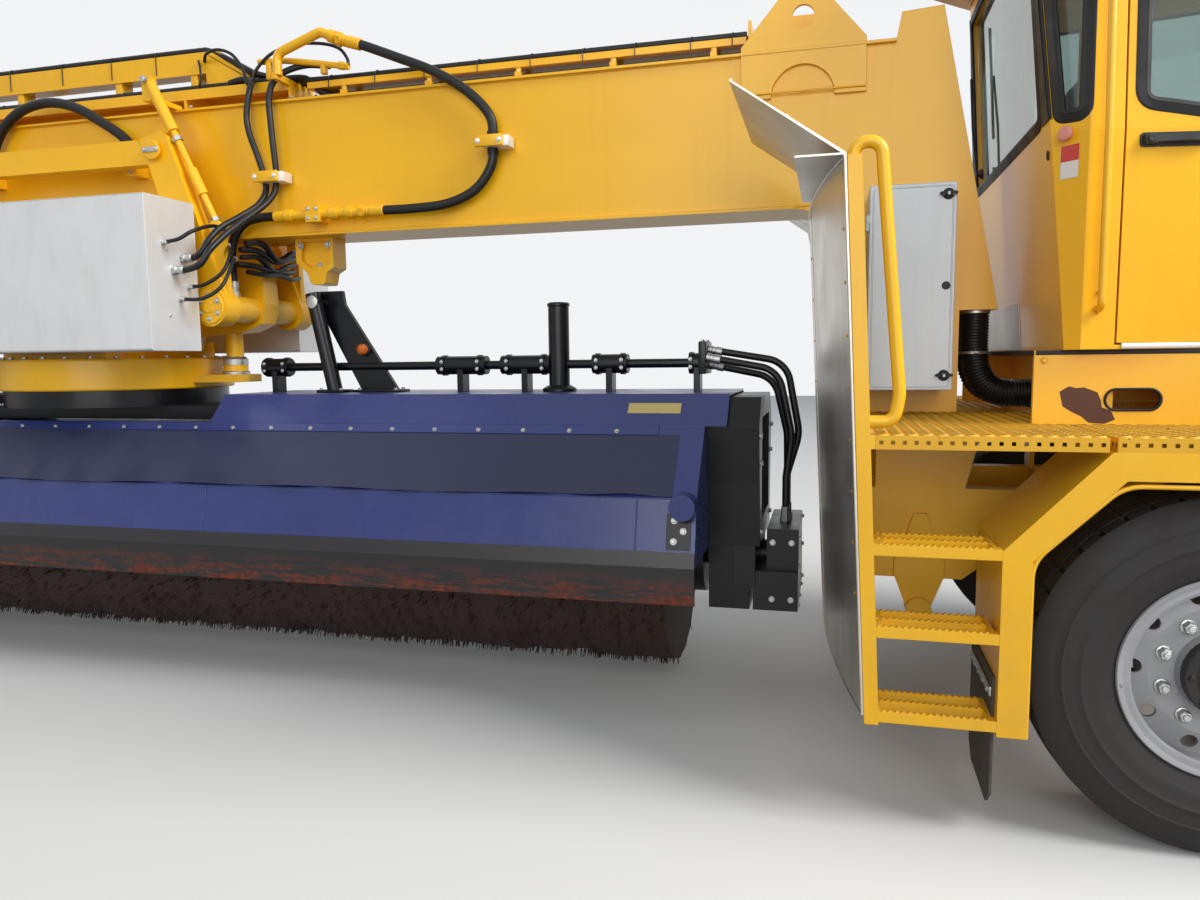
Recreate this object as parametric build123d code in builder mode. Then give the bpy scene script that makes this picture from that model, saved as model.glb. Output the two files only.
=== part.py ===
from build123d import *
import os

os.makedirs("parts", exist_ok=True)

# Airport runway sweeper, in millimetres: x forward, y to the left, z up from the ground,
# with x and y zero on the brush slewing axis

# Whole vehicle: the brush sets the length, and everything else follows outward from it
overall_width = 2550
half_width = overall_width / 2
hood_half_length = 3310
head_end = hood_half_length + 220
column_inner = head_end + 270
column_outer = column_inner + 520
front_axle_x = column_outer + 630
rear_axle_x = -front_axle_x
half_length = front_axle_x + 1650
fit_gap = 0.3

# Gooseneck beam and its columns
beam_width = 280
beam_bottom = 2120
beam_top = 2775
half_beam = beam_width / 2
column_foot = 620
flange_lip = 18
flange_thickness = 12

# Chassis rails
rail_outer = 425
rail_web = 80
rail_bottom = 720
rail_top = 980
front_rail_end = half_length - 250
rear_rail_end = -half_length + 180
deck_top = 1260
deck_thickness = 43

# Wheels
tyre_radius = 550
tyre_width = 385
wheel_y = 1037.5
rim_radius = 288
rim_half_width = 150
rim_wall = 18
flange_height = 17
disc_offset = 95
disc_thickness = 14
stud_circle = 167.5
stud_count = 10
vent_circle = 228
vent_radius = 22
hub_radius = 128
hub_length = 60
spindle_end = 60
drum_depth = 20
drum_radius = 205
guard_inner = 830

# Knuckles and axles
kingpin_y = 950
kingpin_radius = 25
boss_radius = 50
boss_half_height = 80
arm_thickness = 50
axle_half_height = 65
axle_half_depth = 55
spring_thickness = 45
spring_half_length = 500
spring_eye_x = 790
spring_eye_z = 500

# Brush head
brush_radius = 540
brush_centre_z = 600
brush_half_length = hood_half_length - 160
core_radius = 190
hood_wall = 8
recess_half_length = 900
recess_floor = 1190
turntable_radius = 580
turntable_bottom = 1370
turntable_top = 1530
slew_frame_bottom = 1215

# Cab
cab_floor_z = 1510
cab_sill_z = 2200
cab_roof_z = 3150
cab_top_z = 3350
cab_wall = 45
cab_taper = 4
cab_wide_x = front_axle_x - 360
cab_wide_half = 880
cab_chamfer = 400
cab_front_x = front_axle_x + 1100
cab_front_half = 590
cab_nose_x = front_axle_x + 1370
cab_back_low_x = cab_wide_x - 39
cab_back_high_x = cab_wide_x - 163
glass_thickness = 8

# Rear module
module_front = rear_axle_x + 530
module_rear = rear_rail_end
module_half = 1200
module_top = 3020
module_wall = 40

# Running gaps
door_gap = 6


def side_sketch(points, y):
    """Closed face of (x, z) corners in the upright plane at y, facing the right-hand side"""
    with BuildSketch(Plane(origin=(0, y, 0), x_dir=(1, 0, 0), z_dir=(0, -1, 0))) as profile:
        Polygon(*points, align=None)
    return profile.sketch


def side_plate(points, y_low, y_high, mode=Mode.ADD):
    """Plate with an (x, z) outline between two y places"""
    extrude(side_sketch(points, y_high), amount=y_high - y_low, mode=mode)


def cross_plate(points, x_low, x_high, mode=Mode.ADD):
    """Plate with a (y, z) outline between two x places"""
    with BuildSketch(Plane.YZ.offset(x_low)) as profile:
        Polygon(*points, align=None)
    extrude(profile.sketch, amount=x_high - x_low, mode=mode)


def flat_plate(points, z_low, z_high, mode=Mode.ADD):
    """Plate with an (x, y) outline between two heights"""
    with BuildSketch(Plane.XY.offset(z_low)) as profile:
        Polygon(*points, align=None)
    extrude(profile.sketch, amount=z_high - z_low, mode=mode)


def block(x_low, x_high, y_low, y_high, z_low, z_high, mode=Mode.ADD):
    """Square block between two places on each axis"""
    with Locations(((x_low + x_high) / 2, (y_low + y_high) / 2, (z_low + z_high) / 2)):
        Box(x_high - x_low, y_high - y_low, z_high - z_low, mode=mode)


def rod(start, end, radius, mode=Mode.ADD):
    """Round bar between two points"""
    way = Vector(*end) - Vector(*start)
    with BuildSketch(Plane(origin=start, z_dir=way)) as ring:
        Circle(radius)
    extrude(ring.sketch, amount=way.length, mode=mode)


def pipe(points, radii, radius):
    """Round tube along straight runs with bends of the given radii"""
    with BuildLine() as route:
        FilletPolyline(*points, radius=radii)
    with BuildSketch(Plane(origin=route.line @ 0, z_dir=route.line % 0)) as ring:
        Circle(radius)
    sweep(ring.sketch, path=route.line)


def save(part, name):
    part.label = name
    export_step(part, "parts/" + name + ".step")


# Gooseneck beam: one box girder with a column down to each frame
lug_half = 255
lug_x = column_outer - 640
lug_top = 3010
lug_eye_z = 2900
lug_eye_radius = 45
lug_arch_radius = 130
column_head = column_outer + 145
with BuildPart() as gooseneck_beam:
    side_plate(
        [
            (-column_inner, beam_bottom),
            (-column_inner, column_foot),
            (-column_outer, column_foot),
            (-column_outer, beam_top),
            (column_inner + 250, beam_top),
            (column_inner + 270, beam_top + 105),
            (column_inner + 430, beam_top + 115),
            (column_head, 1680),
            (column_outer, 1680),
            (column_outer, column_foot),
            (column_inner, column_foot),
            (column_inner, beam_bottom),
        ],
        -half_beam,
        half_beam,
    )
    corners = gooseneck_beam.edges().filter_by(Axis.Y)
    knees = corners.filter_by(lambda e: abs(e.center().Z - beam_bottom) < 1)
    fillet(knees, radius=140)
    flange_out = half_beam + flange_lip
    block(
        -column_inner + 140, column_inner - 140, -flange_out, flange_out,
        beam_bottom, beam_bottom + flange_thickness,
    )
    block(
        -column_outer, column_inner + 250, -flange_out, flange_out, beam_top - flange_thickness, beam_top
    )
    for way in (-1, 1):
        for side in (-1, 1):
            y_low = side * half_beam if side > 0 else -half_beam - 16
            side_plate(
                [
                    (way * (lug_x - lug_half), beam_top - 195),
                    (way * (lug_x + lug_half), beam_top - 195),
                    (way * (lug_x + lug_half), beam_top + 20),
                    (way * (lug_x + 70), lug_top),
                    (way * (lug_x - 70), lug_top),
                    (way * (lug_x - lug_half), beam_top + 20),
                ],
                y_low,
                y_low + 16,
            )
        rod(
            (way * lug_x, half_beam + 20, beam_top - 195),
            (way * lug_x, half_beam, beam_top - 195),
            lug_arch_radius,
            Mode.SUBTRACT,
        )
        rod(
            (way * lug_x, -half_beam - 20, beam_top - 195),
            (way * lug_x, -half_beam, beam_top - 195),
            lug_arch_radius,
            Mode.SUBTRACT,
        )
        rod(
            (way * lug_x, -half_beam - 20, lug_eye_z),
            (way * lug_x, half_beam + 20, lug_eye_z),
            lug_eye_radius,
            Mode.SUBTRACT,
        )
save(gooseneck_beam.part, "gooseneck_beam")

# Front frame: rails, column saddle, cross-members and the cab pedestal
pedestal_half = 800
pedestal_rear = front_axle_x - 250
pedestal_front = front_axle_x + 1150
member_width = 90


def spring_brackets(axle_x, way):
    """Three-bolt bracket with a spring eye on each saddle, towards the brush from the axle"""
    eye_x = axle_x - way * spring_eye_x
    for side in (-1, 1):
        y_low, y_high = sorted((side * rail_outer, side * (rail_outer + 16)))
        side_plate(
            [
                (eye_x - 24, 880),
                (eye_x - 70, 740),
                (eye_x - 94, 690),
                (eye_x - 94, 630),
                (eye_x - 44, spring_eye_z),
                (eye_x + 44, spring_eye_z),
                (eye_x + 94, 630),
                (eye_x + 94, 690),
                (eye_x + 70, 740),
                (eye_x + 24, 880),
            ],
            y_low,
            y_high,
        )
        rod(
            (eye_x, side * (rail_outer - 60), spring_eye_z),
            (eye_x, side * (rail_outer + 46), spring_eye_z),
            48,
        )


with BuildPart() as front_frame:
    side_plate(
        [
            (column_inner + 60, column_foot),
            (column_outer, column_foot),
            (column_outer + 120, rail_bottom),
            (front_rail_end, rail_bottom),
            (front_rail_end, rail_top),
            (column_inner + 60, rail_top),
        ],
        rail_outer - rail_web,
        rail_outer,
    )
    block(column_inner + 190, column_outer, half_beam, rail_outer, column_foot, rail_top)
    mirror(about=Plane.XZ)
    for member_x in (front_axle_x + 550, front_rail_end - member_width):
        block(member_x, member_x + member_width, -rail_outer, rail_outer, rail_bottom + 30, rail_top)
    for bulkhead_x in (pedestal_rear, front_axle_x + 450, pedestal_front - 20):
        cross_plate(
            [
                (-rail_outer, rail_top - 100),
                (rail_outer, rail_top - 100),
                (rail_outer, 1160),
                (pedestal_half, 1160),
                (pedestal_half, cab_floor_z),
                (-pedestal_half, cab_floor_z),
                (-pedestal_half, 1160),
                (-rail_outer, 1160),
            ],
            bulkhead_x,
            bulkhead_x + 20,
        )
        block(bulkhead_x, bulkhead_x + 20, -320, 320, rail_top, 1240, Mode.SUBTRACT)
    for side in (-1, 1):
        y_low = side * pedestal_half - 10
        block(cab_wide_x - 120, pedestal_front, y_low, y_low + 20, deck_top + fit_gap, cab_floor_z)
        with BuildSketch(Plane.XZ.offset(-y_low - 30)) as slot:
            with Locations((front_axle_x - 180, 1345)):
                SlotOverall(165, 70)
        extrude(slot.sketch, amount=40, mode=Mode.SUBTRACT)
    for side in (-1, 1):
        y_low, y_high = sorted((side * (rail_outer - 14), side * rail_outer))
        side_plate(
            [
                (column_inner + 190, rail_top - 10),
                (column_outer, rail_top - 10),
                (column_outer + 60, deck_top - deck_thickness),
                (column_inner + 190, deck_top - deck_thickness),
            ],
            y_low,
            y_high,
        )
    spring_brackets(front_axle_x, 1)
save(front_frame.part, "front_frame")

# Rear frame: deep rails under the deck, saddle and cross-members
with BuildPart() as rear_frame:
    side_plate(
        [
            (-column_inner - 60, column_foot),
            (-column_outer, column_foot),
            (-column_outer - 120, rail_bottom),
            (rear_rail_end, rail_bottom),
            (rear_rail_end, deck_top - deck_thickness),
            (-column_outer - 60, deck_top - deck_thickness),
            (-column_inner - 60, rail_top),
        ],
        rail_outer - rail_web,
        rail_outer,
    )
    block(-column_outer, -column_inner - 190, half_beam, rail_outer, column_foot, rail_top)
    mirror(about=Plane.XZ)
    for member_x in (rear_axle_x - 450, rear_rail_end):
        block(
            member_x,
            member_x + member_width,
            -rail_outer,
            rail_outer,
            rail_bottom + 60,
            deck_top - deck_thickness - 60,
        )
    for bearer_x in (rear_axle_x + 350, rear_axle_x - 450, rear_axle_x - 1150):
        cross_plate(
            [
                (-guard_inner + 2, deck_top - deck_thickness - 30),
                (-rail_outer, 1150),
                (-rail_outer + rail_web, 1150),
                (-rail_outer + rail_web, deck_top - deck_thickness),
                (-guard_inner + 2, deck_top - deck_thickness),
            ],
            bearer_x - 25,
            bearer_x + 25,
        )
        cross_plate(
            [
                (guard_inner - 2, deck_top - deck_thickness - 30),
                (guard_inner - 2, deck_top - deck_thickness),
                (rail_outer - rail_web, deck_top - deck_thickness),
                (rail_outer - rail_web, 1150),
                (rail_outer, 1150),
            ],
            bearer_x - 25,
            bearer_x + 25,
        )
    spring_brackets(rear_axle_x, -1)
    # bumper beam with its tow jaw
    block(-half_length + 40, -half_length + 140, -half_width + 20, half_width - 20, 660, 860)
    for side in (-1, 1):
        y_low = side * (rail_outer - 40) - 40
        block(-half_length + 140, rear_rail_end, y_low, y_low + 80, 720, 860)
    for jaw_z in (650, 820):
        block(-half_length, -half_length + 50, -110, 110, jaw_z, jaw_z + 50)
    rod((-half_length + 60, 0, 640), (-half_length + 60, 0, 880), 60)
save(rear_frame.part, "rear_frame")

# Spray shields: bowed stainless sheets that lean away from the brush's path
shield_bottom = 380
shield_top = 2090
shield_lean = 80
shield_centre_x = column_inner - 8
shield_bow = 128
shield_sheet = 6
with BuildPart() as spray_shields:
    for way in (-1, 1):
        with BuildSketch(Plane.XY.offset(shield_bottom)) as sheet:
            with BuildLine():
                face = ThreePointArc(
                    (way * (shield_centre_x + shield_bow), -half_width),
                    (way * shield_centre_x, 0),
                    (way * (shield_centre_x + shield_bow), half_width),
                )
                back = ThreePointArc(
                    (way * (shield_centre_x + shield_bow + shield_sheet), half_width),
                    (way * (shield_centre_x + shield_sheet), 0),
                    (way * (shield_centre_x + shield_bow + shield_sheet), -half_width),
                )
                Line(face @ 1, back @ 0)
                Line(back @ 1, face @ 0)
            make_face()
        rise = shield_top - shield_bottom
        lean_way = Vector(-way * shield_lean, 0, rise)
        extrude(sheet.sketch, amount=lean_way.length, dir=lean_way)
    # brackets from the sheets to the columns
    for way in (-1, 1):
        for bracket_z in (700, 1700):
            lean_here = shield_lean * (bracket_z - shield_bottom) / (shield_top - shield_bottom)
            x_low, x_high = sorted((way * (shield_centre_x - lean_here + 2), way * column_inner))
            block(x_low, x_high, -half_beam + 20, half_beam - 20, bracket_z, bracket_z + 40)
save(spray_shields.part, "spray_shields")

# Deflector flaps on the front shield's top edge
flap_inner = 475
flap_sheet = 6
shield_top_front = shield_centre_x + shield_bow - shield_lean + shield_sheet
with BuildPart() as deflector_flaps:
    side_plate(
        [
            (shield_top_front - 150, shield_top),
            (shield_top_front, shield_top),
            (shield_top_front, shield_top + flap_sheet),
            (shield_top_front - 345, shield_top + 245),
            (shield_top_front - 345, shield_top + 238),
            (shield_top_front - 15, shield_top + flap_sheet),
            (shield_top_front - 150, shield_top + flap_sheet),
        ],
        flap_inner,
        half_width,
    )
    mirror(about=Plane.XZ)
save(deflector_flaps.part, "deflector_flaps")

# Hose rack on the beam's top: raised behind the step, flat clips ahead of it
tray_front = column_inner - 350
tray_step_x = 1220
tray_top = beam_top + 110
rack_hose_radius = 17
rack_hose_y = (-52, 0, 52)
clip_xs = (1500, 1950, 2400, 2850, 3300)
rack_hose_z = beam_top + rack_hose_radius + 4
loop_hose_radius = 22
loop_y = -190
elbow_top = Vector(1455, loop_y, 3052)
loop_corner = Vector(2311, loop_y, 2673)
loop_way = (loop_corner - elbow_top).normalized()
loop_start = elbow_top + loop_way * 100
loop_low_z = 2212
with BuildPart() as cable_tray:
    block(-tray_front, tray_step_x, -100, 100, tray_top - 50, tray_top)
    block(-tray_front - 1, tray_step_x + 1, -94, 94, tray_top - 51, tray_top - 6, Mode.SUBTRACT)
    for stand_x in (-3300, -2000, -700, 600, tray_step_x - 12):
        block(stand_x, stand_x + 12, -100, 100, beam_top, tray_top - 5)
    for clip_x in clip_xs:
        block(clip_x - 14, clip_x + 14, -90, 90, beam_top, rack_hose_z + rack_hose_radius + 4)
        for hose_y in rack_hose_y:
            rod(
                (clip_x - 15, hose_y, rack_hose_z),
                (clip_x + 15, hose_y, rack_hose_z),
                rack_hose_radius + fit_gap,
                Mode.SUBTRACT,
            )
    for end_x in (-tray_front - 12, tray_front):
        block(end_x, end_x + 12, -100, 100, beam_top, tray_top + 40)
    # elbow pipe that feeds the big hose loop
    block(1194, tray_step_x - 1, -212, -90, tray_top - 30, tray_top)
    pipe([(1214, -190, tray_top - 10), (1214, -190, 2975), elbow_top, loop_start], [50, 40], 22)
    nut_way = Vector(*loop_start) - Vector(*elbow_top)
    rod(elbow_top + nut_way * 0.55, elbow_top + nut_way * 0.9, 30)
save(cable_tray.part, "cable_tray")

# Hanger under the beam: turntable, lift linkage on both sides and hose fittings
hanger_top = beam_bottom - fit_gap
pivot_x = 900
pivot_z = 1770
link_x = 620
link_z = 2530
link_low_y = 270
link_high_y = 345
with BuildPart() as slew_hanger:
    with BuildSketch(Plane.XY.offset(turntable_bottom)) as plate:
        Circle(turntable_radius)
    extrude(plate.sketch, amount=turntable_top - turntable_bottom)
    fillet(slew_hanger.edges().filter_by(GeomType.CIRCLE), radius=12)
    side_plate(
        [
            (-620, hanger_top),
            (-420, turntable_top),
            (420, turntable_top),
            (620, hanger_top),
        ],
        -half_beam,
        half_beam,
    )
    block(-300, 300, -400, 400, turntable_top - 5, turntable_top + 90)
    for rib_x in (-250, 230):
        cross_plate(
            [
                (-380, turntable_top + 80),
                (380, turntable_top + 80),
                (half_beam, beam_bottom - 60),
                (-half_beam, beam_bottom - 60),
            ],
            rib_x,
            rib_x + 20,
        )
    for way in (-1, 1):
        # ear plate, cross tube and lift cylinder on its foot
        side_plate(
            [
                (way * 440, 1640),
                (way * 860, 1660),
                (way * (pivot_x + 60), 1700),
                (way * (pivot_x + 85), pivot_z + 30),
                (way * (pivot_x + 60), hanger_top),
                (way * 560, hanger_top),
            ],
            -60,
            60,
        )
        rod((way * pivot_x, -link_high_y, pivot_z), (way * pivot_x, link_high_y, pivot_z), 65)
        flat_plate(
            [(way * 450, -130), (way * 830, -95), (way * 830, 95), (way * 450, 130)], 1400, 1440
        )
        rod((way * 745, 0, 1430), (way * 745, 0, 1500), 62)
        rod((way * 745, 0, 1490), (way * 745, 0, 1680), 44)
        for side in (-1, 1):
            y_low, y_high = sorted((side * link_low_y, side * link_high_y))
            side_plate(
                [
                    (way * (pivot_x - 82), pivot_z - 28),
                    (way * (pivot_x + 82), pivot_z + 28),
                    (way * (link_x + 64), link_z + 70),
                    (way * (link_x + 30), link_z + 95),
                    (way * (link_x - 90), link_z + 62),
                ],
                y_low,
                y_high,
            )
            rod(
                (way * pivot_x, side * (link_low_y - 10), pivot_z),
                (way * pivot_x, side * (link_high_y + 28), pivot_z),
                92,
            )
            rod(
                (way * link_x, side * (half_beam + fit_gap), link_z),
                (way * link_x, side * (link_high_y + 22), link_z),
                30,
            )
            # stay rod with its bracket on the beam's flange
            y_low, y_high = sorted((side * (half_beam - 20), side * 325))
            block(way * 575 - 28, way * 575 + 28, y_low, y_high, beam_top + fit_gap, beam_top + 24)
            y_low, y_high = sorted((side * 290, side * 325))
            block(way * 575 - 28, way * 575 + 28, y_low, y_high, beam_top + fit_gap, beam_top + 112)
            rod((way * 575, side * 307, beam_top + 95), (way * 700, side * 307, 2625), 27)
            rod((way * 700, side * 307, 2625), (way * 930, side * 307, 2150), 16)
            rod((way * 790, side * 307, 2439), (way * 850, side * 307, 2315), 25)
            rod((way * 930, side * 270, 2150), (way * 930, side * 345, 2150), 34)
            side_plate(
                [
                    (way * 885, 2020),
                    (way * 960, 2020),
                    (way * 960, 2150),
                    (way * 895, 2150),
                ],
                side * 307 - 18,
                side * 307 + 18,
            )
            side_plate(
                [
                    (way * (pivot_x - 70), pivot_z),
                    (way * (pivot_x + 75), pivot_z),
                    (way * 960, 2040),
                    (way * 870, 2040),
                ],
                side * 307 - 18,
                side * 307 + 18,
            )
    for side in (-1, 1):
        y_low, y_high = sorted((side * (link_low_y + 4), side * (link_high_y - 4)))
        block(-link_x, link_x, y_low, y_high, link_z - 60, link_z + 60)
    # hose fittings on the beam's right-hand web
    rod((1178, -190, 2212), (1636, -190, 2212), 23)
    for nut_low, nut_high in ((1225, 1262), (1470, 1510), (1560, 1590)):
        rod((nut_low, -190, 2212), (nut_high, -190, 2212), 31)
    block(1350, 1425, -226, -half_beam - fit_gap, 2172, 2252)
    for seat_x in (-560, 360):
        block(seat_x - 34, seat_x + 34, -226, -half_beam - fit_gap, 2450, 2520)
    for clamp_x, clamp_z, half_reach in ((1150, 2397, 56), (2311, 2481, 40)):
        block(
            clamp_x - half_reach,
            clamp_x + half_reach,
            -232,
            -half_beam - fit_gap,
            clamp_z - 22,
            clamp_z + 22,
        )
    for hose_x in (1126, 1174):
        rod((hose_x, -190, 2370), (hose_x, -190, 2425), 15 + fit_gap, Mode.SUBTRACT)
    rod(
        (loop_corner.X, loop_y, 2450),
        (loop_corner.X, loop_y, 2510),
        loop_hose_radius + fit_gap,
        Mode.SUBTRACT,
    )
save(slew_hanger.part, "slew_hanger")

# Aluminium hydraulic boxes beside the hanger
box_half = 867
box_inner = 405.5
box_outer = 725
box_low = 1560
box_high = 2255
with BuildPart() as hydraulic_boxes:
    block(-box_half, box_half, -box_outer, -box_inner, box_low, box_high)
    fillet(hydraulic_boxes.edges().filter_by(Axis.X), radius=12)
    for bracket_x in (-500, 460):
        cross_plate(
            [
                (-box_inner, 2140),
                (-box_inner, 2000),
                (-half_beam, beam_bottom + 40),
                (-half_beam, beam_bottom + 160),
            ],
            bracket_x,
            bracket_x + 40,
        )
    mirror(about=Plane.XZ)
save(hydraulic_boxes.part, "hydraulic_boxes")

# Transport lock bracket under the beam
lock_low = 1890
with BuildPart() as lock_arm:
    side_plate(
        [
            (1180, beam_bottom),
            (1180, 2000),
            (1240, 1950),
            (1262, lock_low),
            (1338, lock_low),
            (1352, 1950),
            (1392, 1972),
            (1392, beam_bottom),
        ],
        -60,
        60,
    )
    for side in (-1, 1):
        y_low, y_high = sorted((side * 34, side * 61))
        side_plate(
            [(1214, 2104), (1214, 2010), (1262, 1972), (1376, 1988), (1376, 2104)],
            y_low,
            y_high,
            Mode.SUBTRACT,
        )
    fillet(lock_arm.edges().filter_by(Axis.Y).group_by(Axis.Z)[0], radius=16)
save(lock_arm.part, "lock_arm")

# Fenders: an arched mudguard over each wheel with a deep outer flange
arch_half = 640
arch_inner_half = 557
arch_top = deck_top - deck_thickness
arch_foot = 348
arch_knee = 919
arch_flat = 360
flange_depth = 40
guard_sheet = 8
arch_outer = [
    (-arch_half, arch_foot),
    (-arch_half, arch_knee),
    (-arch_flat, arch_top),
    (arch_flat, arch_top),
    (arch_half, arch_knee),
    (arch_half, arch_foot),
]
arch_opening = [
    (arch_inner_half, arch_foot - 1),
    (arch_inner_half, arch_knee - 28),
    (arch_flat - 40, arch_top - 82),
    (-arch_flat + 40, arch_top - 82),
    (-arch_inner_half, arch_knee - 28),
    (-arch_inner_half, arch_foot - 1),
]
guard_opening = [
    (arch_half - guard_sheet, arch_foot - 1),
    (arch_half - guard_sheet, arch_knee - 3),
    (arch_flat - 3, arch_top - guard_sheet),
    (-arch_flat + 3, arch_top - guard_sheet),
    (-arch_half + guard_sheet, arch_knee - 3),
    (-arch_half + guard_sheet, arch_foot - 1),
]


def shifted(points, axle_x):
    return [(x + axle_x, z) for x, z in points]


with BuildPart() as fenders:
    for axle_x in (front_axle_x, rear_axle_x):
        side_plate(shifted(arch_outer, axle_x), guard_inner, half_width)
        side_plate(shifted(guard_opening, axle_x), guard_inner - 1, half_width - flange_depth, Mode.SUBTRACT)
        side_plate(
            shifted(arch_opening, axle_x), half_width - flange_depth - 1, half_width + 1, Mode.SUBTRACT
        )
    mirror(about=Plane.XZ)
save(fenders.part, "fenders")

# Walkways: gratings beside and behind the cab on each side
grate_low = deck_top - deck_thickness
grate_frame = 14
grate_bar = 6
grate_pitch = 45
# x rear, x front, y inner
grate_rear = column_inner + 145
gratings = [
    (grate_rear, front_axle_x - 370, 170),
    (front_axle_x - 350, front_axle_x + 640, pedestal_half + 11),
]
with BuildPart() as walkways:
    for x_rear, x_front, y_inner in gratings:
        y_outer = half_width
        block(x_rear, x_front, y_inner, y_outer, grate_low, deck_top)
        x_middle = (x_rear + x_front) / 2
        y_start = y_inner + grate_frame
        count = int((y_outer - y_inner - 2 * grate_frame) // (3 * grate_pitch))
        pitch = (y_outer - y_inner - 2 * grate_frame + grate_bar) / count
        for i in range(count):
            slot_low = y_start + i * pitch
            slot_high = slot_low + pitch - grate_bar
            block(
                x_rear + grate_frame, x_middle - 4, slot_low, slot_high, grate_low - 1, deck_top + 1,
                Mode.SUBTRACT,
            )
            block(
                x_middle + 4, x_front - grate_frame, slot_low, slot_high, grate_low - 1, deck_top + 1,
                Mode.SUBTRACT,
            )
    mirror(about=Plane.XZ)
save(walkways.part, "walkways")

# Ladders with their handrails, between the shield and the front fenders
ladder_foot = column_inner + 128
ladder_head = ladder_foot - shield_lean
post_depth = 44
step_depth = 190
step_thickness = 34
step_heights = (362, 632, 890)
fender_back = front_axle_x - arch_half
step_front = fender_back - 8 - fit_gap
rail_radius = 19
with BuildPart() as ladders:
    side_plate(
        [
            (ladder_foot, step_heights[0] - 10),
            (ladder_foot + post_depth, step_heights[0] - 10),
            (ladder_head + post_depth, shield_top),
            (ladder_head, shield_top),
        ],
        half_width - 30,
        half_width,
    )
    for step_z in step_heights:
        block(
            ladder_foot + 6, step_front, half_width - step_depth, half_width, step_z, step_z + step_thickness
        )
        block(
            ladder_foot + 50, step_front - 15, half_width - step_depth + 15, half_width - 15,
            step_z - 1, step_z + step_thickness + 1, Mode.SUBTRACT,
        )
        block(
            ladder_foot + 50, step_front - 15, half_width - 105, half_width - 92,
            step_z, step_z + step_thickness,
        )
        block(
            step_front,
            fender_back,
            half_width - flange_depth + 1,
            half_width,
            step_z,
            step_z + step_thickness,
        )
    block(grate_rear - 45, grate_rear, half_width - 250, half_width, grate_low, deck_top)
    # handrail: a long U in the ladder's own plane, both ends into the post
    rail_y = half_width - rail_radius - 1
    pipe(
        [
            (ladder_head + 20, rail_y, shield_top - 30),
            (ladder_head + 15, rail_y, shield_top + 36),
            (ladder_head + 98, rail_y, shield_top + 36),
            (ladder_head + 164, rail_y, 1380),
            (ladder_head + 150, rail_y, deck_top + 40),
            (ladder_head + 58, rail_y, deck_top + 40),
        ],
        [38, 38, 60, 38],
        rail_radius,
    )
    mirror(about=Plane.XZ)
save(ladders.part, "ladders")

# Mudflaps behind each wheel, hung on the guards
flap_thickness = 8
with BuildPart() as mudflaps:
    for axle_x in (front_axle_x, rear_axle_x):
        flap_x = axle_x - arch_half - flap_thickness
        cross_plate(
            [
                (guard_inner, 520),
                (guard_inner, 150),
                (guard_inner + 60, 100),
                (half_width - flange_depth - 62, 95),
                (half_width - flange_depth - 2, 150),
                (half_width - flange_depth - 2, 520),
            ],
            flap_x,
            flap_x + flap_thickness,
        )
    mirror(about=Plane.XZ)
save(mudflaps.part, "mudflaps")

# Equipment cabinet beside the front column, with its door
cabinet_rear = column_inner + 147
cabinet_front = column_outer - 58
cabinet_inner = half_beam
cabinet_outer = 425
cabinet_low = 1363
cabinet_high = 2145
cabinet_sheet = 4
cabinet_door_sheet = 16
hinge_axis_y = -cabinet_outer - fit_gap - cabinet_door_sheet
with BuildPart() as equipment_cabinet:
    block(cabinet_rear, cabinet_front, -cabinet_outer, -cabinet_inner, cabinet_low, cabinet_high)
    block(
        cabinet_rear + cabinet_sheet, cabinet_front - cabinet_sheet, -cabinet_outer - 1,
        -cabinet_inner - cabinet_sheet, cabinet_low + cabinet_sheet, cabinet_high - cabinet_sheet,
        Mode.SUBTRACT,
    )
    for hinge_z in (cabinet_low + 110, cabinet_high - 170):
        rod((cabinet_rear - 7, hinge_axis_y, hinge_z), (cabinet_rear - 7, hinge_axis_y, hinge_z + 30), 6)
        block(cabinet_rear - 9, cabinet_rear - 5, hinge_axis_y, -cabinet_outer + 30, hinge_z, hinge_z + 30)
        block(
            cabinet_rear - 9,
            cabinet_rear + 1,
            -cabinet_outer + 6,
            -cabinet_outer + 30,
            hinge_z,
            hinge_z + 30,
        )
save(equipment_cabinet.part, "equipment_cabinet")
with BuildPart() as cabinet_door:
    block(
        cabinet_rear, cabinet_front, -cabinet_outer - fit_gap - cabinet_door_sheet, -cabinet_outer - fit_gap,
        cabinet_low, cabinet_high,
    )
    fillet(cabinet_door.faces().sort_by(Axis.Y)[0].edges(), radius=5)
    for latch_z in (1420, 2100):
        rod(
            (cabinet_front - 32, -cabinet_outer - 10, latch_z),
            (cabinet_front - 32, -cabinet_outer - 26, latch_z),
            12,
        )
        block(
            cabinet_front - 52, cabinet_front - 12, -cabinet_outer - 36, -cabinet_outer - 22,
            latch_z - 6, latch_z + 6,
        )
    for hinge_z in (cabinet_low + 110, cabinet_high - 170):
        rod(
            (cabinet_rear - 7, hinge_axis_y, hinge_z + 30 + fit_gap),
            (cabinet_rear - 7, hinge_axis_y, hinge_z + 60),
            6,
        )
        block(
            cabinet_rear - 7, cabinet_rear + 6, hinge_axis_y, hinge_axis_y + 8,
            hinge_z + 30 + fit_gap, hinge_z + 60,
        )
save(cabinet_door.part, "cabinet_door")

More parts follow.
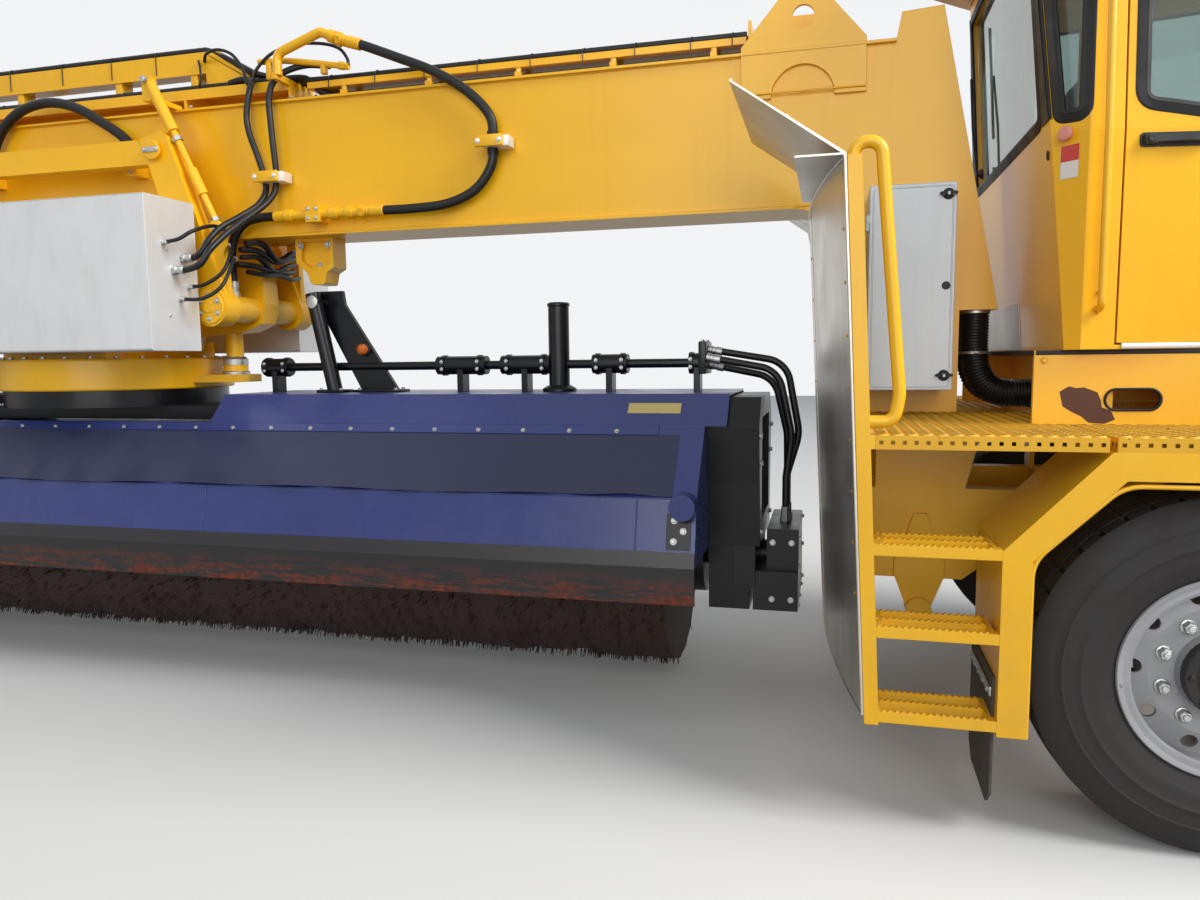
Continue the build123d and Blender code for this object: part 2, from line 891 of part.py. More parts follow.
# Axles with their kingpin eyes
with BuildPart() as axles:
    for axle_x in (front_axle_x, rear_axle_x):
        eye_inner = kingpin_y - boss_radius + 10
        cross_plate(
            [
                (-eye_inner, tyre_radius - 45),
                (-500, tyre_radius - axle_half_height),
                (500, tyre_radius - axle_half_height),
                (eye_inner, tyre_radius - 45),
                (eye_inner, tyre_radius + 45),
                (500, tyre_radius + axle_half_height),
                (-500, tyre_radius + axle_half_height),
                (-eye_inner, tyre_radius + 45),
            ],
            axle_x - axle_half_depth,
            axle_x + axle_half_depth,
        )
        with Locations((axle_x, 0, tyre_radius)):
            Sphere(190)
        for side in (-1, 1):
            low = tyre_radius - boss_half_height + fit_gap
            high = tyre_radius + boss_half_height - fit_gap
            rod((axle_x, side * kingpin_y, low), (axle_x, side * kingpin_y, high), boss_radius)
            rod(
                (axle_x, side * kingpin_y, low - 1),
                (axle_x, side * kingpin_y, high + 1),
                kingpin_radius + fit_gap,
                Mode.SUBTRACT,
            )
save(axles.part, "axles")

# Leaf springs between the axles and the rails
spring_y = rail_outer - rail_web / 2
spring_base = tyre_radius + axle_half_height
with BuildPart() as leaf_springs:
    for axle_x in (front_axle_x, rear_axle_x):
        with BuildSketch(
            Plane(origin=(axle_x, spring_y + 35, 0), x_dir=(1, 0, 0), z_dir=(0, -1, 0))
        ) as leaf:
            with BuildLine():
                under = ThreePointArc(
                    (-spring_half_length, rail_bottom - 15),
                    (0, spring_base),
                    (spring_half_length, rail_bottom - 15),
                )
                Line(under @ 1, (spring_half_length, rail_bottom))
                over = ThreePointArc(
                    (spring_half_length - 60, rail_bottom),
                    (0, spring_base + spring_thickness),
                    (-spring_half_length + 60, rail_bottom),
                )
                Line((spring_half_length, rail_bottom), over @ 0)
                Line(over @ 1, (-spring_half_length, rail_bottom))
                Line((-spring_half_length, rail_bottom), under @ 0)
            make_face()
        extrude(leaf.sketch, amount=70)
    mirror(about=Plane.XZ)
save(leaf_springs.part, "leaf_springs")

# Wheels: each corner has a knuckle, a rim with hub and drum, and a tyre
# name, axle x, side with left as 1
wheel_corners = [
    ("front_left", front_axle_x, 1),
    ("front_right", front_axle_x, -1),
    ("rear_left", rear_axle_x, 1),
    ("rear_right", rear_axle_x, -1),
]
for corner, axle_x, side in wheel_corners:
    # local x runs outward and local y up from the wheel's centre
    wheel_plane = Plane(origin=(axle_x, side * wheel_y, tyre_radius), x_dir=(0, side, 0), z_dir=(side, 0, 0))
    wheel_axis = Axis((axle_x, side * wheel_y, tyre_radius), (0, side, 0))
    half_tread = tyre_width / 2 - 22
    with BuildPart() as tyre:
        with BuildSketch(wheel_plane) as section:
            with BuildLine():
                Line((-rim_half_width, rim_radius), (rim_half_width, rim_radius))
                Line((rim_half_width, rim_radius), (rim_half_width, rim_radius + 22))
                ThreePointArc(
                    (rim_half_width, rim_radius + 22),
                    (tyre_width / 2, rim_radius + 125),
                    (half_tread + 12, tyre_radius - 32),
                )
                Line((half_tread + 12, tyre_radius - 32), (half_tread, tyre_radius - 8))
                ThreePointArc(
                    (half_tread, tyre_radius - 8), (0, tyre_radius), (-half_tread, tyre_radius - 8)
                )
                Line((-half_tread, tyre_radius - 8), (-half_tread - 12, tyre_radius - 32))
                ThreePointArc(
                    (-half_tread - 12, tyre_radius - 32),
                    (-tyre_width / 2, rim_radius + 125),
                    (-rim_half_width, rim_radius + 22),
                )
                Line((-rim_half_width, rim_radius + 22), (-rim_half_width, rim_radius))
            make_face()
        revolve(section.sketch, axis=wheel_axis)
    save(tyre.part, "tyre_" + corner)

    barrel = rim_radius - fit_gap
    with BuildPart() as rim:
        with BuildSketch(wheel_plane) as section:
            with BuildLine():
                Polyline(
                    (-rim_half_width - 12, rim_radius + flange_height),
                    (-rim_half_width - fit_gap, rim_radius + flange_height),
                    (-rim_half_width - fit_gap, barrel),
                    (rim_half_width + fit_gap, barrel),
                    (rim_half_width + fit_gap, rim_radius + flange_height),
                    (rim_half_width + 12, rim_radius + flange_height),
                    (rim_half_width + 12, barrel - rim_wall),
                    (disc_offset - 25, barrel - rim_wall),
                    (disc_offset, drum_radius - 5),
                    (disc_offset, hub_radius),
                    (disc_offset + hub_length, hub_radius - 8),
                    (disc_offset + hub_length, 0),
                    (spindle_end, 0),
                    (spindle_end, drum_radius - 40),
                    (-drum_depth, drum_radius - 40),
                    (-drum_depth, drum_radius),
                    (disc_offset - disc_thickness, drum_radius),
                    (disc_offset - 25 - disc_thickness, barrel - rim_wall),
                    (-rim_half_width - 12, barrel - rim_wall),
                    close=True,
                )
            make_face()
        revolve(section.sketch, axis=wheel_axis)
        face_plane = Plane(
            origin=(axle_x, side * (wheel_y + disc_offset + 1), tyre_radius),
            x_dir=(side, 0, 0),
            z_dir=(0, side, 0),
        )
        with BuildSketch(face_plane) as vents:
            with PolarLocations(vent_circle + 7, stud_count):
                Circle(vent_radius)
        extrude(vents.sketch, amount=-60, mode=Mode.SUBTRACT)
        with BuildSketch(face_plane.offset(-3)) as studs:
            with PolarLocations(stud_circle, stud_count, start_angle=18):
                Circle(15)
        extrude(studs.sketch, amount=26)
    save(rim.part, "rim_" + corner)

    with BuildPart() as knuckle:
        pin_y = side * kingpin_y
        low = tyre_radius - boss_half_height
        high = tyre_radius + boss_half_height
        rod((axle_x, pin_y, low - arm_thickness), (axle_x, pin_y, high + arm_thickness), kingpin_radius)
        for z_low in (low - arm_thickness, high):
            y_pair = sorted((side * (kingpin_y - 55), side * (wheel_y - 24)))
            block(axle_x - 60, axle_x + 60, y_pair[0], y_pair[1], z_low, z_low + arm_thickness)
        y_pair = sorted((side * (kingpin_y + 56), side * (wheel_y - 24)))
        block(axle_x - 70, axle_x + 70, y_pair[0], y_pair[1], low - arm_thickness, high + arm_thickness)
        rod(
            (axle_x, side * (wheel_y - 25), tyre_radius),
            (axle_x, side * (wheel_y + spindle_end - fit_gap), tyre_radius),
            90,
        )
        y_pair = sorted((side * (kingpin_y - 100), side * (kingpin_y - 40)))
        block(axle_x - 230, axle_x - 40, y_pair[0], y_pair[1], low - arm_thickness, low - 15)
        block(
            axle_x - 60, axle_x + 40, y_pair[0], y_pair[1], low - arm_thickness, low - 15
        )
    save(knuckle.part, "knuckle_" + corner)


# Cab: a narrow glazed cabin, widest behind the doors, tapering to a bowed windscreen


def cab_outline(inset):
    """Plan of the cab, all its walls moved inward by the inset"""
    with BuildSketch() as plan:
        with BuildLine():
            Polyline(
                (cab_front_x, cab_front_half),
                (cab_wide_x, cab_wide_half),
                (cab_wide_x - cab_chamfer, cab_wide_half - cab_chamfer),
                (cab_wide_x - cab_chamfer, -cab_wide_half + cab_chamfer),
                (cab_wide_x, -cab_wide_half),
                (cab_front_x, -cab_front_half),
            )
            ThreePointArc(
                (cab_front_x, -cab_front_half),
                (cab_nose_x, 0),
                (cab_front_x, cab_front_half),
            )
        make_face()
        if inset:
            offset(amount=-inset, kind=Kind.INTERSECTION, mode=Mode.REPLACE)
    return plan.sketch


def cab_back_x(z):
    """Place of the back wall's outer face, which leans rearward"""
    rise = (z - cab_floor_z) / (cab_roof_z - cab_floor_z)
    return cab_back_low_x + rise * (cab_back_high_x - cab_back_low_x)


def cab_body(inset, low, high):
    """Closed solid of the cab inside its walls: upright to the sill, then leaning in, its back sloping"""
    with BuildPart() as body:
        outline = Plane.XY.offset(low) * cab_outline(inset)
        extrude(outline, amount=cab_sill_z - low)
        outline = Plane.XY.offset(cab_sill_z) * cab_outline(inset)
        extrude(outline, amount=high - cab_sill_z, taper=cab_taper)
        side_plate(
            [
                (cab_wide_x - cab_chamfer - 100, low - 1),
                (cab_back_x(low - 1) + inset, low - 1),
                (cab_back_x(high + 1) + inset, high + 1),
                (cab_wide_x - cab_chamfer - 100, high + 1),
            ],
            -cab_wide_half,
            cab_wide_half,
            Mode.SUBTRACT,
        )
    return body.part


door_rear = cab_wide_x + 110
door_front = front_axle_x + 840
door_low = cab_floor_z + 20
door_high = cab_roof_z - 60
door_outline = [
    (door_rear, door_low),
    (door_front, door_low),
    (door_front, cab_sill_z - 150),
    (door_front - 60, door_high),
    (door_rear, door_high),
]
door_hole = [
    (door_rear - door_gap, door_low - door_gap),
    (door_front + door_gap, door_low - door_gap),
    (door_front + door_gap, cab_sill_z - 150),
    (door_front - 60 + door_gap, door_high + door_gap),
    (door_rear - door_gap, door_high + door_gap),
]
door_window = [
    (door_rear + 58, cab_sill_z + 92),
    (door_front - 120, cab_sill_z - 60),
    (door_front - 130, door_high - 70),
    (door_rear + 58, door_high - 70),
]
quarter_window = [
    (cab_back_x(cab_sill_z) + 28, cab_sill_z + 74),
    (cab_wide_x - 18, cab_sill_z + 68),
    (cab_wide_x - 8, door_high - 40),
    (cab_back_x(door_high) + 40, door_high - 40),
]
side_far = cab_wide_half + 120
rear_window_half = 655
rear_window = [
    (-rear_window_half, cab_sill_z + 90),
    (rear_window_half, cab_sill_z + 90),
    (rear_window_half - 50, door_high - 40),
    (-rear_window_half + 50, door_high - 40),
]
windscreen_window = [
    (-cab_front_half + 60, cab_sill_z - 350),
    (cab_front_half - 60, cab_sill_z - 350),
    (cab_front_half - 80, door_high),
    (-cab_front_half + 80, door_high),
]
# The doors turn on leaning lines in the outer faces of the side walls
door_hinge_radius = 11
hinge_rises = (110, 400)
wall_slope = (cab_wide_half - cab_front_half) / (cab_front_x - cab_wide_x)
hinge_reach = door_hinge_radius + 1.5


def wall_half(x):
    """Half width of the side walls' outer faces up to the sill, at x"""
    return cab_wide_half - (x - cab_wide_x) * wall_slope


def hinge_point(side, rise):
    """Point on a door's hinge line, so far above the door's lower edge"""
    hinge_x = door_front + door_gap / 2
    return Vector(hinge_x, side * (wall_half(hinge_x) + hinge_reach), door_low + rise)


cab_outer = cab_body(0, cab_floor_z, cab_roof_z)
cab_inner = cab_body(cab_wall, cab_floor_z + cab_wall, cab_roof_z)
with BuildPart() as cab_walls:
    add(cab_outer)
    add(cab_inner, mode=Mode.SUBTRACT)
walls = cab_walls.part
# a door hole goes through the side wall only, not through the floor behind it
hole_core = cab_body(cab_wall + door_gap, cab_floor_z - 1, cab_roof_z + 1)
door_core = cab_body(cab_wall, cab_floor_z - 1, cab_roof_z + 1)
with BuildPart() as door_holes:
    for side in (-1, 1):
        y_low, y_high = sorted((side * 300, side * side_far))
        side_plate(door_hole, y_low, y_high)
    add(hole_core, mode=Mode.SUBTRACT)
with BuildPart() as cab_shell:
    add(walls)
    add(door_holes.part, mode=Mode.SUBTRACT)
    for side in (-1, 1):
        y_low, y_high = sorted((side * (rear_window_half + 20), side * side_far))
        side_plate(quarter_window, y_low, y_high, Mode.SUBTRACT)
    cross_plate(rear_window, cab_back_high_x - 60, cab_back_low_x + 60, Mode.SUBTRACT)
    cross_plate(windscreen_window, cab_front_x - 100, cab_nose_x + 60, Mode.SUBTRACT)
    # hinge barrels on each door's leaning front edge, and a grab bar behind each door
    for side in (-1, 1):
        for rise in hinge_rises:
            rod(hinge_point(side, rise), hinge_point(side, rise + 45), door_hinge_radius)
            x_low = door_front + door_gap / 2 + 3
            foot = hinge_point(side, rise)
            y_low, y_high = sorted((foot.Y - side * 40, foot.Y + side * 6))
            block(x_low, x_low + 44, y_low, y_high, foot.Z, foot.Z + 44)
        grab_x = cab_wide_x + 48
        grab_y = side * (wall_half(grab_x) + 42)
        pipe(
            [
                (grab_x, grab_y - side * 52, 1640),
                (grab_x, grab_y, 1640),
                (grab_x, grab_y - side * 5, cab_sill_z),
                (grab_x, grab_y - side * 52, 2890),
                (grab_x, grab_y - side * 102, 2890),
            ],
            [24, 200, 24],
            12,
        )
save(cab_shell.part, "cab_shell")

glass_skin = cab_body(cab_wall / 2, cab_floor_z + 10, cab_roof_z)
glass_core = cab_body(cab_wall / 2 + glass_thickness, cab_floor_z + 5, cab_roof_z + 5)
with BuildPart() as cab_glass:
    for side in (-1, 1):
        y_low, y_high = sorted((side * (rear_window_half + 20), side * side_far))
        side_plate(quarter_window, y_low, y_high)
    cross_plate(rear_window, cab_back_high_x - 60, cab_back_low_x + 60)
    cross_plate(windscreen_window, cab_front_x - 100, cab_nose_x + 60)
    add(glass_skin, mode=Mode.INTERSECT)
    add(glass_core, mode=Mode.SUBTRACT)
save(cab_glass.part, "cab_glass")

for name, side in (("left", 1), ("right", -1)):
    y_low, y_high = sorted((side * 300, side * side_far))
    with BuildPart() as cab_door:
        side_plate(door_outline, y_low, y_high)
        add(cab_outer, mode=Mode.INTERSECT)
        add(door_core, mode=Mode.SUBTRACT)
        side_plate(door_window, y_low, y_high, Mode.SUBTRACT)
        for rise in hinge_rises:
            rod(hinge_point(side, rise + 45 + fit_gap), hinge_point(side, rise + 90), door_hinge_radius)
            foot = hinge_point(side, rise + 46)
            leaf_low, leaf_high = sorted((foot.Y - side * 34, foot.Y + side * 6))
            block(door_front - 42, door_front + door_gap / 2, leaf_low, leaf_high, foot.Z, foot.Z + 43)
    save(cab_door.part, "cab_door_" + name)
    with BuildPart() as door_glass:
        side_plate(door_window, y_low, y_high)
        add(glass_skin, mode=Mode.INTERSECT)
        add(glass_core, mode=Mode.SUBTRACT)
    save(door_glass.part, "door_glass_" + name)

roof_lean = 66
with BuildPart() as cab_roof:
    with BuildSketch(Plane.XY.offset(cab_roof_z)) as roof_plan:
        add(cab_outline(roof_lean - 50))
    extrude(roof_plan.sketch, amount=cab_top_z - cab_roof_z)
    fillet(cab_roof.faces().sort_by(Axis.Z)[-1].edges(), radius=60)
save(cab_roof.part, "cab_roof")

# Driver's seat and steering console
inner_floor = cab_floor_z + cab_wall
seat_x = front_axle_x - 160
console_x = front_axle_x + 790
with BuildPart() as driver_seat:
    block(seat_x + 60, seat_x + 460, -150, 150, inner_floor, inner_floor + 260)
    block(seat_x - 10, seat_x + 500, -260, 260, inner_floor + 260, inner_floor + 400)
    fillet(driver_seat.edges().filter_by(Axis.Z).group_by(SortBy.LENGTH)[0], radius=40)
    side_plate(
        [
            (seat_x, inner_floor + 390),
            (seat_x + 110, inner_floor + 390),
            (seat_x + 40, inner_floor + 1080),
            (seat_x - 40, inner_floor + 1080),
        ],
        -250,
        250,
    )
save(driver_seat.part, "driver_seat")
with BuildPart() as steering_console:
    side_plate(
        [
            (console_x + 20, inner_floor),
            (console_x + 280, inner_floor),
            (console_x + 340, inner_floor + 640),
            (console_x + 160, inner_floor + 700),
            (console_x, inner_floor + 560),
        ],
        -380,
        380,
    )
    rod((console_x + 60, 0, inner_floor + 560), (console_x - 100, 0, inner_floor + 690), 30)
    wheel_centre = Plane(origin=(console_x - 100, 0, inner_floor + 690), z_dir=(-160, 0, 130))
    with BuildSketch(wheel_centre) as ring:
        Circle(220)
        Circle(188, mode=Mode.SUBTRACT)
        Rectangle(400, 40)
        Circle(50)
    extrude(ring.sketch, amount=28)
save(steering_console.part, "steering_console")

# Lamps, beacons and mirrors
bumper_rear = half_length - 400
bumper_front = half_length - 150
bumper_low = 520
bumper_high = 860
plough_half = 520
with BuildPart() as front_bumper:
    with BuildSketch(Plane.XY.offset(bumper_low)) as plan:
        with BuildLine():
            Polyline(
                (front_rail_end, plough_half + 20),
                (bumper_front, plough_half + 20),
                (bumper_front, 950),
                (bumper_front - 150, half_width - 20),
                (bumper_rear, half_width - 20),
                (bumper_rear, half_width - 80),
                (bumper_front - 190, half_width - 80),
                (bumper_front - 60, 900),
                (bumper_front - 60, plough_half + 80),
                (front_rail_end, plough_half + 80),
                close=True,
            )
        make_face()
    extrude(plan.sketch, amount=bumper_high - bumper_low)
    block(front_rail_end - 60, front_rail_end, rail_outer, plough_half + 80, rail_bottom + 20, bumper_high)
    mirror(about=Plane.XZ)
save(front_bumper.part, "front_bumper")

plough_low = 420
plough_high = 980
plough_sheet = 25
bolt_spacing_y = 800
bolt_spacing_z = 300
bolt_radius = 13
with BuildPart() as plough_plate:
    block(half_length - plough_sheet, half_length, -plough_half, plough_half, plough_low, plough_high)
    for cheek_y in (-rail_outer + rail_web - 20, rail_outer - rail_web):
        side_plate(
            [
                (front_rail_end, rail_bottom),
                (half_length - plough_sheet, plough_low + 30),
                (half_length - plough_sheet, plough_high - 30),
                (front_rail_end, rail_top),
            ],
            cheek_y,
            cheek_y + 20,
        )
    with BuildSketch(Plane.YZ.offset(half_length - plough_sheet - 1)) as holes:
        with Locations((0, (plough_low + plough_high) / 2)):
            with GridLocations(bolt_spacing_y, bolt_spacing_z, 2, 2):
                Circle(bolt_radius)
    extrude(holes.sketch, amount=plough_sheet + 2, mode=Mode.SUBTRACT)
save(plough_plate.part, "plough_plate")

with BuildPart() as lamps:
    for side in (-1, 1):
        block(bumper_front, bumper_front + 50, side * 740 - 120, side * 740 + 120, 615, 765)
        with BuildSketch(Plane.XY.offset(cab_top_z)) as beacon:
            with Locations((front_axle_x, side * 420)):
                Circle(75)
        extrude(beacon.sketch, amount=190)
        block(-half_length + 5, -half_length + 40, side * 1050 - 130, side * 1050 + 130, 695, 825)
save(lamps.part, "lamps")

mirror_x = front_axle_x + 1130
with BuildPart() as mirrors:
    block(mirror_x - 40, mirror_x + 10, 1010, 1240, 2140, 2520)
    fillet(mirrors.edges().filter_by(Axis.X), radius=20)
    for arm_z, arm_y in ((2560, 599.3), (2060, 626.3)):
        arm_end = 2500 if arm_z > 2200 else 2160
        pipe(
            [(mirror_x - 180, arm_y, arm_z), (mirror_x, 900, arm_z + 30), (mirror_x, 1120, arm_end)],
            [60],
            14,
        )
    mirror(about=Plane.XZ)
save(mirrors.part, "mirrors")

# Rear module: hollow engine hood with a door on each side, grille, engine and blower
side_door_front = rear_axle_x + 330
side_door_rear = rear_axle_x - 1210
side_door_low = deck_top + 140
side_door_high = module_top - 170
louvre_count = 8
exhaust_x = rear_axle_x - 500
intake_x = rear_axle_x - 50
exhaust_y = -700
hinge_radius = 12
hinge_leaf = 8
hinge_x = side_door_front + door_gap / 2
hinge_y = module_half + hinge_radius
hinge_heights = (side_door_low + 150, side_door_high - 270)
hinge_knuckle = 60
scroll_x = rear_axle_x - 930
scroll_z = 1900
with BuildPart() as engine_hood:
    side_plate(
        [
            (module_front, grate_low),
            (module_front, module_top - 260),
            (module_front - 140, module_top),
            (module_rear + 120, module_top),
            (module_rear, module_top - 160),
            (module_rear, grate_low),
        ],
        -module_half,
        module_half,
    )
    side_plate(
        [
            (module_front - module_wall, deck_top),
            (module_front - module_wall, module_top - 270),
            (module_front - 160, module_top - module_wall),
            (module_rear + 140, module_top - module_wall),
            (module_rear + module_wall, module_top - 170),
            (module_rear + module_wall, deck_top),
        ],
        -module_half + module_wall,
        module_half - module_wall,
        Mode.SUBTRACT,
    )
    for y_low, y_high in ((-module_half - 1, -module_half + module_wall + 1),
                          (module_half - module_wall - 1, module_half + 1)):
        block(
            side_door_rear - door_gap, side_door_front + door_gap, y_low, y_high,
            side_door_low - door_gap, side_door_high + door_gap, Mode.SUBTRACT,
        )
    block(module_rear - 1, module_rear + module_wall + 1, -760, 760, 1500, 2500, Mode.SUBTRACT)
    with BuildSketch(Plane.XY.offset(module_top - module_wall - 1)) as roof_hole:
        with Locations((intake_x, 0)):
            RectangleRounded(620, 1500, 60)
        with Locations((exhaust_x, exhaust_y)):
            Circle(90)
    extrude(roof_hole.sketch, amount=module_wall + 2, mode=Mode.SUBTRACT)
    block(scroll_x - 250, scroll_x + 250, -345, 345, grate_low - 1, deck_top + 1, Mode.SUBTRACT)
    for side in (-1, 1):
        y_low, y_high = sorted((side * module_half, side * (module_half + hinge_leaf)))
        for hinge_z in hinge_heights:
            rod(
                (hinge_x, side * hinge_y, hinge_z),
                (hinge_x, side * hinge_y, hinge_z + hinge_knuckle),
                hinge_radius,
            )
            block(hinge_x + 3, hinge_x + 70, y_low, y_high, hinge_z, hinge_z + hinge_knuckle)
save(engine_hood.part, "engine_hood")

for name, side in (("left", 1), ("right", -1)):
    y_low, y_high = sorted((side * (module_half - module_wall), side * module_half))
    with BuildPart() as engine_door:
        block(side_door_rear, side_door_front, y_low, y_high, side_door_low, side_door_high)
        y_in, y_out = sorted((side * (module_half - module_wall), side * (module_half - module_wall + 26)))
        block(
            side_door_rear + 50, side_door_front - 50, y_in, y_out, side_door_low + 50, side_door_high - 50,
            Mode.SUBTRACT,
        )
        for i in range(louvre_count):
            z = side_door_high - 180 - i * 70
            block(side_door_rear + 200, side_door_rear + 900, y_low, y_high, z, z + 30, Mode.SUBTRACT)
        y_low, y_high = sorted((side * module_half, side * (module_half + hinge_leaf)))
        for hinge_z in hinge_heights:
            z_low = hinge_z + hinge_knuckle + fit_gap
            rod(
                (hinge_x, side * hinge_y, z_low),
                (hinge_x, side * hinge_y, z_low + hinge_knuckle),
                hinge_radius,
            )
            block(hinge_x - 70, hinge_x - 3, y_low, y_high, z_low, z_low + hinge_knuckle)
    save(engine_door.part, "engine_door_" + name)

with BuildPart() as grilles:
    block(module_rear + 4, module_rear + 30, -760, 760, 1500, 2500)
    bar_count = 20
    bar_pitch = 960 / bar_count
    for i in range(bar_count):
        z = 1520 + i * bar_pitch
        block(module_rear + 3, module_rear + 31, -740, -10, z + 10, z + bar_pitch - 4, Mode.SUBTRACT)
        block(module_rear + 3, module_rear + 31, 10, 740, z + 10, z + bar_pitch - 4, Mode.SUBTRACT)
    with BuildSketch(Plane.XY.offset(module_top - module_wall)) as rim_plan:
        with Locations((intake_x, 0)):
            RectangleRounded(620, 1500, 60)
    extrude(rim_plan.sketch, amount=module_wall + 20)
    for i in range(12):
        x = intake_x - 280 + i * 48
        block(x, x + 40, -720, 720, module_top - module_wall - 1, module_top + 21, Mode.SUBTRACT)
save(grilles.part, "grilles")

with BuildPart() as exhaust_stack:
    rod((exhaust_x, exhaust_y, 2300), (exhaust_x, exhaust_y, 3280), 60)
    rod((exhaust_x, exhaust_y, 2301), (exhaust_x, exhaust_y, 3281), 54, Mode.SUBTRACT)
    rod((exhaust_x, exhaust_y, 1900), (exhaust_x, exhaust_y, 2301), 130)
    block(exhaust_x - 30, exhaust_x + 30, exhaust_y - 60, -420, 1850, 1900)
save(exhaust_stack.part, "exhaust_stack")

with BuildPart() as engine_block:
    block(rear_axle_x - 610, rear_axle_x + 390, -420, 420, deck_top, deck_top + 1100)
save(engine_block.part, "engine_block")

# Blower: a scroll housing over a duct to the wide blast nozzle behind the rear axle
scroll_radius = 480
with BuildPart() as blower:
    with BuildSketch(Plane.YZ.offset(scroll_x - 180)) as scroll:
        with Locations((0, scroll_z)):
            Circle(scroll_radius)
        with Locations((250, (scroll_z + deck_top) / 2)):
            Rectangle(220, scroll_z - deck_top)
        with Locations((-120, (scroll_z + deck_top) / 2)):
            Rectangle(520, scroll_z - deck_top)
    extrude(scroll.sketch, amount=360)
    block(scroll_x - 240, scroll_x + 240, -330, 330, 900, deck_top)
    with BuildSketch(Plane.YZ.offset(scroll_x + 179)) as mouth:
        with Locations((0, scroll_z)):
            Circle(260)
    extrude(mouth.sketch, amount=-200, mode=Mode.SUBTRACT)
save(blower.part, "blower")

nozzle_half = 1150
nozzle_low = 230
nozzle_wall = 10
nozzle_front = scroll_x + 220
nozzle_rear = scroll_x - 210
with BuildPart() as blast_nozzle:
    cross_plate(
        [
            (-nozzle_half, nozzle_low),
            (nozzle_half, nozzle_low),
            (nozzle_half, 360),
            (330, 700),
            (330, 900),
            (-330, 900),
            (-330, 700),
            (-nozzle_half, 360),
        ],
        nozzle_rear,
        nozzle_front,
    )
    cross_plate(
        [
            (-nozzle_half + nozzle_wall, nozzle_low - 1),
            (nozzle_half - nozzle_wall, nozzle_low - 1),
            (nozzle_half - nozzle_wall, 350),
            (320, 690),
            (320, 901),
            (-320, 901),
            (-320, 690),
            (-nozzle_half + nozzle_wall, 350),
        ],
        nozzle_rear + nozzle_wall,
        nozzle_front - nozzle_wall,
        Mode.SUBTRACT,
    )
save(blast_nozzle.part, "blast_nozzle")

# Slewing frame: ring and crosshead that carry the brush head
with BuildPart() as slew_frame:
    with BuildSketch(Plane.XY.offset(slew_frame_bottom + 70)) as ring:
        Circle(turntable_radius - 30)
    extrude(ring.sketch, amount=turntable_bottom - fit_gap - slew_frame_bottom - 70)
    block(
        -recess_half_length + fit_gap, recess_half_length - fit_gap, -220, 220,
        slew_frame_bottom, slew_frame_bottom + 70,
    )
    for way in (-1, 1):
        x_low, x_high = sorted((way * (recess_half_length - 60), way * (recess_half_length - fit_gap)))
        block(x_low, x_high, -220, 220, slew_frame_bottom, slew_frame_bottom + 120)
save(slew_frame.part, "slew_frame")

# Brush hood: folded sheet over the brush with a recess under the turntable and closed ends
# y, z from the top fold to the skirt's edge
hood_folds = [(300, 1345), (420, 1215), (650, 945), (720, 680)]


def hood_profile(inset):
    """Closed (y, z) outline of the hood, its walls moved inward by the inset"""
    right = [(y - inset, z - inset) for y, z in hood_folds]
    left = [(-y, z) for y, z in reversed(right)]
    return right + left


fold_strip = [(423.2, 1211.2), (452.4, 1177), (457, 1180.9), (427.8, 1215.1)]
hood_cover = [(-300, 1345), (300, 1345), (420, 1215), (-420, 1215)]
hood_cover_inside = [(-296.4, 1337), (296.4, 1337), (409, 1214), (-409, 1214)]
with BuildPart() as brush_hood:
    cross_plate(hood_profile(0), -hood_half_length, hood_half_length)
    block(
        -recess_half_length, recess_half_length, -430, 430, recess_floor, hood_folds[0][1] + 1, Mode.SUBTRACT
    )
    inner_top = recess_floor - hood_wall
    inside = [
        (720 - hood_wall, 679),
        (650 - hood_wall, 945 - hood_wall),
        (440, inner_top),
        (-440, inner_top),
        (-650 + hood_wall, 945 - hood_wall),
        (-720 + hood_wall, 679),
    ]
    cross_plate(inside, -hood_half_length + hood_wall, hood_half_length - hood_wall, Mode.SUBTRACT)
    for way in (-1, 1):
        # the top folds run on over the end frames
        x_low, x_high = sorted((way * hood_half_length, way * (hood_half_length + 90)))
        cross_plate(hood_cover, x_low, x_high)
        cross_plate(hood_cover_inside, x_low, x_high, Mode.SUBTRACT)
        for side in (-1, 1):
            # bolted strip under the first fold and the round end cap on the lower panel
            cross_plate(
                [(side * y, z) for y, z in fold_strip], -hood_half_length + 190, hood_half_length - 190
            )
            cap_x = way * (hood_half_length - 47)
            rod((cap_x, side * 640, 921), (cap_x, side * 733, 921), 52)
save(brush_hood.part, "brush_hood")

with BuildPart() as hood_skirts:
    cross_plate(
        [
            (721, 680),
            (706, 530),
            (712, 530),
            (727, 682),
            (711.5, 742),
            (705.5, 740),
        ],
        -hood_half_length,
        hood_half_length,
    )
    mirror(about=Plane.XZ)
save(hood_skirts.part, "hood_skirts")

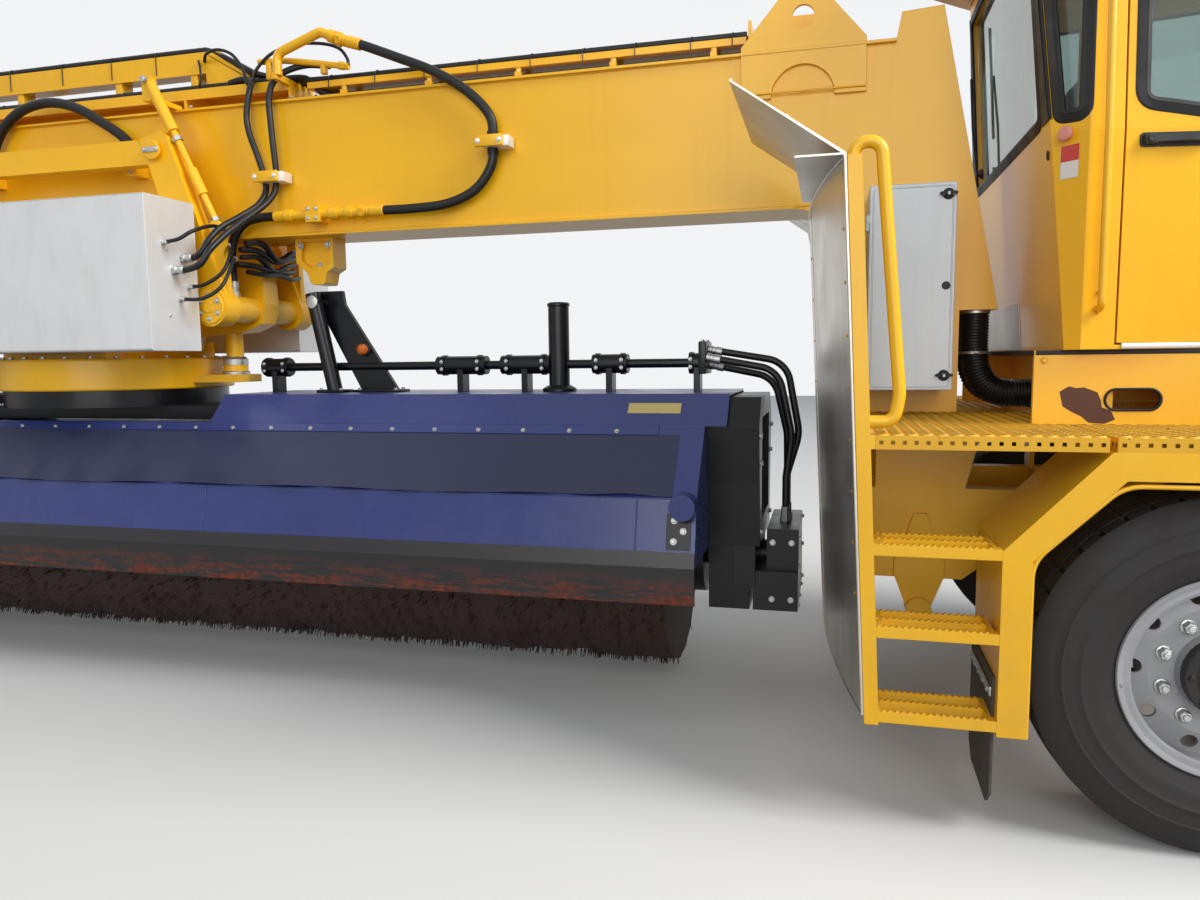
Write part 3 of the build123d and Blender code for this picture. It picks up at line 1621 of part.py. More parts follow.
# End frames: posts, bearing plates and drive boxes at both ends of the head
shaft_radius = 60
with BuildPart() as end_frames:
    for way in (-1, 1):
        x_low, x_high = sorted((way * hood_half_length, way * head_end))
        cross_plate(
            [
                (-280, 1330),
                (280, 1330),
                (388, 1212),
                (334, 960),
                (300, 690),
                (290, 410),
                (-290, 410),
                (-300, 690),
                (-334, 960),
                (-388, 1212),
            ],
            x_low,
            x_high,
        )
        # weight-saving cut-out, lower plates and the brush drive in its guard
        x_low, x_high = sorted((way * (hood_half_length - 1), way * (head_end + 1)))
        block(x_low, x_high, -215, 215, 790, 1240, Mode.SUBTRACT)
        x_low, x_high = sorted((way * (head_end - 45), way * (head_end + 1)))
        block(x_low, x_high, -340, 340, 400, 690, Mode.SUBTRACT)
        x_low, x_high = sorted((way * (head_end - 30), way * (head_end + 160)))
        block(x_low, x_high, -290, 290, 410, 580)
        x_low, x_high = sorted((way * (head_end + 25), way * (head_end + 160)))
        block(x_low, x_high, -250, 250, 575, 760)
        for side in (-1, 1):
            y_low, y_high = sorted((side * 288, side * 300))
            x_low, x_high = sorted((way * (head_end - 115), way * (head_end - 20)))
            block(x_low, x_high, y_low, y_high, 520, 690)
        rod(
            (way * (hood_half_length - 40), 0, brush_centre_z),
            (way * (head_end + 30), 0, brush_centre_z),
            shaft_radius,
        )
save(end_frames.part, "end_frames")

guide_z = 1475
guide_radius = 21
sleeve_radius = 45
guide_end = hood_half_length - 40
# x rear, x front of each sleeve, measured back from the tube's outer end
sleeves = [(2340, 2190), (1350, 1090), (1010, 760), (550, 380), (90, 10)]
post_x = guide_end - 720
with BuildPart() as guide_tube:
    for way in (-1, 1):
        rod((way * (guide_end - 2340), 0, guide_z), (way * guide_end, 0, guide_z), guide_radius)
        for far, near in sleeves:
            rod((way * (guide_end - far), 0, guide_z), (way * (guide_end - near), 0, guide_z), sleeve_radius)
            x_mid = way * (guide_end - (far + near) / 2)
            block(x_mid - 15, x_mid + 15, -40, 40, hood_folds[0][1], guide_z - 10)
        rod((way * post_x, 0, hood_folds[0][1]), (way * post_x, 0, 1750), 50)
        # leaning lock plate with its covered strut, which meet the bracket under the beam
        side_plate(
            [
                (way * 1500, hood_folds[0][1]),
                (way * 1705, hood_folds[0][1]),
                (way * 1415, 1790),
                (way * 1405, 1858),
                (way * 1275, 1858),
                (way * 1262, 1790),
            ],
            -12,
            12,
        )
        rod((way * 1268, -62, 1845), (way * 1375, -62, hood_folds[0][1]), 38)
        rod((way * 1290, -104, 1800), (way * 1290, 20, 1800), 22)
    # the struts end flat on the hood
    block(-1400, 1400, -110, -20, hood_folds[0][1] - 20, hood_folds[0][1], Mode.SUBTRACT)
save(guide_tube.part, "guide_tube")

with BuildPart() as brush_roller:
    with BuildSketch(Plane.YZ.offset(-brush_half_length)) as bristles:
        with Locations((0, brush_centre_z)):
            Circle(brush_radius)
            Circle(core_radius, mode=Mode.SUBTRACT)
    extrude(bristles.sketch, amount=2 * brush_half_length)
save(brush_roller.part, "brush_roller")

core_end = hood_half_length - 40 - fit_gap
with BuildPart() as brush_core:
    rod((-core_end, 0, brush_centre_z), (core_end, 0, brush_centre_z), core_radius - fit_gap)
save(brush_core.part, "brush_core")

# Hoses: two black ducts under the cab, the beam's hydraulic hoses and those of the brush drives
duct_radius = 56
duct_y = 75
duct_z = 1335
with BuildPart() as duct_hose:
    pipe(
        [
            (column_outer + 68, duct_y, 1680 - fit_gap),
            (column_outer + 68, duct_y, duct_z),
            (pedestal_rear - fit_gap, duct_y, duct_z),
        ],
        [170],
        duct_radius,
    )
    mirror(about=Plane.XZ)
save(duct_hose.part, "duct_hose")

pair_radius = 15
# x of the upright run, height over the tray, y and z of the fitting on the box, x of the last bend
hose_pair = [
    (1126, pair_radius + fit_gap, -500, 1990, 1000),
    (1174, 3 * pair_radius + 2 * fit_gap, -560, 1930, 1045),
]
with BuildPart() as beam_hoses:
    upper_z = tray_top + rack_hose_radius + fit_gap
    for hose_y in rack_hose_y:
        pipe(
            [
                (-tray_front + fit_gap, hose_y, upper_z),
                (tray_step_x + 55, hose_y, upper_z),
                (tray_step_x + 200, hose_y, rack_hose_z),
                (tray_front - fit_gap, hose_y, rack_hose_z),
            ],
            [120, 120],
            rack_hose_radius,
        )
    # the big loop from the elbow pipe down to the fitting on the web, and on to the linkage
    pipe(
        [
            loop_start + loop_way * fit_gap,
            loop_corner,
            (loop_corner.X, loop_y, loop_low_z),
            (1636 + fit_gap, loop_y, loop_low_z),
        ],
        [150, 240],
        loop_hose_radius,
    )
    pipe(
        [
            (1178 - fit_gap, loop_y, loop_low_z),
            (pivot_x, loop_y, loop_low_z),
            (pivot_x, loop_y, pivot_z + 65 + fit_gap),
        ],
        [130],
        loop_hose_radius,
    )
    # the loop behind the link arm
    pipe(
        [
            (-560, loop_y, 2520 + fit_gap),
            (-560, loop_y, 2690),
            (-390, loop_y, 2880),
            (150, loop_y, 2880),
            (360, loop_y, 2690),
            (360, loop_y, 2520 + fit_gap),
        ],
        [110, 170, 170, 110],
        25,
    )
    for run_x, above, end_y, end_z, bend_x in hose_pair:
        top_z = tray_top + above
        pipe(
            [
                (run_x - 260, -85, top_z),
                (run_x, -85, top_z),
                (run_x, loop_y, top_z),
                (run_x, loop_y, 2290),
                (bend_x, end_y, end_z + 110),
                (bend_x, end_y, end_z),
                (box_half + fit_gap, end_y, end_z),
            ],
            [40, 50, 80, 55, 60],
            pair_radius,
        )
save(beam_hoses.part, "beam_hoses")

head_hose_radius = 16
# y of the hose, how far beyond the end frame it swings, height of its upper bend
drive_hoses = [(-60, 118, 1500), (10, 150, 1535), (80, 92, 1465)]
with BuildPart() as head_hoses:
    for way in (-1, 1):
        for hose_y, reach, bend_z in drive_hoses:
            pipe(
                [
                    (way * (guide_end + fit_gap), hose_y, bend_z),
                    (way * (head_end + reach - 60), hose_y, bend_z - 60),
                    (way * (head_end + reach), hose_y, 1150),
                    (way * (head_end + 95), hose_y, 960),
                    (way * (head_end + 95), hose_y, 760 + fit_gap),
                ],
                [120, 200, 150],
                head_hose_radius,
            )
save(head_hoses.part, "head_hoses")
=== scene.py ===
import bpy
import bmesh
import math
import random
from mathutils import Matrix, Vector


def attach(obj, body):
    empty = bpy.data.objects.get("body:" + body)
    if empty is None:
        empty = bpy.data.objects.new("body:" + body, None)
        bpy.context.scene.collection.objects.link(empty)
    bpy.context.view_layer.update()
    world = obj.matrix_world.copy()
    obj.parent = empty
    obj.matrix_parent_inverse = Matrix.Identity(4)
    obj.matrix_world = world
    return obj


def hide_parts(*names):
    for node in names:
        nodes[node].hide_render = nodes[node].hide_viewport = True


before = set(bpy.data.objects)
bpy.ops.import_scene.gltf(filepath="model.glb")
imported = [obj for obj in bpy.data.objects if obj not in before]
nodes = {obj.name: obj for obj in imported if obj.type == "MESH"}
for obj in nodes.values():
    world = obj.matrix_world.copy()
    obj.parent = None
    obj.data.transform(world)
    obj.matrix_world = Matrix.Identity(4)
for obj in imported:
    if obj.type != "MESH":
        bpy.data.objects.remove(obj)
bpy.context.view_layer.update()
random.seed(7)
print("stage: frame loaded")

# Camera and light

view = {
    "place": (3.808, -4.015, 1.50),  # metres, where the photograph was taken from
    "yaw": 14.8,  # degrees to the left of straight across the machine
    "pitch": 6.0,  # degrees down
    "roll": -0.7,
    "focalPixels": 870,
    "pictureWidth": 1200,
    "sensor": 36.0,
}
studio = {
    "floorColor": "#D9D8D4",
    "floorBounce": "#6E6E70",
    "floorSize": 60.0,
    "keyPower": 2800,
    "fillPower": 1600,
    "rimPower": 900,
    "worldColor": "#E3ECF8",
    "worldStrength": 0.48,
}


def hexColor(code, alpha=1.0):
    # sRGB hex to the linear values that the shaders take
    channels = []
    for i in (1, 3, 5):
        c = int(code[i:i + 2], 16) / 255
        channels.append(c / 12.92 if c <= 0.04045 else ((c + 0.055) / 1.055) ** 2.4)
    return (*channels, alpha)


def addNode(tree, kind, inputs=None, **settings):
    # one node with its settings; an input is a value or another node's output
    node = tree.nodes.new(kind)
    for key, value in settings.items():
        setattr(node, key, value)
    for key, value in (inputs or {}).items():
        if isinstance(value, bpy.types.NodeSocket):
            tree.links.new(value, node.inputs[key])
        else:
            node.inputs[key].default_value = value
    return node


def startMaterial(name):
    material = bpy.data.materials.new(name)
    material.use_nodes = True
    tree = material.node_tree
    tree.nodes.clear()
    shader = addNode(tree, "ShaderNodeBsdfPrincipled")
    output = addNode(tree, "ShaderNodeOutputMaterial")
    tree.links.new(shader.outputs[0], output.inputs[0])
    return material, tree, shader


def stretched(tree, size):
    # object coordinates in units of the given size in metres, one for each axis
    place = addNode(tree, "ShaderNodeTexCoord").outputs["Object"]
    scale = tuple(1 / s for s in size)
    return addNode(tree, "ShaderNodeMapping", {"Vector": place, "Scale": scale}).outputs[0]


def spread(tree, size, low, high, detail=4.0, rough=0.55):
    # noise of the given size, sharpened between two levels, from 0 to 1
    noise = addNode(
        tree, "ShaderNodeTexNoise",
        {"Vector": stretched(tree, size), "Scale": 1.0, "Detail": detail, "Roughness": rough},
    )
    ramp = addNode(
        tree, "ShaderNodeMapRange", {"Value": noise.outputs[0], "From Min": low, "From Max": high}
    )
    return ramp.outputs[0]


def blendColors(tree, amount, first, second):
    # amount of the second colour over the first, each a colour or a socket
    return addNode(
        tree, "ShaderNodeMix", {0: amount, 6: first, 7: second}, data_type="RGBA"
    ).outputs[2]


def scaled(tree, value, factor, plus=0.0):
    return addNode(
        tree, "ShaderNodeMath", {0: value, 1: factor, 2: plus}, operation="MULTIPLY_ADD"
    ).outputs[0]


def raised(tree, height, distance, normal=None):
    inputs = {"Height": height, "Distance": distance, "Strength": 1.0}
    if normal:
        inputs["Normal"] = normal
    return addNode(tree, "ShaderNodeBump", inputs).outputs[0]


def roundedEdges(tree, radius):
    # light catches a folded or cut plate along its edges
    return addNode(tree, "ShaderNodeBevel", {"Radius": radius}, samples=3).outputs[0]


def facingUp(tree, low, high):
    # 1 where a surface looks at the sky, 0 where it stands upright
    normal = addNode(tree, "ShaderNodeNewGeometry").outputs["Normal"]
    up = addNode(tree, "ShaderNodeSeparateXYZ", {0: normal}).outputs[2]
    return addNode(tree, "ShaderNodeMapRange", {"Value": up, "From Min": low, "From Max": high}).outputs[0]


def lowDown(tree, high, low):
    # 1 at the lower height, fading to 0 at the upper one
    place = addNode(tree, "ShaderNodeTexCoord").outputs["Object"]
    height = addNode(tree, "ShaderNodeSeparateXYZ", {0: place}).outputs[2]
    return addNode(tree, "ShaderNodeMapRange", {"Value": height, "From Min": high, "From Max": low}).outputs[0]


def product(tree, first, second):
    return addNode(tree, "ShaderNodeMath", {0: first, 1: second}, operation="MULTIPLY").outputs[0]


def enamelOnSteel(name, base, worn, dust, gloss, rustLevel=0.74, dustAmount=0.35, mirrorLevel=0.42):
    # sprayed alkyd enamel on welded plate: even colour, faint orange peel, chips that rust, road dust
    material, tree, shader = startMaterial(name)
    fade = spread(tree, (0.9, 0.9, 0.5), 0.35, 0.7)
    color = blendColors(tree, scaled(tree, fade, 0.45), hexColor(base), hexColor(worn))
    runs = spread(tree, (0.05, 0.05, 0.6), 0.52, 0.8)
    color = blendColors(tree, scaled(tree, runs, 0.22), color, hexColor(worn))
    settled = product(tree, facingUp(tree, 0.3, 0.95), spread(tree, (0.25, 0.25, 0.25), 0.3, 0.75))
    splashed = product(tree, lowDown(tree, 1.1, 0.2), spread(tree, (0.12, 0.12, 0.12), 0.35, 0.8))
    grime = addNode(tree, "ShaderNodeMath", {0: settled, 1: splashed}, operation="MAXIMUM").outputs[0]
    color = blendColors(tree, scaled(tree, grime, dustAmount), color, hexColor(dust))
    chips = spread(tree, (0.035, 0.035, 0.035), rustLevel, rustLevel + 0.02, 8.0, 0.65)
    color = blendColors(tree, chips, color, hexColor("#5E3216"))
    tree.links.new(color, shader.inputs["Base Color"])
    rough = scaled(tree, grime, 0.3, gloss)
    rough = addNode(tree, "ShaderNodeMath", {0: rough, 1: scaled(tree, chips, 0.8)}, operation="MAXIMUM")
    tree.links.new(rough.outputs[0], shader.inputs["Roughness"])
    shader.inputs["Specular IOR Level"].default_value = mirrorLevel
    shader.inputs["Coat Weight"].default_value = 0.12
    shader.inputs["Coat Roughness"].default_value = 0.12
    peel = spread(tree, (0.006, 0.006, 0.006), 0.2, 0.8, 2.0)  # orange peel, drawn at 6 mm so that it shows
    tree.links.new(raised(tree, peel, 0.00012, roundedEdges(tree, 0.004)), shader.inputs["Normal"])
    return material


def sheetMetal(name, base, dark, grain, rough, roughVary, smudge=0.3, metallic=1.0):
    # rolled sheet: fine grain one way, soft cloudy reflections, finger and water marks
    material, tree, shader = startMaterial(name)
    lines = spread(tree, grain, 0.3, 0.7, 3.0)
    clouds = spread(tree, (0.5, 0.5, 0.5), 0.35, 0.75)
    marks = spread(tree, (0.09, 0.09, 0.35), 0.5, 0.8)
    color = blendColors(tree, scaled(tree, clouds, 0.5), hexColor(base), hexColor(dark))
    color = blendColors(tree, scaled(tree, marks, smudge), color, hexColor("#8A7B63"))
    tree.links.new(color, shader.inputs["Base Color"])
    shader.inputs["Metallic"].default_value = metallic
    roughness = scaled(tree, clouds, roughVary, rough)
    tree.links.new(roughness, shader.inputs["Roughness"])
    tree.links.new(raised(tree, lines, 0.00005, roundedEdges(tree, 0.002)), shader.inputs["Normal"])
    return material


def rubberSheet(name, base, dust, rough, grainSize, bumpDepth, dustAmount):
    # moulded or extruded rubber: deep grey, greyer where dust lies
    material, tree, shader = startMaterial(name)
    film = spread(tree, (0.1, 0.1, 0.1), 0.35, 0.75)
    low = lowDown(tree, 1.4, 0.1)
    amount = scaled(
        tree, addNode(tree, "ShaderNodeMath", {0: film, 1: low}, operation="MULTIPLY_ADD").outputs[0],
        dustAmount
    )
    color = blendColors(tree, amount, hexColor(base), hexColor(dust))
    tree.links.new(color, shader.inputs["Base Color"])
    tree.links.new(scaled(tree, film, 0.2, rough), shader.inputs["Roughness"])
    grain = spread(tree, (grainSize, grainSize, grainSize), 0.2, 0.8, 3.0)
    tree.links.new(raised(tree, grain, bumpDepth), shader.inputs["Normal"])
    shader.inputs["Specular IOR Level"].default_value = 0.35
    return material


def tyreRubber():
    return rubberSheet("tyreRubber", "#19181A", "#4A453F", 0.62, 0.004, 0.0003, 0.3)


def hoseRubber():
    return rubberSheet("hoseRubber", "#0D0D0F", "#2C2A2A", 0.34, 0.003, 0.00015, 0.12)


def flapRubber():
    return rubberSheet("flapRubber", "#3A3430", "#6C6258", 0.75, 0.006, 0.0005, 0.45)


def sealRubber():
    return rubberSheet("sealRubber", "#111112", "#2C2B2A", 0.5, 0.003, 0.0001, 0.1)


def headlampGlass():
    # clear moulded lens with upright flutes
    material, tree, shader = startMaterial("headlampGlass")
    flutes = addNode(
        tree, "ShaderNodeTexWave", {"Vector": stretched(tree, (0.012, 0.012, 0.012)), "Scale": 1.0},
        bands_direction="Y",
    ).outputs["Fac"]
    tree.links.new(
        blendColors(tree, scaled(tree, flutes, 0.2), hexColor("#E9EDEE"), hexColor("#C9D0D2")),
        shader.inputs["Base Color"],
    )
    shader.inputs["Transmission Weight"].default_value = 0.6
    shader.inputs["Roughness"].default_value = 0.08
    tree.links.new(raised(tree, flutes, 0.0006), shader.inputs["Normal"])
    return material


def rustySkirt():
    # black steel strip along the hood's lower edge, paint flaking to orange rust
    material, tree, shader = startMaterial("rustySkirt")
    flakes = product(tree, spread(tree, (0.22, 0.12, 0.03), 0.46, 0.56, 8.0, 0.7), lowDown(tree, 0.66, 0.52))
    film = spread(tree, (0.5, 0.2, 0.1), 0.3, 0.8)
    color = blendColors(tree, scaled(tree, film, 0.5), hexColor("#101115"), hexColor("#241F20"))
    rust = blendColors(tree, spread(tree, (0.03, 0.03, 0.03), 0.3, 0.7), hexColor("#8A3A18"), hexColor("#3A1C10"))
    color = blendColors(tree, flakes, color, rust)
    tree.links.new(color, shader.inputs["Base Color"])
    tree.links.new(scaled(tree, flakes, 0.5, 0.38), shader.inputs["Roughness"])
    tree.links.new(raised(tree, flakes, 0.0006), shader.inputs["Normal"])
    return material


def bristleFibre():
    # polypropylene and steel wire tufts, brown with rust and grit
    material, tree, shader = startMaterial("bristleFibre")
    strands = spread(tree, (0.004, 0.02, 0.02), 0.3, 0.7)
    bands = spread(tree, (0.3, 0.2, 0.2), 0.3, 0.7)
    color = blendColors(tree, strands, hexColor("#160E0E"), hexColor("#43291E"))
    color = blendColors(tree, scaled(tree, bands, 0.5), color, hexColor("#2A1A17"))
    tree.links.new(color, shader.inputs["Base Color"])
    shader.inputs["Roughness"].default_value = 0.75
    tree.links.new(raised(tree, strands, 0.002), shader.inputs["Normal"])
    return material


def cabGlass():
    # green-tinted toughened glass with a little dust
    material, tree, shader = startMaterial("cabGlass")
    film = spread(tree, (0.3, 0.3, 0.2), 0.4, 0.8)
    tree.links.new(
        blendColors(tree, scaled(tree, film, 0.25), hexColor("#B9CBC8"), hexColor("#A6A79D")),
        shader.inputs["Base Color"],
    )
    shader.inputs["Transmission Weight"].default_value = 0.92
    shader.inputs["IOR"].default_value = 1.45
    tree.links.new(scaled(tree, film, 0.06, 0.01), shader.inputs["Roughness"])
    return material


def amberLens():
    # ribbed polycarbonate lens
    material, tree, shader = startMaterial("amberLens")
    ribs = addNode(
        tree, "ShaderNodeTexWave", {"Vector": stretched(tree, (0.02, 0.02, 0.02)), "Scale": 1.0},
        bands_direction="Z",
    ).outputs["Fac"]
    tree.links.new(
        blendColors(tree, scaled(tree, ribs, 0.3), hexColor("#F2780C"), hexColor("#C24E06")),
        shader.inputs["Base Color"],
    )
    shader.inputs["Transmission Weight"].default_value = 0.35
    shader.inputs["Roughness"].default_value = 0.12
    tree.links.new(raised(tree, ribs, 0.0008), shader.inputs["Normal"])
    return material


def redLens():
    # red polycarbonate of the tail lamps
    material, tree, shader = startMaterial("redLens")
    ribs = addNode(
        tree, "ShaderNodeTexWave", {"Vector": stretched(tree, (0.008, 0.008, 0.008)), "Scale": 1.0},
        bands_direction="Y",
    ).outputs["Fac"]
    tree.links.new(
        blendColors(tree, scaled(tree, ribs, 0.35), hexColor("#B3121A"), hexColor("#7C0C12")),
        shader.inputs["Base Color"],
    )
    shader.inputs["Roughness"].default_value = 0.14
    tree.links.new(raised(tree, ribs, 0.0005), shader.inputs["Normal"])
    return material


def seatCloth():
    # woven seat cover, threads about 1 mm, drawn at 4 mm so that they show
    material, tree, shader = startMaterial("seatCloth")
    weave = addNode(
        tree, "ShaderNodeTexChecker", {"Vector": stretched(tree, (0.004, 0.004, 0.004)), "Scale": 1.0}
    ).outputs["Fac"]
    tree.links.new(
        blendColors(tree, scaled(tree, weave, 0.5), hexColor("#4A4C50"), hexColor("#33353A")),
        shader.inputs["Base Color"],
    )
    shader.inputs["Roughness"].default_value = 0.9
    shader.inputs["Sheen Weight"].default_value = 0.3
    tree.links.new(raised(tree, weave, 0.0004), shader.inputs["Normal"])
    return material


finishes = {
    # the machine's own colour, a warm traffic yellow
    "yellow": enamelOnSteel("yellowEnamel", "#F6BA0C", "#E2A30E", "#B3985A", 0.34),
    # walked-on yellow: dull, dusty and rubbed
    "grating": enamelOnSteel("yellowGrating", "#E6AC12", "#BE8A12", "#8E7C58", 0.5, 0.66, 0.5),
    # equipment cabinet: light grey powder coat, finely pebbled
    "grey": enamelOnSteel("powderCoatedGrey", "#CBD3D8", "#B3BBC0", "#A39C8C", 0.34, 0.8, 0.12),
    # brush hood: dark blue gloss, dusted on top and rusting low down
    "navy": enamelOnSteel("navyEnamel", "#293676", "#1B2450", "#666B82", 0.24, 0.72, 0.24),
    # end frames and drive boxes: black gloss with dust and chips
    "black": enamelOnSteel("blackEnamel", "#08090C", "#0E0F14", "#2E2C2A", 0.3, 0.74, 0.2, 0.25),
    # axles, springs and engine: semi-matt black with road film
    "chassis": enamelOnSteel("chassisBlack", "#161617", "#242220", "#62594C", 0.55, 0.66, 0.7, 0.3),
    # pressed steel wheel in silver lacquer, brake dust in the corners
    "silver": enamelOnSteel("silverWheelPaint", "#A4A4A6", "#8A8988", "#615950", 0.36, 0.69, 0.45),
    # spray shield and flaps: 1.4301 sheet with a ground finish, stained by splashed water
    "stainless": sheetMetal("brushedStainless", "#C9C3B8", "#9C958A", (0.3, 0.3, 0.0015), 0.3, 0.18),
    # hydraulic boxes: bare aluminium plate gone pale and matt outdoors
    "aluminium": sheetMetal("anodisedAluminium", "#E2E2E0", "#CBCCCC", (0.004, 0.4, 0.004), 0.42, 0.12, 0.12, 0.35),
    # tubes, clamps and fasteners: dull zinc with a faint spangle
    "zinc": sheetMetal("zincPlatedSteel", "#B9BAB8", "#8E908F", (0.01, 0.01, 0.01), 0.38, 0.15, 0.2),
    "tyre": tyreRubber(),
    "hose": hoseRubber(),
    "flap": flapRubber(),
    "seal": sealRubber(),
    # ABS mouldings: console, mirror backs
    "plastic": rubberSheet("grainedPlastic", "#222427", "#45433F", 0.5, 0.002, 0.0002, 0.15),
    "skirt": rustySkirt(),
    "bristle": bristleFibre(),
    "glass": cabGlass(),
    "amber": amberLens(),
    "cloth": seatCloth(),
    # rubber-coated canvas over the hood's middle panel: slate blue with grey bloom
    "apron": rubberSheet("apronRubber", "#232A47", "#454A60", 0.34, 0.005, 0.0002, 0.35),
    # blank vinyl label, yellowed and scuffed
    "label": enamelOnSteel("agedLabel", "#C9B872", "#A89A62", "#8C8466", 0.4, 0.8, 0.3),
    # push button in red ABS, faded by the sun
    "red": enamelOnSteel("redPlastic", "#C93A30", "#D65A50", "#A87870", 0.42, 0.9, 0.1),
    # dyed nylon strap round the hose duct
    "teal": rubberSheet("tealBand", "#0E7F78", "#2F6F6A", 0.45, 0.003, 0.0002, 0.15),
    # hard-chromed rods: bright and nearly smooth
    "chrome": sheetMetal("chromedSteel", "#DADCDD", "#C4C6C8", (0.02, 0.02, 0.02), 0.12, 0.08, 0.1),
    # silvered glass of the rear-view mirrors
    "mirror": sheetMetal("mirrorGlass", "#E6E9EA", "#DADEDF", (0.4, 0.4, 0.4), 0.03, 0.04, 0.05),
    "headlamp": headlampGlass(),
    # the same button after years of sun: chalky pink
    "fadedRed": enamelOnSteel("fadedButton", "#D98C78", "#E2A892", "#B9A08E", 0.55, 0.9, 0.1),
    # blank sticker, slightly yellowed
    "whiteVinyl": enamelOnSteel("whiteVinyl", "#E6E2DA", "#CFC9BC", "#A79E8C", 0.38, 0.85, 0.15),
    # red-brown primer with rust coming through where the yellow has flaked off
    "primer": enamelOnSteel("barePrimer", "#5C3F33", "#6E4A38", "#7C5F4C", 0.8, 0.6, 0.4, 0.2),
    "redLens": redLens(),
    # dark instrument glass
    "dial": enamelOnSteel("dialGlass", "#101418", "#171B20", "#4A4A48", 0.12, 0.95, 0.15),
    # painted shade: dark brown on the walls of the anti-slip holes, standing in for the dark under the grating
    "holeShade": enamelOnSteel("paintedHoleShade", "#4A3A16", "#2A2110", "#3A3122", 0.8, 0.6, 0.3, 0.2),
}

# Finish of each CAD piece, by the start of its name
nodeFinish = {
    "gooseneck_beam": "yellow",
    "front_frame": "yellow",
    "rear_frame": "yellow",
    "spray_shields": "stainless",
    "deflector_flaps": "stainless",
    "cable_tray": "yellow",
    "slew_hanger": "yellow",
    "hydraulic_boxes": "aluminium",
    "lock_arm": "yellow",
    "fenders": "yellow",
    "walkways": "grating",
    "ladders": "yellow",
    "mudflaps": "flap",
    "equipment_cabinet": "grey",
    "cabinet_door": "grey",
    "axles": "chassis",
    "leaf_springs": "chassis",
    "knuckle": "chassis",
    "cab_shell": "yellow",
    "cab_door": "yellow",
    "cab_roof": "yellow",
    "cab_glass": "glass",
    "door_glass": "glass",
    "driver_seat": "cloth",
    "steering_console": "plastic",
    "front_bumper": "yellow",
    "plough_plate": "black",
    "lamps": "amber",
    "mirrors": "plastic",
    "engine_hood": "yellow",
    "engine_door": "yellow",
    "engine_block": "chassis",
    "grilles": "black",
    "exhaust_stack": "zinc",
    "blower": "zinc",
    "blast_nozzle": "stainless",
    "duct_hose": "hose",
    "beam_hoses": "hose",
    "head_hoses": "hose",
    "tyre": "tyre",
    "rim": "silver",
    "slew_frame": "black",
    "brush_hood": "navy",
    "hood_skirts": "skirt",
    "end_frames": "black",
    "guide_tube": "black",
    "brush_roller": "bristle",
    "brush_core": "black",
}
for name, obj in nodes.items():
    start = max((key for key in nodeFinish if name.startswith(key)), key=len)
    obj.data.materials.clear()
    obj.data.materials.append(finishes[nodeFinish[start]])
print("stage: finishes on the CAD pieces")


# Making pieces; each piece takes the finish that it names


def newPiece(name, mesh, finish, body="chassis", smoothAngle=35):
    # the finished mesh as an object that rides on a CAD body
    bmesh.ops.recalc_face_normals(mesh, faces=mesh.faces[:])
    data = bpy.data.meshes.new(name)
    mesh.to_mesh(data)
    mesh.free()
    data.materials.append(finishes[finish])
    data.shade_smooth()
    data.set_sharp_from_angle(angle=math.radians(smoothAngle))
    obj = bpy.data.objects.new(name, data)
    bpy.context.scene.collection.objects.link(obj)
    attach(obj, body)
    return obj


def addRings(mesh, rings, closed=False, capped=True):
    # joins rings of points, each with the same number of points, into a skin
    rows = [[mesh.verts.new(p) for p in ring] for ring in rings]
    pairs = list(zip(rows, rows[1:]))
    if closed:
        pairs.append((rows[-1], rows[0]))
    for first, second in pairs:
        for i in range(len(first)):
            j = (i + 1) % len(first)
            mesh.faces.new((first[i], first[j], second[j], second[i]))
    if capped and not closed:
        mesh.faces.new(rows[0])
        mesh.faces.new(list(reversed(rows[-1])))


def addTurned(mesh, start, way, profile, sides=24):
    # turned about the line from start along way: (distance along, radius) pairs
    start, way = Vector(start), Vector(way).normalized()
    across = way.orthogonal().normalized()
    up = way.cross(across)
    rings = []
    for along, radius in profile:
        rings.append([
            start + way * along + (across * math.cos(a) + up * math.sin(a)) * radius
            for a in (2 * math.pi * i / sides for i in range(sides))
        ])
    addRings(mesh, rings)


def addBlock(mesh, low, high, ease=0.0, turn=None):
    # a block between two corners, its edges eased; turn is (axis, degrees) about its middle
    low, high = Vector(low), Vector(high)
    middle, size = (low + high) / 2, high - low
    matrix = Matrix.Translation(middle)
    if turn:
        matrix = matrix @ Matrix.Rotation(math.radians(turn[1]), 4, turn[0])
    made = bmesh.ops.create_cube(mesh, size=1.0, matrix=matrix @ Matrix.Diagonal((*size, 1)))["verts"]
    if ease:
        edges = list({edge for v in made for edge in v.link_edges})
        bmesh.ops.bevel(mesh, geom=edges, offset=ease, segments=2, affect="EDGES", profile=0.5)


def addPrism(mesh, outline, push):
    # a flat outline pushed through its thickness
    push = Vector(push)
    first = [Vector(p) for p in outline]
    addRings(mesh, [first, [p + push for p in first]])


def addSweep(mesh, points, radius, sides=12, closed=False):
    # a round bar along points, turned as little as possible from one to the next
    points = [Vector(p) for p in points]
    count = len(points)
    across = None
    rings = []
    for i, p in enumerate(points):
        before = points[(i - 1) % count] if closed or i else p
        after = points[(i + 1) % count] if closed or i < count - 1 else p
        way = (after - before).normalized()
        across = (across - way * across.dot(way)).normalized() if across else way.orthogonal().normalized()
        up = way.cross(across)
        rings.append([
            p + (across * math.cos(a) + up * math.sin(a)) * radius
            for a in (2 * math.pi * k / sides for k in range(sides))
        ])
    addRings(mesh, rings, closed)


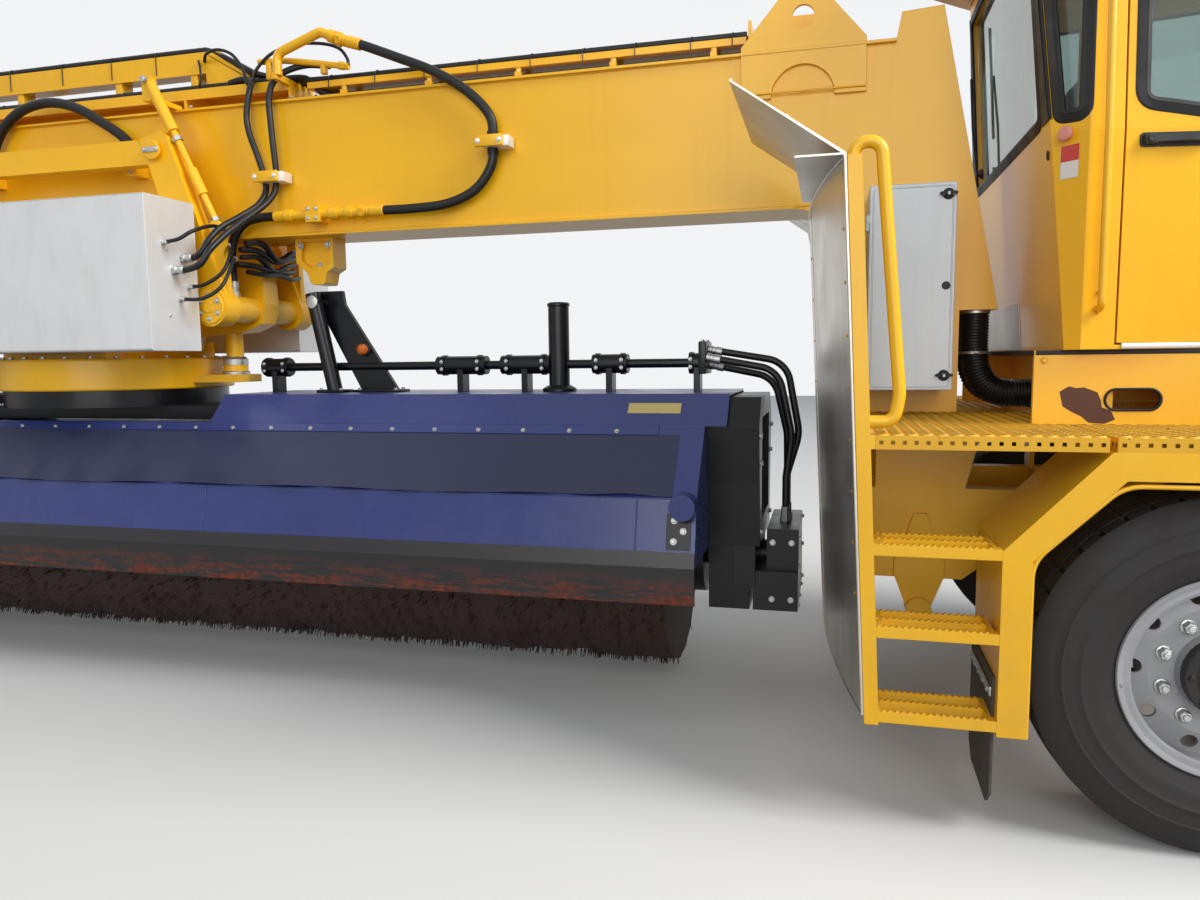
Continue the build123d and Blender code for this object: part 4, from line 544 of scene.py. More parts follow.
def softLine(points, steps=8):
    # a smooth line through points
    points = [Vector(p) for p in points]
    padded = [points[0] * 2 - points[1], *points, points[-1] * 2 - points[-2]]
    line = []
    for a, b, c, d in zip(padded, padded[1:], padded[2:], padded[3:]):
        for k in range(steps):
            t = k / steps
            line.append(
                ((b * 2) + (c - a) * t + (a * 2 - b * 5 + c * 4 - d) * t * t
                 + (b * 3 - a - c * 3 + d) * t ** 3) / 2
            )
    return line + [points[-1]]


def roundedLoop(points, radius, steps=5):
    # a closed outline with its corners rounded
    points = [Vector(p) for p in points]
    loop = []
    for i, p in enumerate(points):
        back = (points[i - 1] - p).normalized()
        ahead = (points[(i + 1) % len(points)] - p).normalized()
        start, end = p + back * radius, p + ahead * radius
        for k in range(steps + 1):
            t = k / steps
            loop.append(start * (1 - t) ** 2 + p * 2 * t * (1 - t) + end * t ** 2)
    return loop


def addTrim(mesh, loop, facing, section):
    # a moulding along a closed loop; section is (across, proud) pairs, facing the way out
    facing = Vector(facing).normalized()
    count = len(loop)
    rings = []
    for i, p in enumerate(loop):
        way = (loop[(i + 1) % count] - loop[i - 1]).normalized()
        across = way.cross(facing).normalized()
        rings.append([p + across * a + facing * b for a, b in section])
    addRings(mesh, rings, closed=True)


def addBolt(mesh, place, way, size=0.012, washer=True):
    # hex head with its washer; size is half the width over the corners
    if washer:
        addTurned(mesh, place, way, [(0, size * 1.45), (size * 0.25, size * 1.4)], 14)
    addTurned(mesh, place, way, [
        (0, size), (size * 0.95, size), (size * 1.1, size * 0.82),
    ], 6)


def addFitting(mesh, place, way, hose):
    # crimped hose end: ferrule, swivel nut and adapter, from the hose towards the port
    addTurned(mesh, place, way, [
        (0, hose * 1.02), (0.004, hose * 1.28), (hose * 1.6, hose * 1.28), (hose * 1.7, hose * 1.14),
        (hose * 2.2, hose * 1.14), (hose * 2.3, hose * 1.28), (hose * 2.7, hose * 1.25),
    ], 16)
    addTurned(mesh, Vector(place) + Vector(way).normalized() * hose * 2.6, way, [
        (0, hose * 1.45), (hose * 1.1, hose * 1.45), (hose * 1.25, hose * 1.3),
    ], 6)


# Wheels

wheel = {
    "places": {
        "front_left": (4.95, 1), "front_right": (4.95, -1),
        "rear_left": (-4.95, 1), "rear_right": (-4.95, -1),
    },
    "middle": 1.0375,  # tyre centre from the machine's middle
    "radius": 0.55,
    "treadHalf": 0.15,
    "ribs": (-0.15, -0.098, -0.088, -0.036, -0.026, 0.026, 0.036, 0.088, 0.098, 0.15),
    "blocks": 44,
    "studCircle": 0.1675,
    "studs": 10,
    "face": 0.0955,  # disc face outward of the tyre's centre
    "hubFace": 0.155,
}


def tyreSection():
    # (offset, radius, notched) from the inner bead round the tread to the outer bead
    ridge = [
        (0.150, 0.2885), (0.151, 0.300), (0.158, 0.304), (0.164, 0.312), (0.171, 0.326), (0.178, 0.343),
        (0.1815, 0.350), (0.1830, 0.352), (0.1850, 0.372), (0.1885, 0.392), (0.1905, 0.400), (0.1922, 0.402),
        (0.1924, 0.408), (0.1912, 0.410), (0.1910, 0.430), (0.1888, 0.452), (0.1902, 0.454), (0.1898, 0.459),
        (0.1875, 0.461), (0.1830, 0.482), (0.1745, 0.503), (0.1690, 0.514), (0.1650, 0.522), (0.1600, 0.531),
        (0.1530, 0.5405),
    ]
    points = [(-y, r, 0) for y, r in ridge]
    ribs = wheel["ribs"]
    for i in range(0, len(ribs), 2):
        left, right = ribs[i], ribs[i + 1]
        notch = 2 if i in (0, 8) else 1
        for y in (left, left + 0.004, right - 0.004, right):
            top = wheel["radius"] - 0.008 * (y / wheel["treadHalf"]) ** 2 - 0.0006
            sunk = 0.002 if y in (left, right) else 0.0
            points.append((y, top - sunk, notch))
        if i + 2 < len(ribs):
            deep = wheel["radius"] - 0.017
            points.append((right + 0.002, deep, 0))
            points.append((ribs[i + 2] - 0.002, deep, 0))
    return points + [(y, r, 0) for y, r in reversed(ridge)]


def makeTyre(corner, axleX, side):
    mesh = bmesh.new()
    section = tyreSection()
    rings = []
    step = 2 * math.pi / wheel["blocks"]
    for block in range(wheel["blocks"]):
        for share, sunk in ((0.0, 0), (0.8, 0), (0.83, 1), (0.97, 1)):
            angle = (block + share) * step
            ring = []
            for y, r, notch in section:
                depth = (0, 0.0035, 0.010)[notch] * sunk
                lag = 0.05 * step * abs(y) / 0.15 * (1 if notch else 0)
                a = angle + lag * (1 if y > 0 else -1)
                ring.append((
                    axleX + (r - depth) * math.cos(a),
                    side * (wheel["middle"] + y),
                    wheel["radius"] + (r - depth) * math.sin(a),
                ))
            rings.append(ring)
    rows = [[mesh.verts.new(p) for p in ring] for ring in rings]
    for first, second in zip(rows, rows[1:] + rows[:1]):
        for i in range(len(first) - 1):
            mesh.faces.new((first[i], first[i + 1], second[i + 1], second[i]))
    for first, second in zip(rows, rows[1:] + rows[:1]):
        mesh.faces.new((first[-1], first[0], second[0], second[-1]))
    tyre = newPiece("treadedTyre_" + corner, mesh, "tyre", "wheel_" + corner, smoothAngle=40)
    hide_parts("tyre_" + corner)


def makeWheelFittings(corner, axleX, side):
    middle = Vector((axleX, side * wheel["middle"], wheel["radius"]))
    out = Vector((0, side, 0))
    nuts = bmesh.new()
    for i in range(wheel["studs"]):
        a = 2 * math.pi * (i + 0.5) / wheel["studs"]
        spot = middle + Vector((math.cos(a), 0, math.sin(a))) * wheel["studCircle"] + out * wheel["face"]
        addTurned(nuts, spot, out, [(0, 0.0225), (0.004, 0.0225), (0.006, 0.0195)], 18)
        addTurned(nuts, spot, out, [(0.004, 0.0188), (0.026, 0.0188), (0.029, 0.0160)], 6)
        addTurned(nuts, spot, out, [(0.02, 0.0105), (0.036, 0.0105), (0.038, 0.0085)], 12)
    newPiece("wheelNuts_" + corner, nuts, "zinc", "wheel_" + corner)
    hub = bmesh.new()
    face = middle + out * wheel["hubFace"]
    addTurned(hub, face, out, [(-0.03, 0.124), (0.004, 0.124), (0.008, 0.119), (0.008, 0.092), (0.004, 0.088)], 40)
    addTurned(hub, face, out, [(0, 0.082), (0.011, 0.080), (0.0125, 0.074), (0.0125, 0.03), (0.010, 0.026)], 36)
    for i in range(8):
        a = 2 * math.pi * i / 8
        addBolt(hub, face + Vector((math.cos(a), 0, math.sin(a))) * 0.106 + out * 0.0078, out, 0.0085, False)
    newPiece("hubCover_" + corner, hub, "chassis", "wheel_" + corner)
    ring = bmesh.new()
    addTurned(ring, middle, out, [
        (0.1500, 0.262), (0.1500, 0.2865), (0.1625, 0.3020), (0.1668, 0.3045), (0.1690, 0.3020),
        (0.1650, 0.2900), (0.1560, 0.2760), (0.1540, 0.262),
    ], 64)
    for face in [f for f in ring.faces if len(f.verts) > 4]:
        ring.faces.remove(face)
    stem = middle + Vector((0.235, 0, 0.06)) + out * 0.105
    addTurned(
        ring, stem, (0.45, side * 0.9, 0), [(0, 0.0055), (0.03, 0.0055), (0.031, 0.0045), (0.045, 0.0045)], 10
    )
    newPiece("rimEdge_" + corner, ring, "silver", "wheel_" + corner)


for corner, (axleX, side) in wheel["places"].items():
    makeTyre(corner, axleX, side)
    makeWheelFittings(corner, axleX, side)
print("stage: wheels")

# Brush: tufts of bristle round the roller

brush = {
    "centre": 0.60,
    "halfLength": 3.15,
    "coreRadius": 0.505,
    "tipRadius": 0.5385,
    "tufts": 15000,
    "rowPitch": 0.075,  # gap between the wound rows
}


def makeBristles():
    drum = bmesh.new()
    steps = 84
    sides = 60
    rings = []
    for k in range(steps + 1):
        x = -brush["halfLength"] + 0.004 + k * 2 * (brush["halfLength"] - 0.004) / steps
        swell = 0.006 * math.sin(k * 1.9) + 0.004 * math.sin(k * 0.7 + 1)
        rings.append([
            (
                x,
                (brush["coreRadius"] + swell + random.uniform(-0.008, 0.008)) * math.cos(a),
                brush["centre"] + (brush["coreRadius"] + swell + random.uniform(-0.008, 0.008)) * math.sin(a),
            )
            for a in (2 * math.pi * i / sides for i in range(sides))
        ])
    inner = [
        [(r[0], r[1] * 0.38, brush["centre"] + (r[2] - brush["centre"]) * 0.38) for r in ring]
        for ring in (rings[0], rings[-1])
    ]
    addRings(drum, [inner[0], *rings, inner[1]], capped=False)
    verts, faces = [], []
    for i in range(brush["tufts"]):
        x = random.uniform(-1, 1) * (brush["halfLength"] - 0.012)
        x = round(x / brush["rowPitch"]) * brush["rowPitch"] * 0.5 + x * 0.5
        a = random.uniform(0, 2 * math.pi)
        lean = random.uniform(-0.05, 0.03)
        tip = brush["tipRadius"] - abs(random.gauss(0, 0.006))
        wide = random.uniform(0.003, 0.0075)
        drift = random.uniform(-0.014, 0.014)
        root = Vector((x, 0.47 * math.cos(a), brush["centre"] + 0.47 * math.sin(a)))
        end = Vector((
            max(-brush["halfLength"], min(brush["halfLength"], x + drift)),
            tip * math.cos(a + lean), brush["centre"] + tip * math.sin(a + lean),
        ))
        turn = random.uniform(0, math.pi)
        tangent = Vector((math.cos(turn), -math.sin(a) * math.sin(turn), math.cos(a) * math.sin(turn)))
        radial = Vector((0, math.cos(a), math.sin(a)))
        other = radial.cross(tangent)
        first = len(verts)
        for spot, width in ((root, wide), (end, wide * 0.32)):
            verts += [
                spot + tangent * width,
                spot - tangent * width * 0.5 + other * width * 0.87,
                spot - tangent * width * 0.5 - other * width * 0.87,
            ]
        for k in range(3):
            j = (k + 1) % 3
            faces.append((first + k, first + j, first + 3 + j, first + 3 + k))
        faces.append((first + 3, first + 4, first + 5))
    tufts = bpy.data.meshes.new("tufts")
    tufts.from_pydata(verts, [], faces)
    drum.from_mesh(tufts)
    bpy.data.meshes.remove(tufts)
    drumPiece = newPiece("bristleTufts", drum, "bristle", "brush_roller", smoothAngle=60)
    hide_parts("brush_roller")


makeBristles()
print("stage: brush")

# Hood over the brush

hood = {
    "half": 3.31,
    "folds": ((0.300, 1.345), (0.420, 1.215), (0.650, 0.945), (0.720, 0.680)),
    "boltPitch": 0.21,
    "waves": 46,
}


def onHood(facet, share, x, side, proud=0.0):
    # a point on one of the hood's three panels, from its upper fold down
    (y0, z0), (y1, z1) = hood["folds"][facet], hood["folds"][facet + 1]
    y, z = y0 + (y1 - y0) * share, z0 + (z1 - z0) * share
    length = math.hypot(y1 - y0, z1 - z0)
    ny, nz = (z0 - z1) / length, (y1 - y0) / length
    return Vector((x, side * (y + ny * proud), z + nz * proud))


def hoodNormal(facet, side):
    return onHood(facet, 0, 0, side, 1.0) - onHood(facet, 0, 0, side)


def makeHoodDetails():
    bolts = bmesh.new()
    for side in (-1, 1):
        for k in range(-14, 15):
            spot = onHood(1, 0.095, k * hood["boltPitch"], side, 0.0062)
            addBolt(bolts, spot, hoodNormal(1, side), 0.0075)
        for end in (-1, 1):
            for x, share in ((3.225, 0.32), (3.225, 0.62), (3.262, 0.47)):
                addBolt(bolts, onHood(2, share, end * x, side, 0.0055), hoodNormal(2, side), 0.0095)
    newPiece("hoodBolts", bolts, "zinc", "brush_head")
    brackets = bmesh.new()
    for side in (-1, 1):
        for end in (-1, 1):
            x0, x1 = end * 3.195, end * 3.292
            outline = [
                onHood(2, 0.22, x0, side, 0.001), onHood(2, 0.22, x1, side, 0.001),
                onHood(2, 0.74, x1, side, 0.001), onHood(2, 0.74, x0, side, 0.001),
            ]
            addPrism(brackets, outline, hoodNormal(2, side) * 0.005)
    newPiece("hoodEndPlates", brackets, "black", "brush_head")
    # rubber apron bolted under the strip: it lies on the second panel and its edge waves over the fold
    apron = bmesh.new()
    columns = 240
    for side in (-1, 1):
        grid = []
        for i in range(columns + 1):
            x = -hood["half"] + 0.1 + i * (2 * hood["half"] - 0.2) / columns
            wave = math.sin(x * 5.1) * math.sin(x * 1.7 + 1)
            ripple = math.sin(x * hood["waves"] * 0.42 + math.sin(x * 3) * 2)
            endLift = max(0.0, abs(x) - 2.9) / 0.35
            low = 1.0 + 0.022 * wave + 0.012 * ripple - 0.05 * endLift * (1 + ripple)
            column = []
            for k in range(9):
                share = 0.13 + (low - 0.13) * k / 8
                lift = 0.0022 + 0.0016 * (k / 8) ** 3 * (1.3 + wave) + 0.009 * (k / 8) ** 5 * (1 + ripple)
                column.append(onHood(1, share, x, side, lift))
            grid.append(column)
        top = [[apron.verts.new(p) for p in column] for column in grid]
        under = [[apron.verts.new(p - hoodNormal(1, side) * 0.0015) for p in column] for column in grid]
        for rows in (top, under):
            for first, second in zip(rows, rows[1:]):
                for k in range(8):
                    apron.faces.new((first[k], first[k + 1], second[k + 1], second[k]))
        for first, second, lowFirst, lowSecond in zip(top, top[1:], under, under[1:]):
            for k in (0, 8):
                apron.faces.new((first[k], second[k], lowSecond[k], lowFirst[k]))
    newPiece("hoodApron", apron, "apron", "brush_head", smoothAngle=50)
    # pressed seams and the folded hem along each lower edge, welded joints between the panels
    seams = bmesh.new()
    for side in (-1, 1):
        for x in (-3.07, -1.05, 1.05, 3.07):
            line = [onHood(2, s, x, side, 0.0006) for s in (0.03, 0.25, 0.5, 0.75, 0.97)]
            addSweep(seams, line, 0.0035, 8)
        hem = [onHood(2, 0.985, x, side, 0.001) for x in (-3.3, -1, 1, 3.3)]
        addSweep(seams, hem, 0.006, 8)
        for facet in (0, 1):
            fold = [onHood(facet, 1.0, x, side, -0.002) for x in (-3.3, 0, 3.3)]
            addSweep(seams, fold, 0.004, 8)
    newPiece("hoodSeams", seams, "navy", "brush_head", smoothAngle=60)
    plate = bmesh.new()
    addPrism(plate, [
        onHood(0, 0.30, 2.97, -1, 0.0006), onHood(0, 0.30, 3.20, -1, 0.0006),
        onHood(0, 0.62, 3.20, -1, 0.0006), onHood(0, 0.62, 2.97, -1, 0.0006),
    ], hoodNormal(0, -1) * 0.0012)
    newPiece("blankPlate", plate, "label", "brush_head")


makeHoodDetails()
print("stage: hood")

# Guide tube, lock plate and drive ends on the brush head

headFittings = {
    "tubeEnd": 3.27,
    "sleeves": ((2.34, 2.19), (1.35, 1.09), (1.01, 0.76), (0.55, 0.38), (0.09, 0.01)),
    "headEnd": 3.53,
    "hoses": ((-0.060, 0.118, 1.500), (0.010, 0.150, 1.535), (0.080, 0.092, 1.465)),
}


def makeHeadFittings():
    clamps = bmesh.new()
    bolts = bmesh.new()
    for way in (-1, 1):
        for far, near in headFittings["sleeves"]:
            for share in (0.14, 0.86):
                x = way * (headFittings["tubeEnd"] - far + (far - near) * share)
                addTurned(clamps, (x - 0.011, 0, 1.475), (1, 0, 0), [
                    (0, 0.045), (0.001, 0.0505), (0.021, 0.0505), (0.022, 0.045),
                ], 32)
                for up in (-1, 1):
                    addBolt(bolts, (x, -0.048, 1.475 + up * 0.018), (0, -1, 0), 0.0065)
        postX = way * (headFittings["tubeEnd"] - 0.72)
        addTurned(
            clamps, (postX, 0, 1.748), (0, 0, 1), [(0, 0.05), (0.004, 0.0545), (0.014, 0.0545), (0.02, 0.046)],
            32
        )
        addTurned(
            clamps, (postX, 0, 1.346), (0, 0, 1), [(0, 0.082), (0.012, 0.082), (0.016, 0.078), (0.03, 0.052)],
            32
        )
        for k in range(6):
            a = math.pi * k / 3
            addBolt(bolts, (postX + 0.068 * math.cos(a), 0.068 * math.sin(a), 1.357), (0, 0, 1), 0.007)
        # hose manifold on the tube's end
        addBlock(clamps, (way * 3.252 - 0.018, -0.095, 1.425), (way * 3.252 + 0.0165, 0.112, 1.572), 0.006)
        for y, _, z in headFittings["hoses"]:
            addTurned(bolts, (way * 3.268, y, z), (way, 0, -0.2), [
                (0, 0.021), (0.016, 0.021), (0.018, 0.0185), (0.032, 0.0185), (0.034, 0.0205), (0.062, 0.0205),
                (0.064, 0.017),
            ], 16)
            addTurned(bolts, (way * (headFittings["headEnd"] + 0.095), y, 0.761), (0, 0, 1), [
                (0, 0.026), (0.018, 0.026), (0.02, 0.021), (0.065, 0.0205), (0.068, 0.0165),
            ], 6)
        for y in (-0.07, 0.09):
            addBolt(bolts, (way * 3.252, y, 1.5715), (0, 0, 1), 0.008)
        # drive guard: bolted lids, and rust-proofed bolt heads down its front
        for y in (-0.235, 0.235):
            for z in (0.60, 0.735):
                addBolt(bolts, (way * (headFittings["headEnd"] + 0.1598), y, z), (way, 0, 0), 0.009)
        for y in (-0.265, -0.1, 0.1, 0.265):
            addBolt(bolts, (way * (headFittings["headEnd"] + 0.1598), y, 0.435), (way, 0, 0), 0.009)
        for x in (0.05, 0.13):
            for side in (-1, 1):
                addBolt(bolts, (way * (headFittings["headEnd"] + x), side * 0.2898, 0.46), (0, side, 0), 0.009)
                addBolt(bolts, (way * (headFittings["headEnd"] + x), side * 0.2498, 0.70), (0, side, 0), 0.009)
        for side in (-1, 1):
            for y, z in ((0.30, 1.05), (0.345, 1.17), (0.27, 0.75)):
                addBolt(bolts, (way * headFittings["headEnd"], side * y, z), (way, 0, 0), 0.011)
        # lock plate: pin with its retaining ring, bolted foot
        addTurned(
            bolts, (way * 1.290, -0.104, 1.80), (0, -1, 0),
            [(0, 0.022), (0.002, 0.032), (0.008, 0.032), (0.012, 0.02)], 20
        )
        addTurned(bolts, (way * 1.290, 0.019, 1.80), (0, 1, 0), [(0, 0.032), (0.007, 0.032), (0.012, 0.02)], 20)
        addBlock(clamps, (way * 1.60 - 0.13, -0.06, 1.345), (way * 1.60 + 0.13, 0.06, 1.358), 0.003)
        addBlock(clamps, (way * 1.375 - 0.075, -0.12, 1.345), (way * 1.375 + 0.075, -0.015, 1.360), 0.003)
        for dx in (-0.1, 0.1):
            for y in (-0.04, 0.04):
                addBolt(bolts, (way * 1.60 + dx, y, 1.3575), (0, 0, 1), 0.009)
        for dx in (-0.055, 0.055):
            addBolt(bolts, (way * 1.375 + dx, -0.105, 1.3595), (0, 0, 1), 0.008)
    newPiece("headClamps", clamps, "black", "brush_head")
    newPiece("headBolts", bolts, "zinc", "brush_head")
    lamp = bmesh.new()
    addTurned(lamp, (1.52, -0.012, 1.56), (0, -1, 0), [(0, 0.034), (0.012, 0.034), (0.014, 0.03), (0.02, 0.03)], 28)
    newPiece("markerLampBase", lamp, "seal", "brush_head")
    lens = bmesh.new()
    addTurned(lens, (1.52, -0.030, 1.56), (0, -1, 0), [
        (0, 0.029), (0.012, 0.0285), (0.022, 0.025), (0.028, 0.018), (0.031, 0.008),
    ], 28)
    newPiece("markerLampLens", lens, "amber", "brush_head")


makeHeadFittings()
print("stage: head fittings")

# Beam, hoses and the hanger under it

beam = {
    "top": 2.775,
    "bottom": 2.12,
    "clipXs": (1.50, 1.95, 2.40, 2.85, 3.30),
}


def addWeld(mesh, points, radius=0.0035, step=0.035):
    # a weld bead: its width swells and shrinks with each pass of the rod
    points = [Vector(p) for p in points]
    line = []
    for a, b in zip(points, points[1:]):
        count = max(2, int((b - a).length / step))
        for k in range(count):
            line.append(a.lerp(b, k / count))
    line.append(points[-1])
    rings = []
    for i, p in enumerate(line):
        way = (line[min(i + 1, len(line) - 1)] - line[max(i - 1, 0)]).normalized()
        across = way.orthogonal().normalized()
        up = way.cross(across)
        r = radius * random.uniform(0.75, 1.25)
        rings.append(
            [p + (across * math.cos(a) + up * math.sin(a)) * r for a in (math.pi * k / 3 for k in range(6))]
        )
    addRings(mesh, rings)


def makeBeamDetails():
    welds = bmesh.new()
    for side in (-1, 1):
        for z in (beam["top"] - 0.0135, beam["bottom"] + 0.0135):
            addWeld(welds, [(-3.8, side * 0.1405, z), (3.8, side * 0.1405, z)], 0.0042)
        for way in (-1, 1):
            # along the foot of the lug plate
            addWeld(welds, [
                (way * 3.428, side * 0.1605, 2.60), (way * 3.932, side * 0.1605, 2.60),
            ], 0.004)
    newPiece("beamWelds", welds, "yellow", smoothAngle=80)
    bolts = bmesh.new()
    for x in beam["clipXs"]:
        for y in (-0.079, -0.026, 0.026, 0.079):
            addBolt(bolts, (x, y, 2.8165), (0, 0, 1), 0.0062)
    for x in (-3.28, -1.98, -0.68, 0.62, 1.2):
        for y in (-0.1, 0.1):
            addBolt(bolts, (x + 0.02, y, 2.8), (0, math.copysign(1, y), 0), 0.0065)
    for x, z in ((1.3655, 2.19), (1.4095, 2.19), (1.3655, 2.234), (1.4095, 2.234)):
        addBolt(bolts, (x, -0.2258, z), (0, -1, 0), 0.0065)
    for x0 in (-0.560, 0.360):
        addBolt(bolts, (x0, -0.2258, 2.472), (0, -1, 0), 0.008)
        addTurned(
            bolts, (x0, -0.19, 2.519), (0, 0, 1), [(0, 0.032), (0.024, 0.032), (0.026, 0.028), (0.058, 0.028)],
            6
        )
    newPiece("beamBolts", bolts, "zinc")
    bars = bmesh.new()
    backs = bmesh.new()
    for x0, half, z in ((1.150, 0.068, 2.397), (2.311, 0.066, 2.481)):
        addBlock(bars, (x0 - half, -0.2485, z - 0.0255), (x0 + half, -0.2315, z + 0.0255), 0.003)
        addBlock(backs, (x0 - half + 0.03, -0.2305, z - 0.0245), (x0 + half + 0.022, -0.150, z + 0.0225), 0.002)
        for dx in (-half + 0.014, half - 0.014):
            addBolt(backs, (x0 + dx, -0.2483, z), (0, -1, 0), 0.0085)
    newPiece("clampBars", bars, "yellow")
    newPiece("clampBacks", backs, "aluminium")
    ties = bmesh.new()
    for x in (1.35, 1.72, 2.17, 2.62, 3.08):
        for y in (-0.052, 0, 0.052):
            addTurned(
                ties, (x + y * 0.4, y, 2.796), (1, 0, 0),
                [(0, 0.0185), (0.0006, 0.0195), (0.0045, 0.0195), (0.005, 0.0185)], 16
            )
    for x in (-3.0, -2.2, -1.4, -0.6, 0.2, 0.9):
        for y in (-0.052, 0, 0.052):
            addTurned(
                ties, (x, y, 2.9023), (1, 0, 0),
                [(0, 0.0185), (0.0006, 0.0195), (0.0045, 0.0195), (0.005, 0.0185)], 16
            )
    newPiece("cableTies", ties, "plastic")


beamHose = {
    "loop": (
        (1.556, -0.19, 3.007), (1.66, -0.19, 2.975), (1.84, -0.19, 2.902), (2.03, -0.19, 2.82), (2.19, -0.19, 2.72),
        (2.30, -0.19, 2.60), (2.311, -0.19, 2.481), (2.30, -0.19, 2.38), (2.22, -0.19, 2.28), (2.08, -0.19, 2.225),
        (1.90, -0.19, 2.212), (1.76, -0.19, 2.212), (1.6363, -0.19, 2.212),
    ),
    "lower": (
        (1.1777, -0.19, 2.212), (1.08, -0.19, 2.212), (0.985, -0.19, 2.19), (0.92, -0.19, 2.12),
        (0.90, -0.19, 2.03),
        (0.90, -0.19, 1.93), (0.90, -0.19, 1.8353),
    ),
    "rearLoop": (
        (-0.56, -0.19, 2.5203), (-0.555, -0.19, 2.60), (-0.51, -0.19, 2.70), (-0.43, -0.19, 2.785),
        (-0.31, -0.19, 2.845), (-0.15, -0.19, 2.862), (0.01, -0.19, 2.825), (0.16, -0.19, 2.745),
        (0.29, -0.19, 2.66), (0.35, -0.19, 2.59), (0.36, -0.19, 2.5203),
    ),
    "pair": (
        (
            (0.866, -0.085, 2.9003), (0.93, -0.087, 2.9105), (0.99, -0.10, 2.90), (1.03, -0.142, 2.875),
            (1.043, -0.178, 2.82), (1.035, -0.19, 2.75), (1.032, -0.195, 2.68), (1.05, -0.198, 2.60),
            (1.085, -0.195, 2.50), (1.112, -0.19, 2.397), (1.118, -0.196, 2.33), (1.10, -0.24, 2.262),
            (1.06, -0.32, 2.20), (1.022, -0.41, 2.14), (1.0, -0.475, 2.075), (0.975, -0.50, 2.015),
            (0.925, -0.50, 1.991), (0.8673, -0.50, 1.99),
        ),
        (
            (1.434, -0.085, 2.9306), (1.33, -0.087, 2.945), (1.25, -0.10, 2.935), (1.195, -0.142, 2.895),
            (1.168, -0.178, 2.835), (1.158, -0.19, 2.76), (1.165, -0.195, 2.66), (1.172, -0.195, 2.55),
            (1.178, -0.192, 2.46), (1.178, -0.19, 2.397), (1.172, -0.20, 2.33), (1.15, -0.25, 2.262),
            (1.11, -0.35, 2.18), (1.075, -0.45, 2.10), (1.045, -0.53, 2.02), (1.015, -0.56, 1.955),
            (0.94, -0.56, 1.931), (0.8673, -0.56, 1.93),
        ),
    ),
    "small": (
        ((0.8673, -0.47, 1.86), (0.96, -0.47, 1.87), (1.03, -0.43, 1.93), (1.02, -0.36, 2.02), (0.97, -0.30, 2.06)),
        ((0.8673, -0.53, 1.80), (0.99, -0.53, 1.80), (1.06, -0.48, 1.86), (1.05, -0.38, 1.98), (1.0, -0.30, 2.0)),
        ((0.8673, -0.62, 2.05), (0.95, -0.62, 2.06), (1.00, -0.58, 2.10), (1.0, -0.45, 2.14), (0.98, -0.34, 2.14)),
    ),
}


def makeBeamHoses():
    lines = bmesh.new()
    addSweep(lines, softLine(beamHose["loop"]), 0.022, 18)
    addSweep(lines, softLine(beamHose["lower"]), 0.022, 18)
    addSweep(lines, softLine(beamHose["rearLoop"]), 0.025, 18)
    for route in beamHose["pair"]:
        addSweep(lines, softLine(route, 6), 0.015, 14)
    for route in beamHose["small"]:
        addSweep(lines, softLine(route), 0.009, 10)
    for y in (-0.052, 0, 0.052):
        addSweep(lines, softLine([
            (-3.4417, y, 2.9023), (-2.5, y, 2.901), (-1.3, y, 2.9025), (0, y, 2.9015), (1.0, y, 2.9023),
            (1.245, y, 2.9015), (1.31, y, 2.872), (1.37, y, 2.822), (1.44, y, 2.797), (1.5, y, 2.796),
            (2.2, y, 2.7962), (3.0, y, 2.796), (3.4417, y, 2.796),
        ], 5), 0.017, 14)
    hoses = newPiece("beamHoseLines", lines, "hose", smoothAngle=60)
    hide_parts("beam_hoses")
    ends = bmesh.new()
    addFitting(ends, (0.90, -0.19, 1.91), (0, 0, -1), 0.022)
    addFitting(ends, (-0.559, -0.19, 2.615), (-0.05, 0, -1), 0.025)
    addFitting(ends, (0.353, -0.19, 2.615), (0.05, 0, -1), 0.025)
    for route in beamHose["pair"]:
        addFitting(ends, Vector(route[-1]) + Vector((0.058, 0, 0)), (-1, 0, 0), 0.015)
    for route in beamHose["small"]:
        addFitting(ends, Vector(route[0]) + Vector((0.03, 0, 0)), (-1, 0, 0), 0.009)
        addFitting(ends, Vector(route[-1]), Vector(route[-1]) - Vector(route[-2]), 0.009)
    newPiece("hoseEnds", ends, "zinc")
    ferrules = bmesh.new()
    # painted ends: a long ferrule, a ringed neck and a swivel nut
    for spot, way in (((1.665, -0.19, 2.973), (-0.93, 0, 0.29)), ((1.755, -0.19, 2.212), (-1, 0, 0))):
        addTurned(ferrules, spot, way, [
            (0, 0.0225), (0.003, 0.0272), (0.070, 0.0272), (0.073, 0.0225), (0.078, 0.0225), (0.080, 0.0262),
            (0.087, 0.0262), (0.089, 0.0225), (0.094, 0.0225), (0.096, 0.0262), (0.103, 0.0262), (0.105, 0.022),
        ], 20)
        addTurned(
            ferrules, Vector(spot) + Vector(way).normalized() * 0.104, way,
            [(0, 0.0335), (0.020, 0.0335), (0.023, 0.029)], 6
        )
    addTurned(
        ferrules, (1.160, -0.19, 2.212), (1, 0, 0),
        [(0, 0.0225), (0.003, 0.0268), (0.05, 0.0268), (0.053, 0.022)], 20
    )
    newPiece("paintedFerrules", ferrules, "yellow")
    bands = bmesh.new()
    # worn sleeves where the loop passes its clamp
    addTurned(
        bands, (2.311, -0.19, 2.43), (0, 0, 1),
        [(0, 0.0225), (0.002, 0.0255), (0.026, 0.0255), (0.028, 0.0225)], 20
    )
    addTurned(
        bands, (2.311, -0.19, 2.505), (0, 0, 1),
        [(0, 0.0225), (0.002, 0.0255), (0.026, 0.0255), (0.028, 0.0225)], 20
    )
    newPiece("hoseSleeves", bands, "seal")


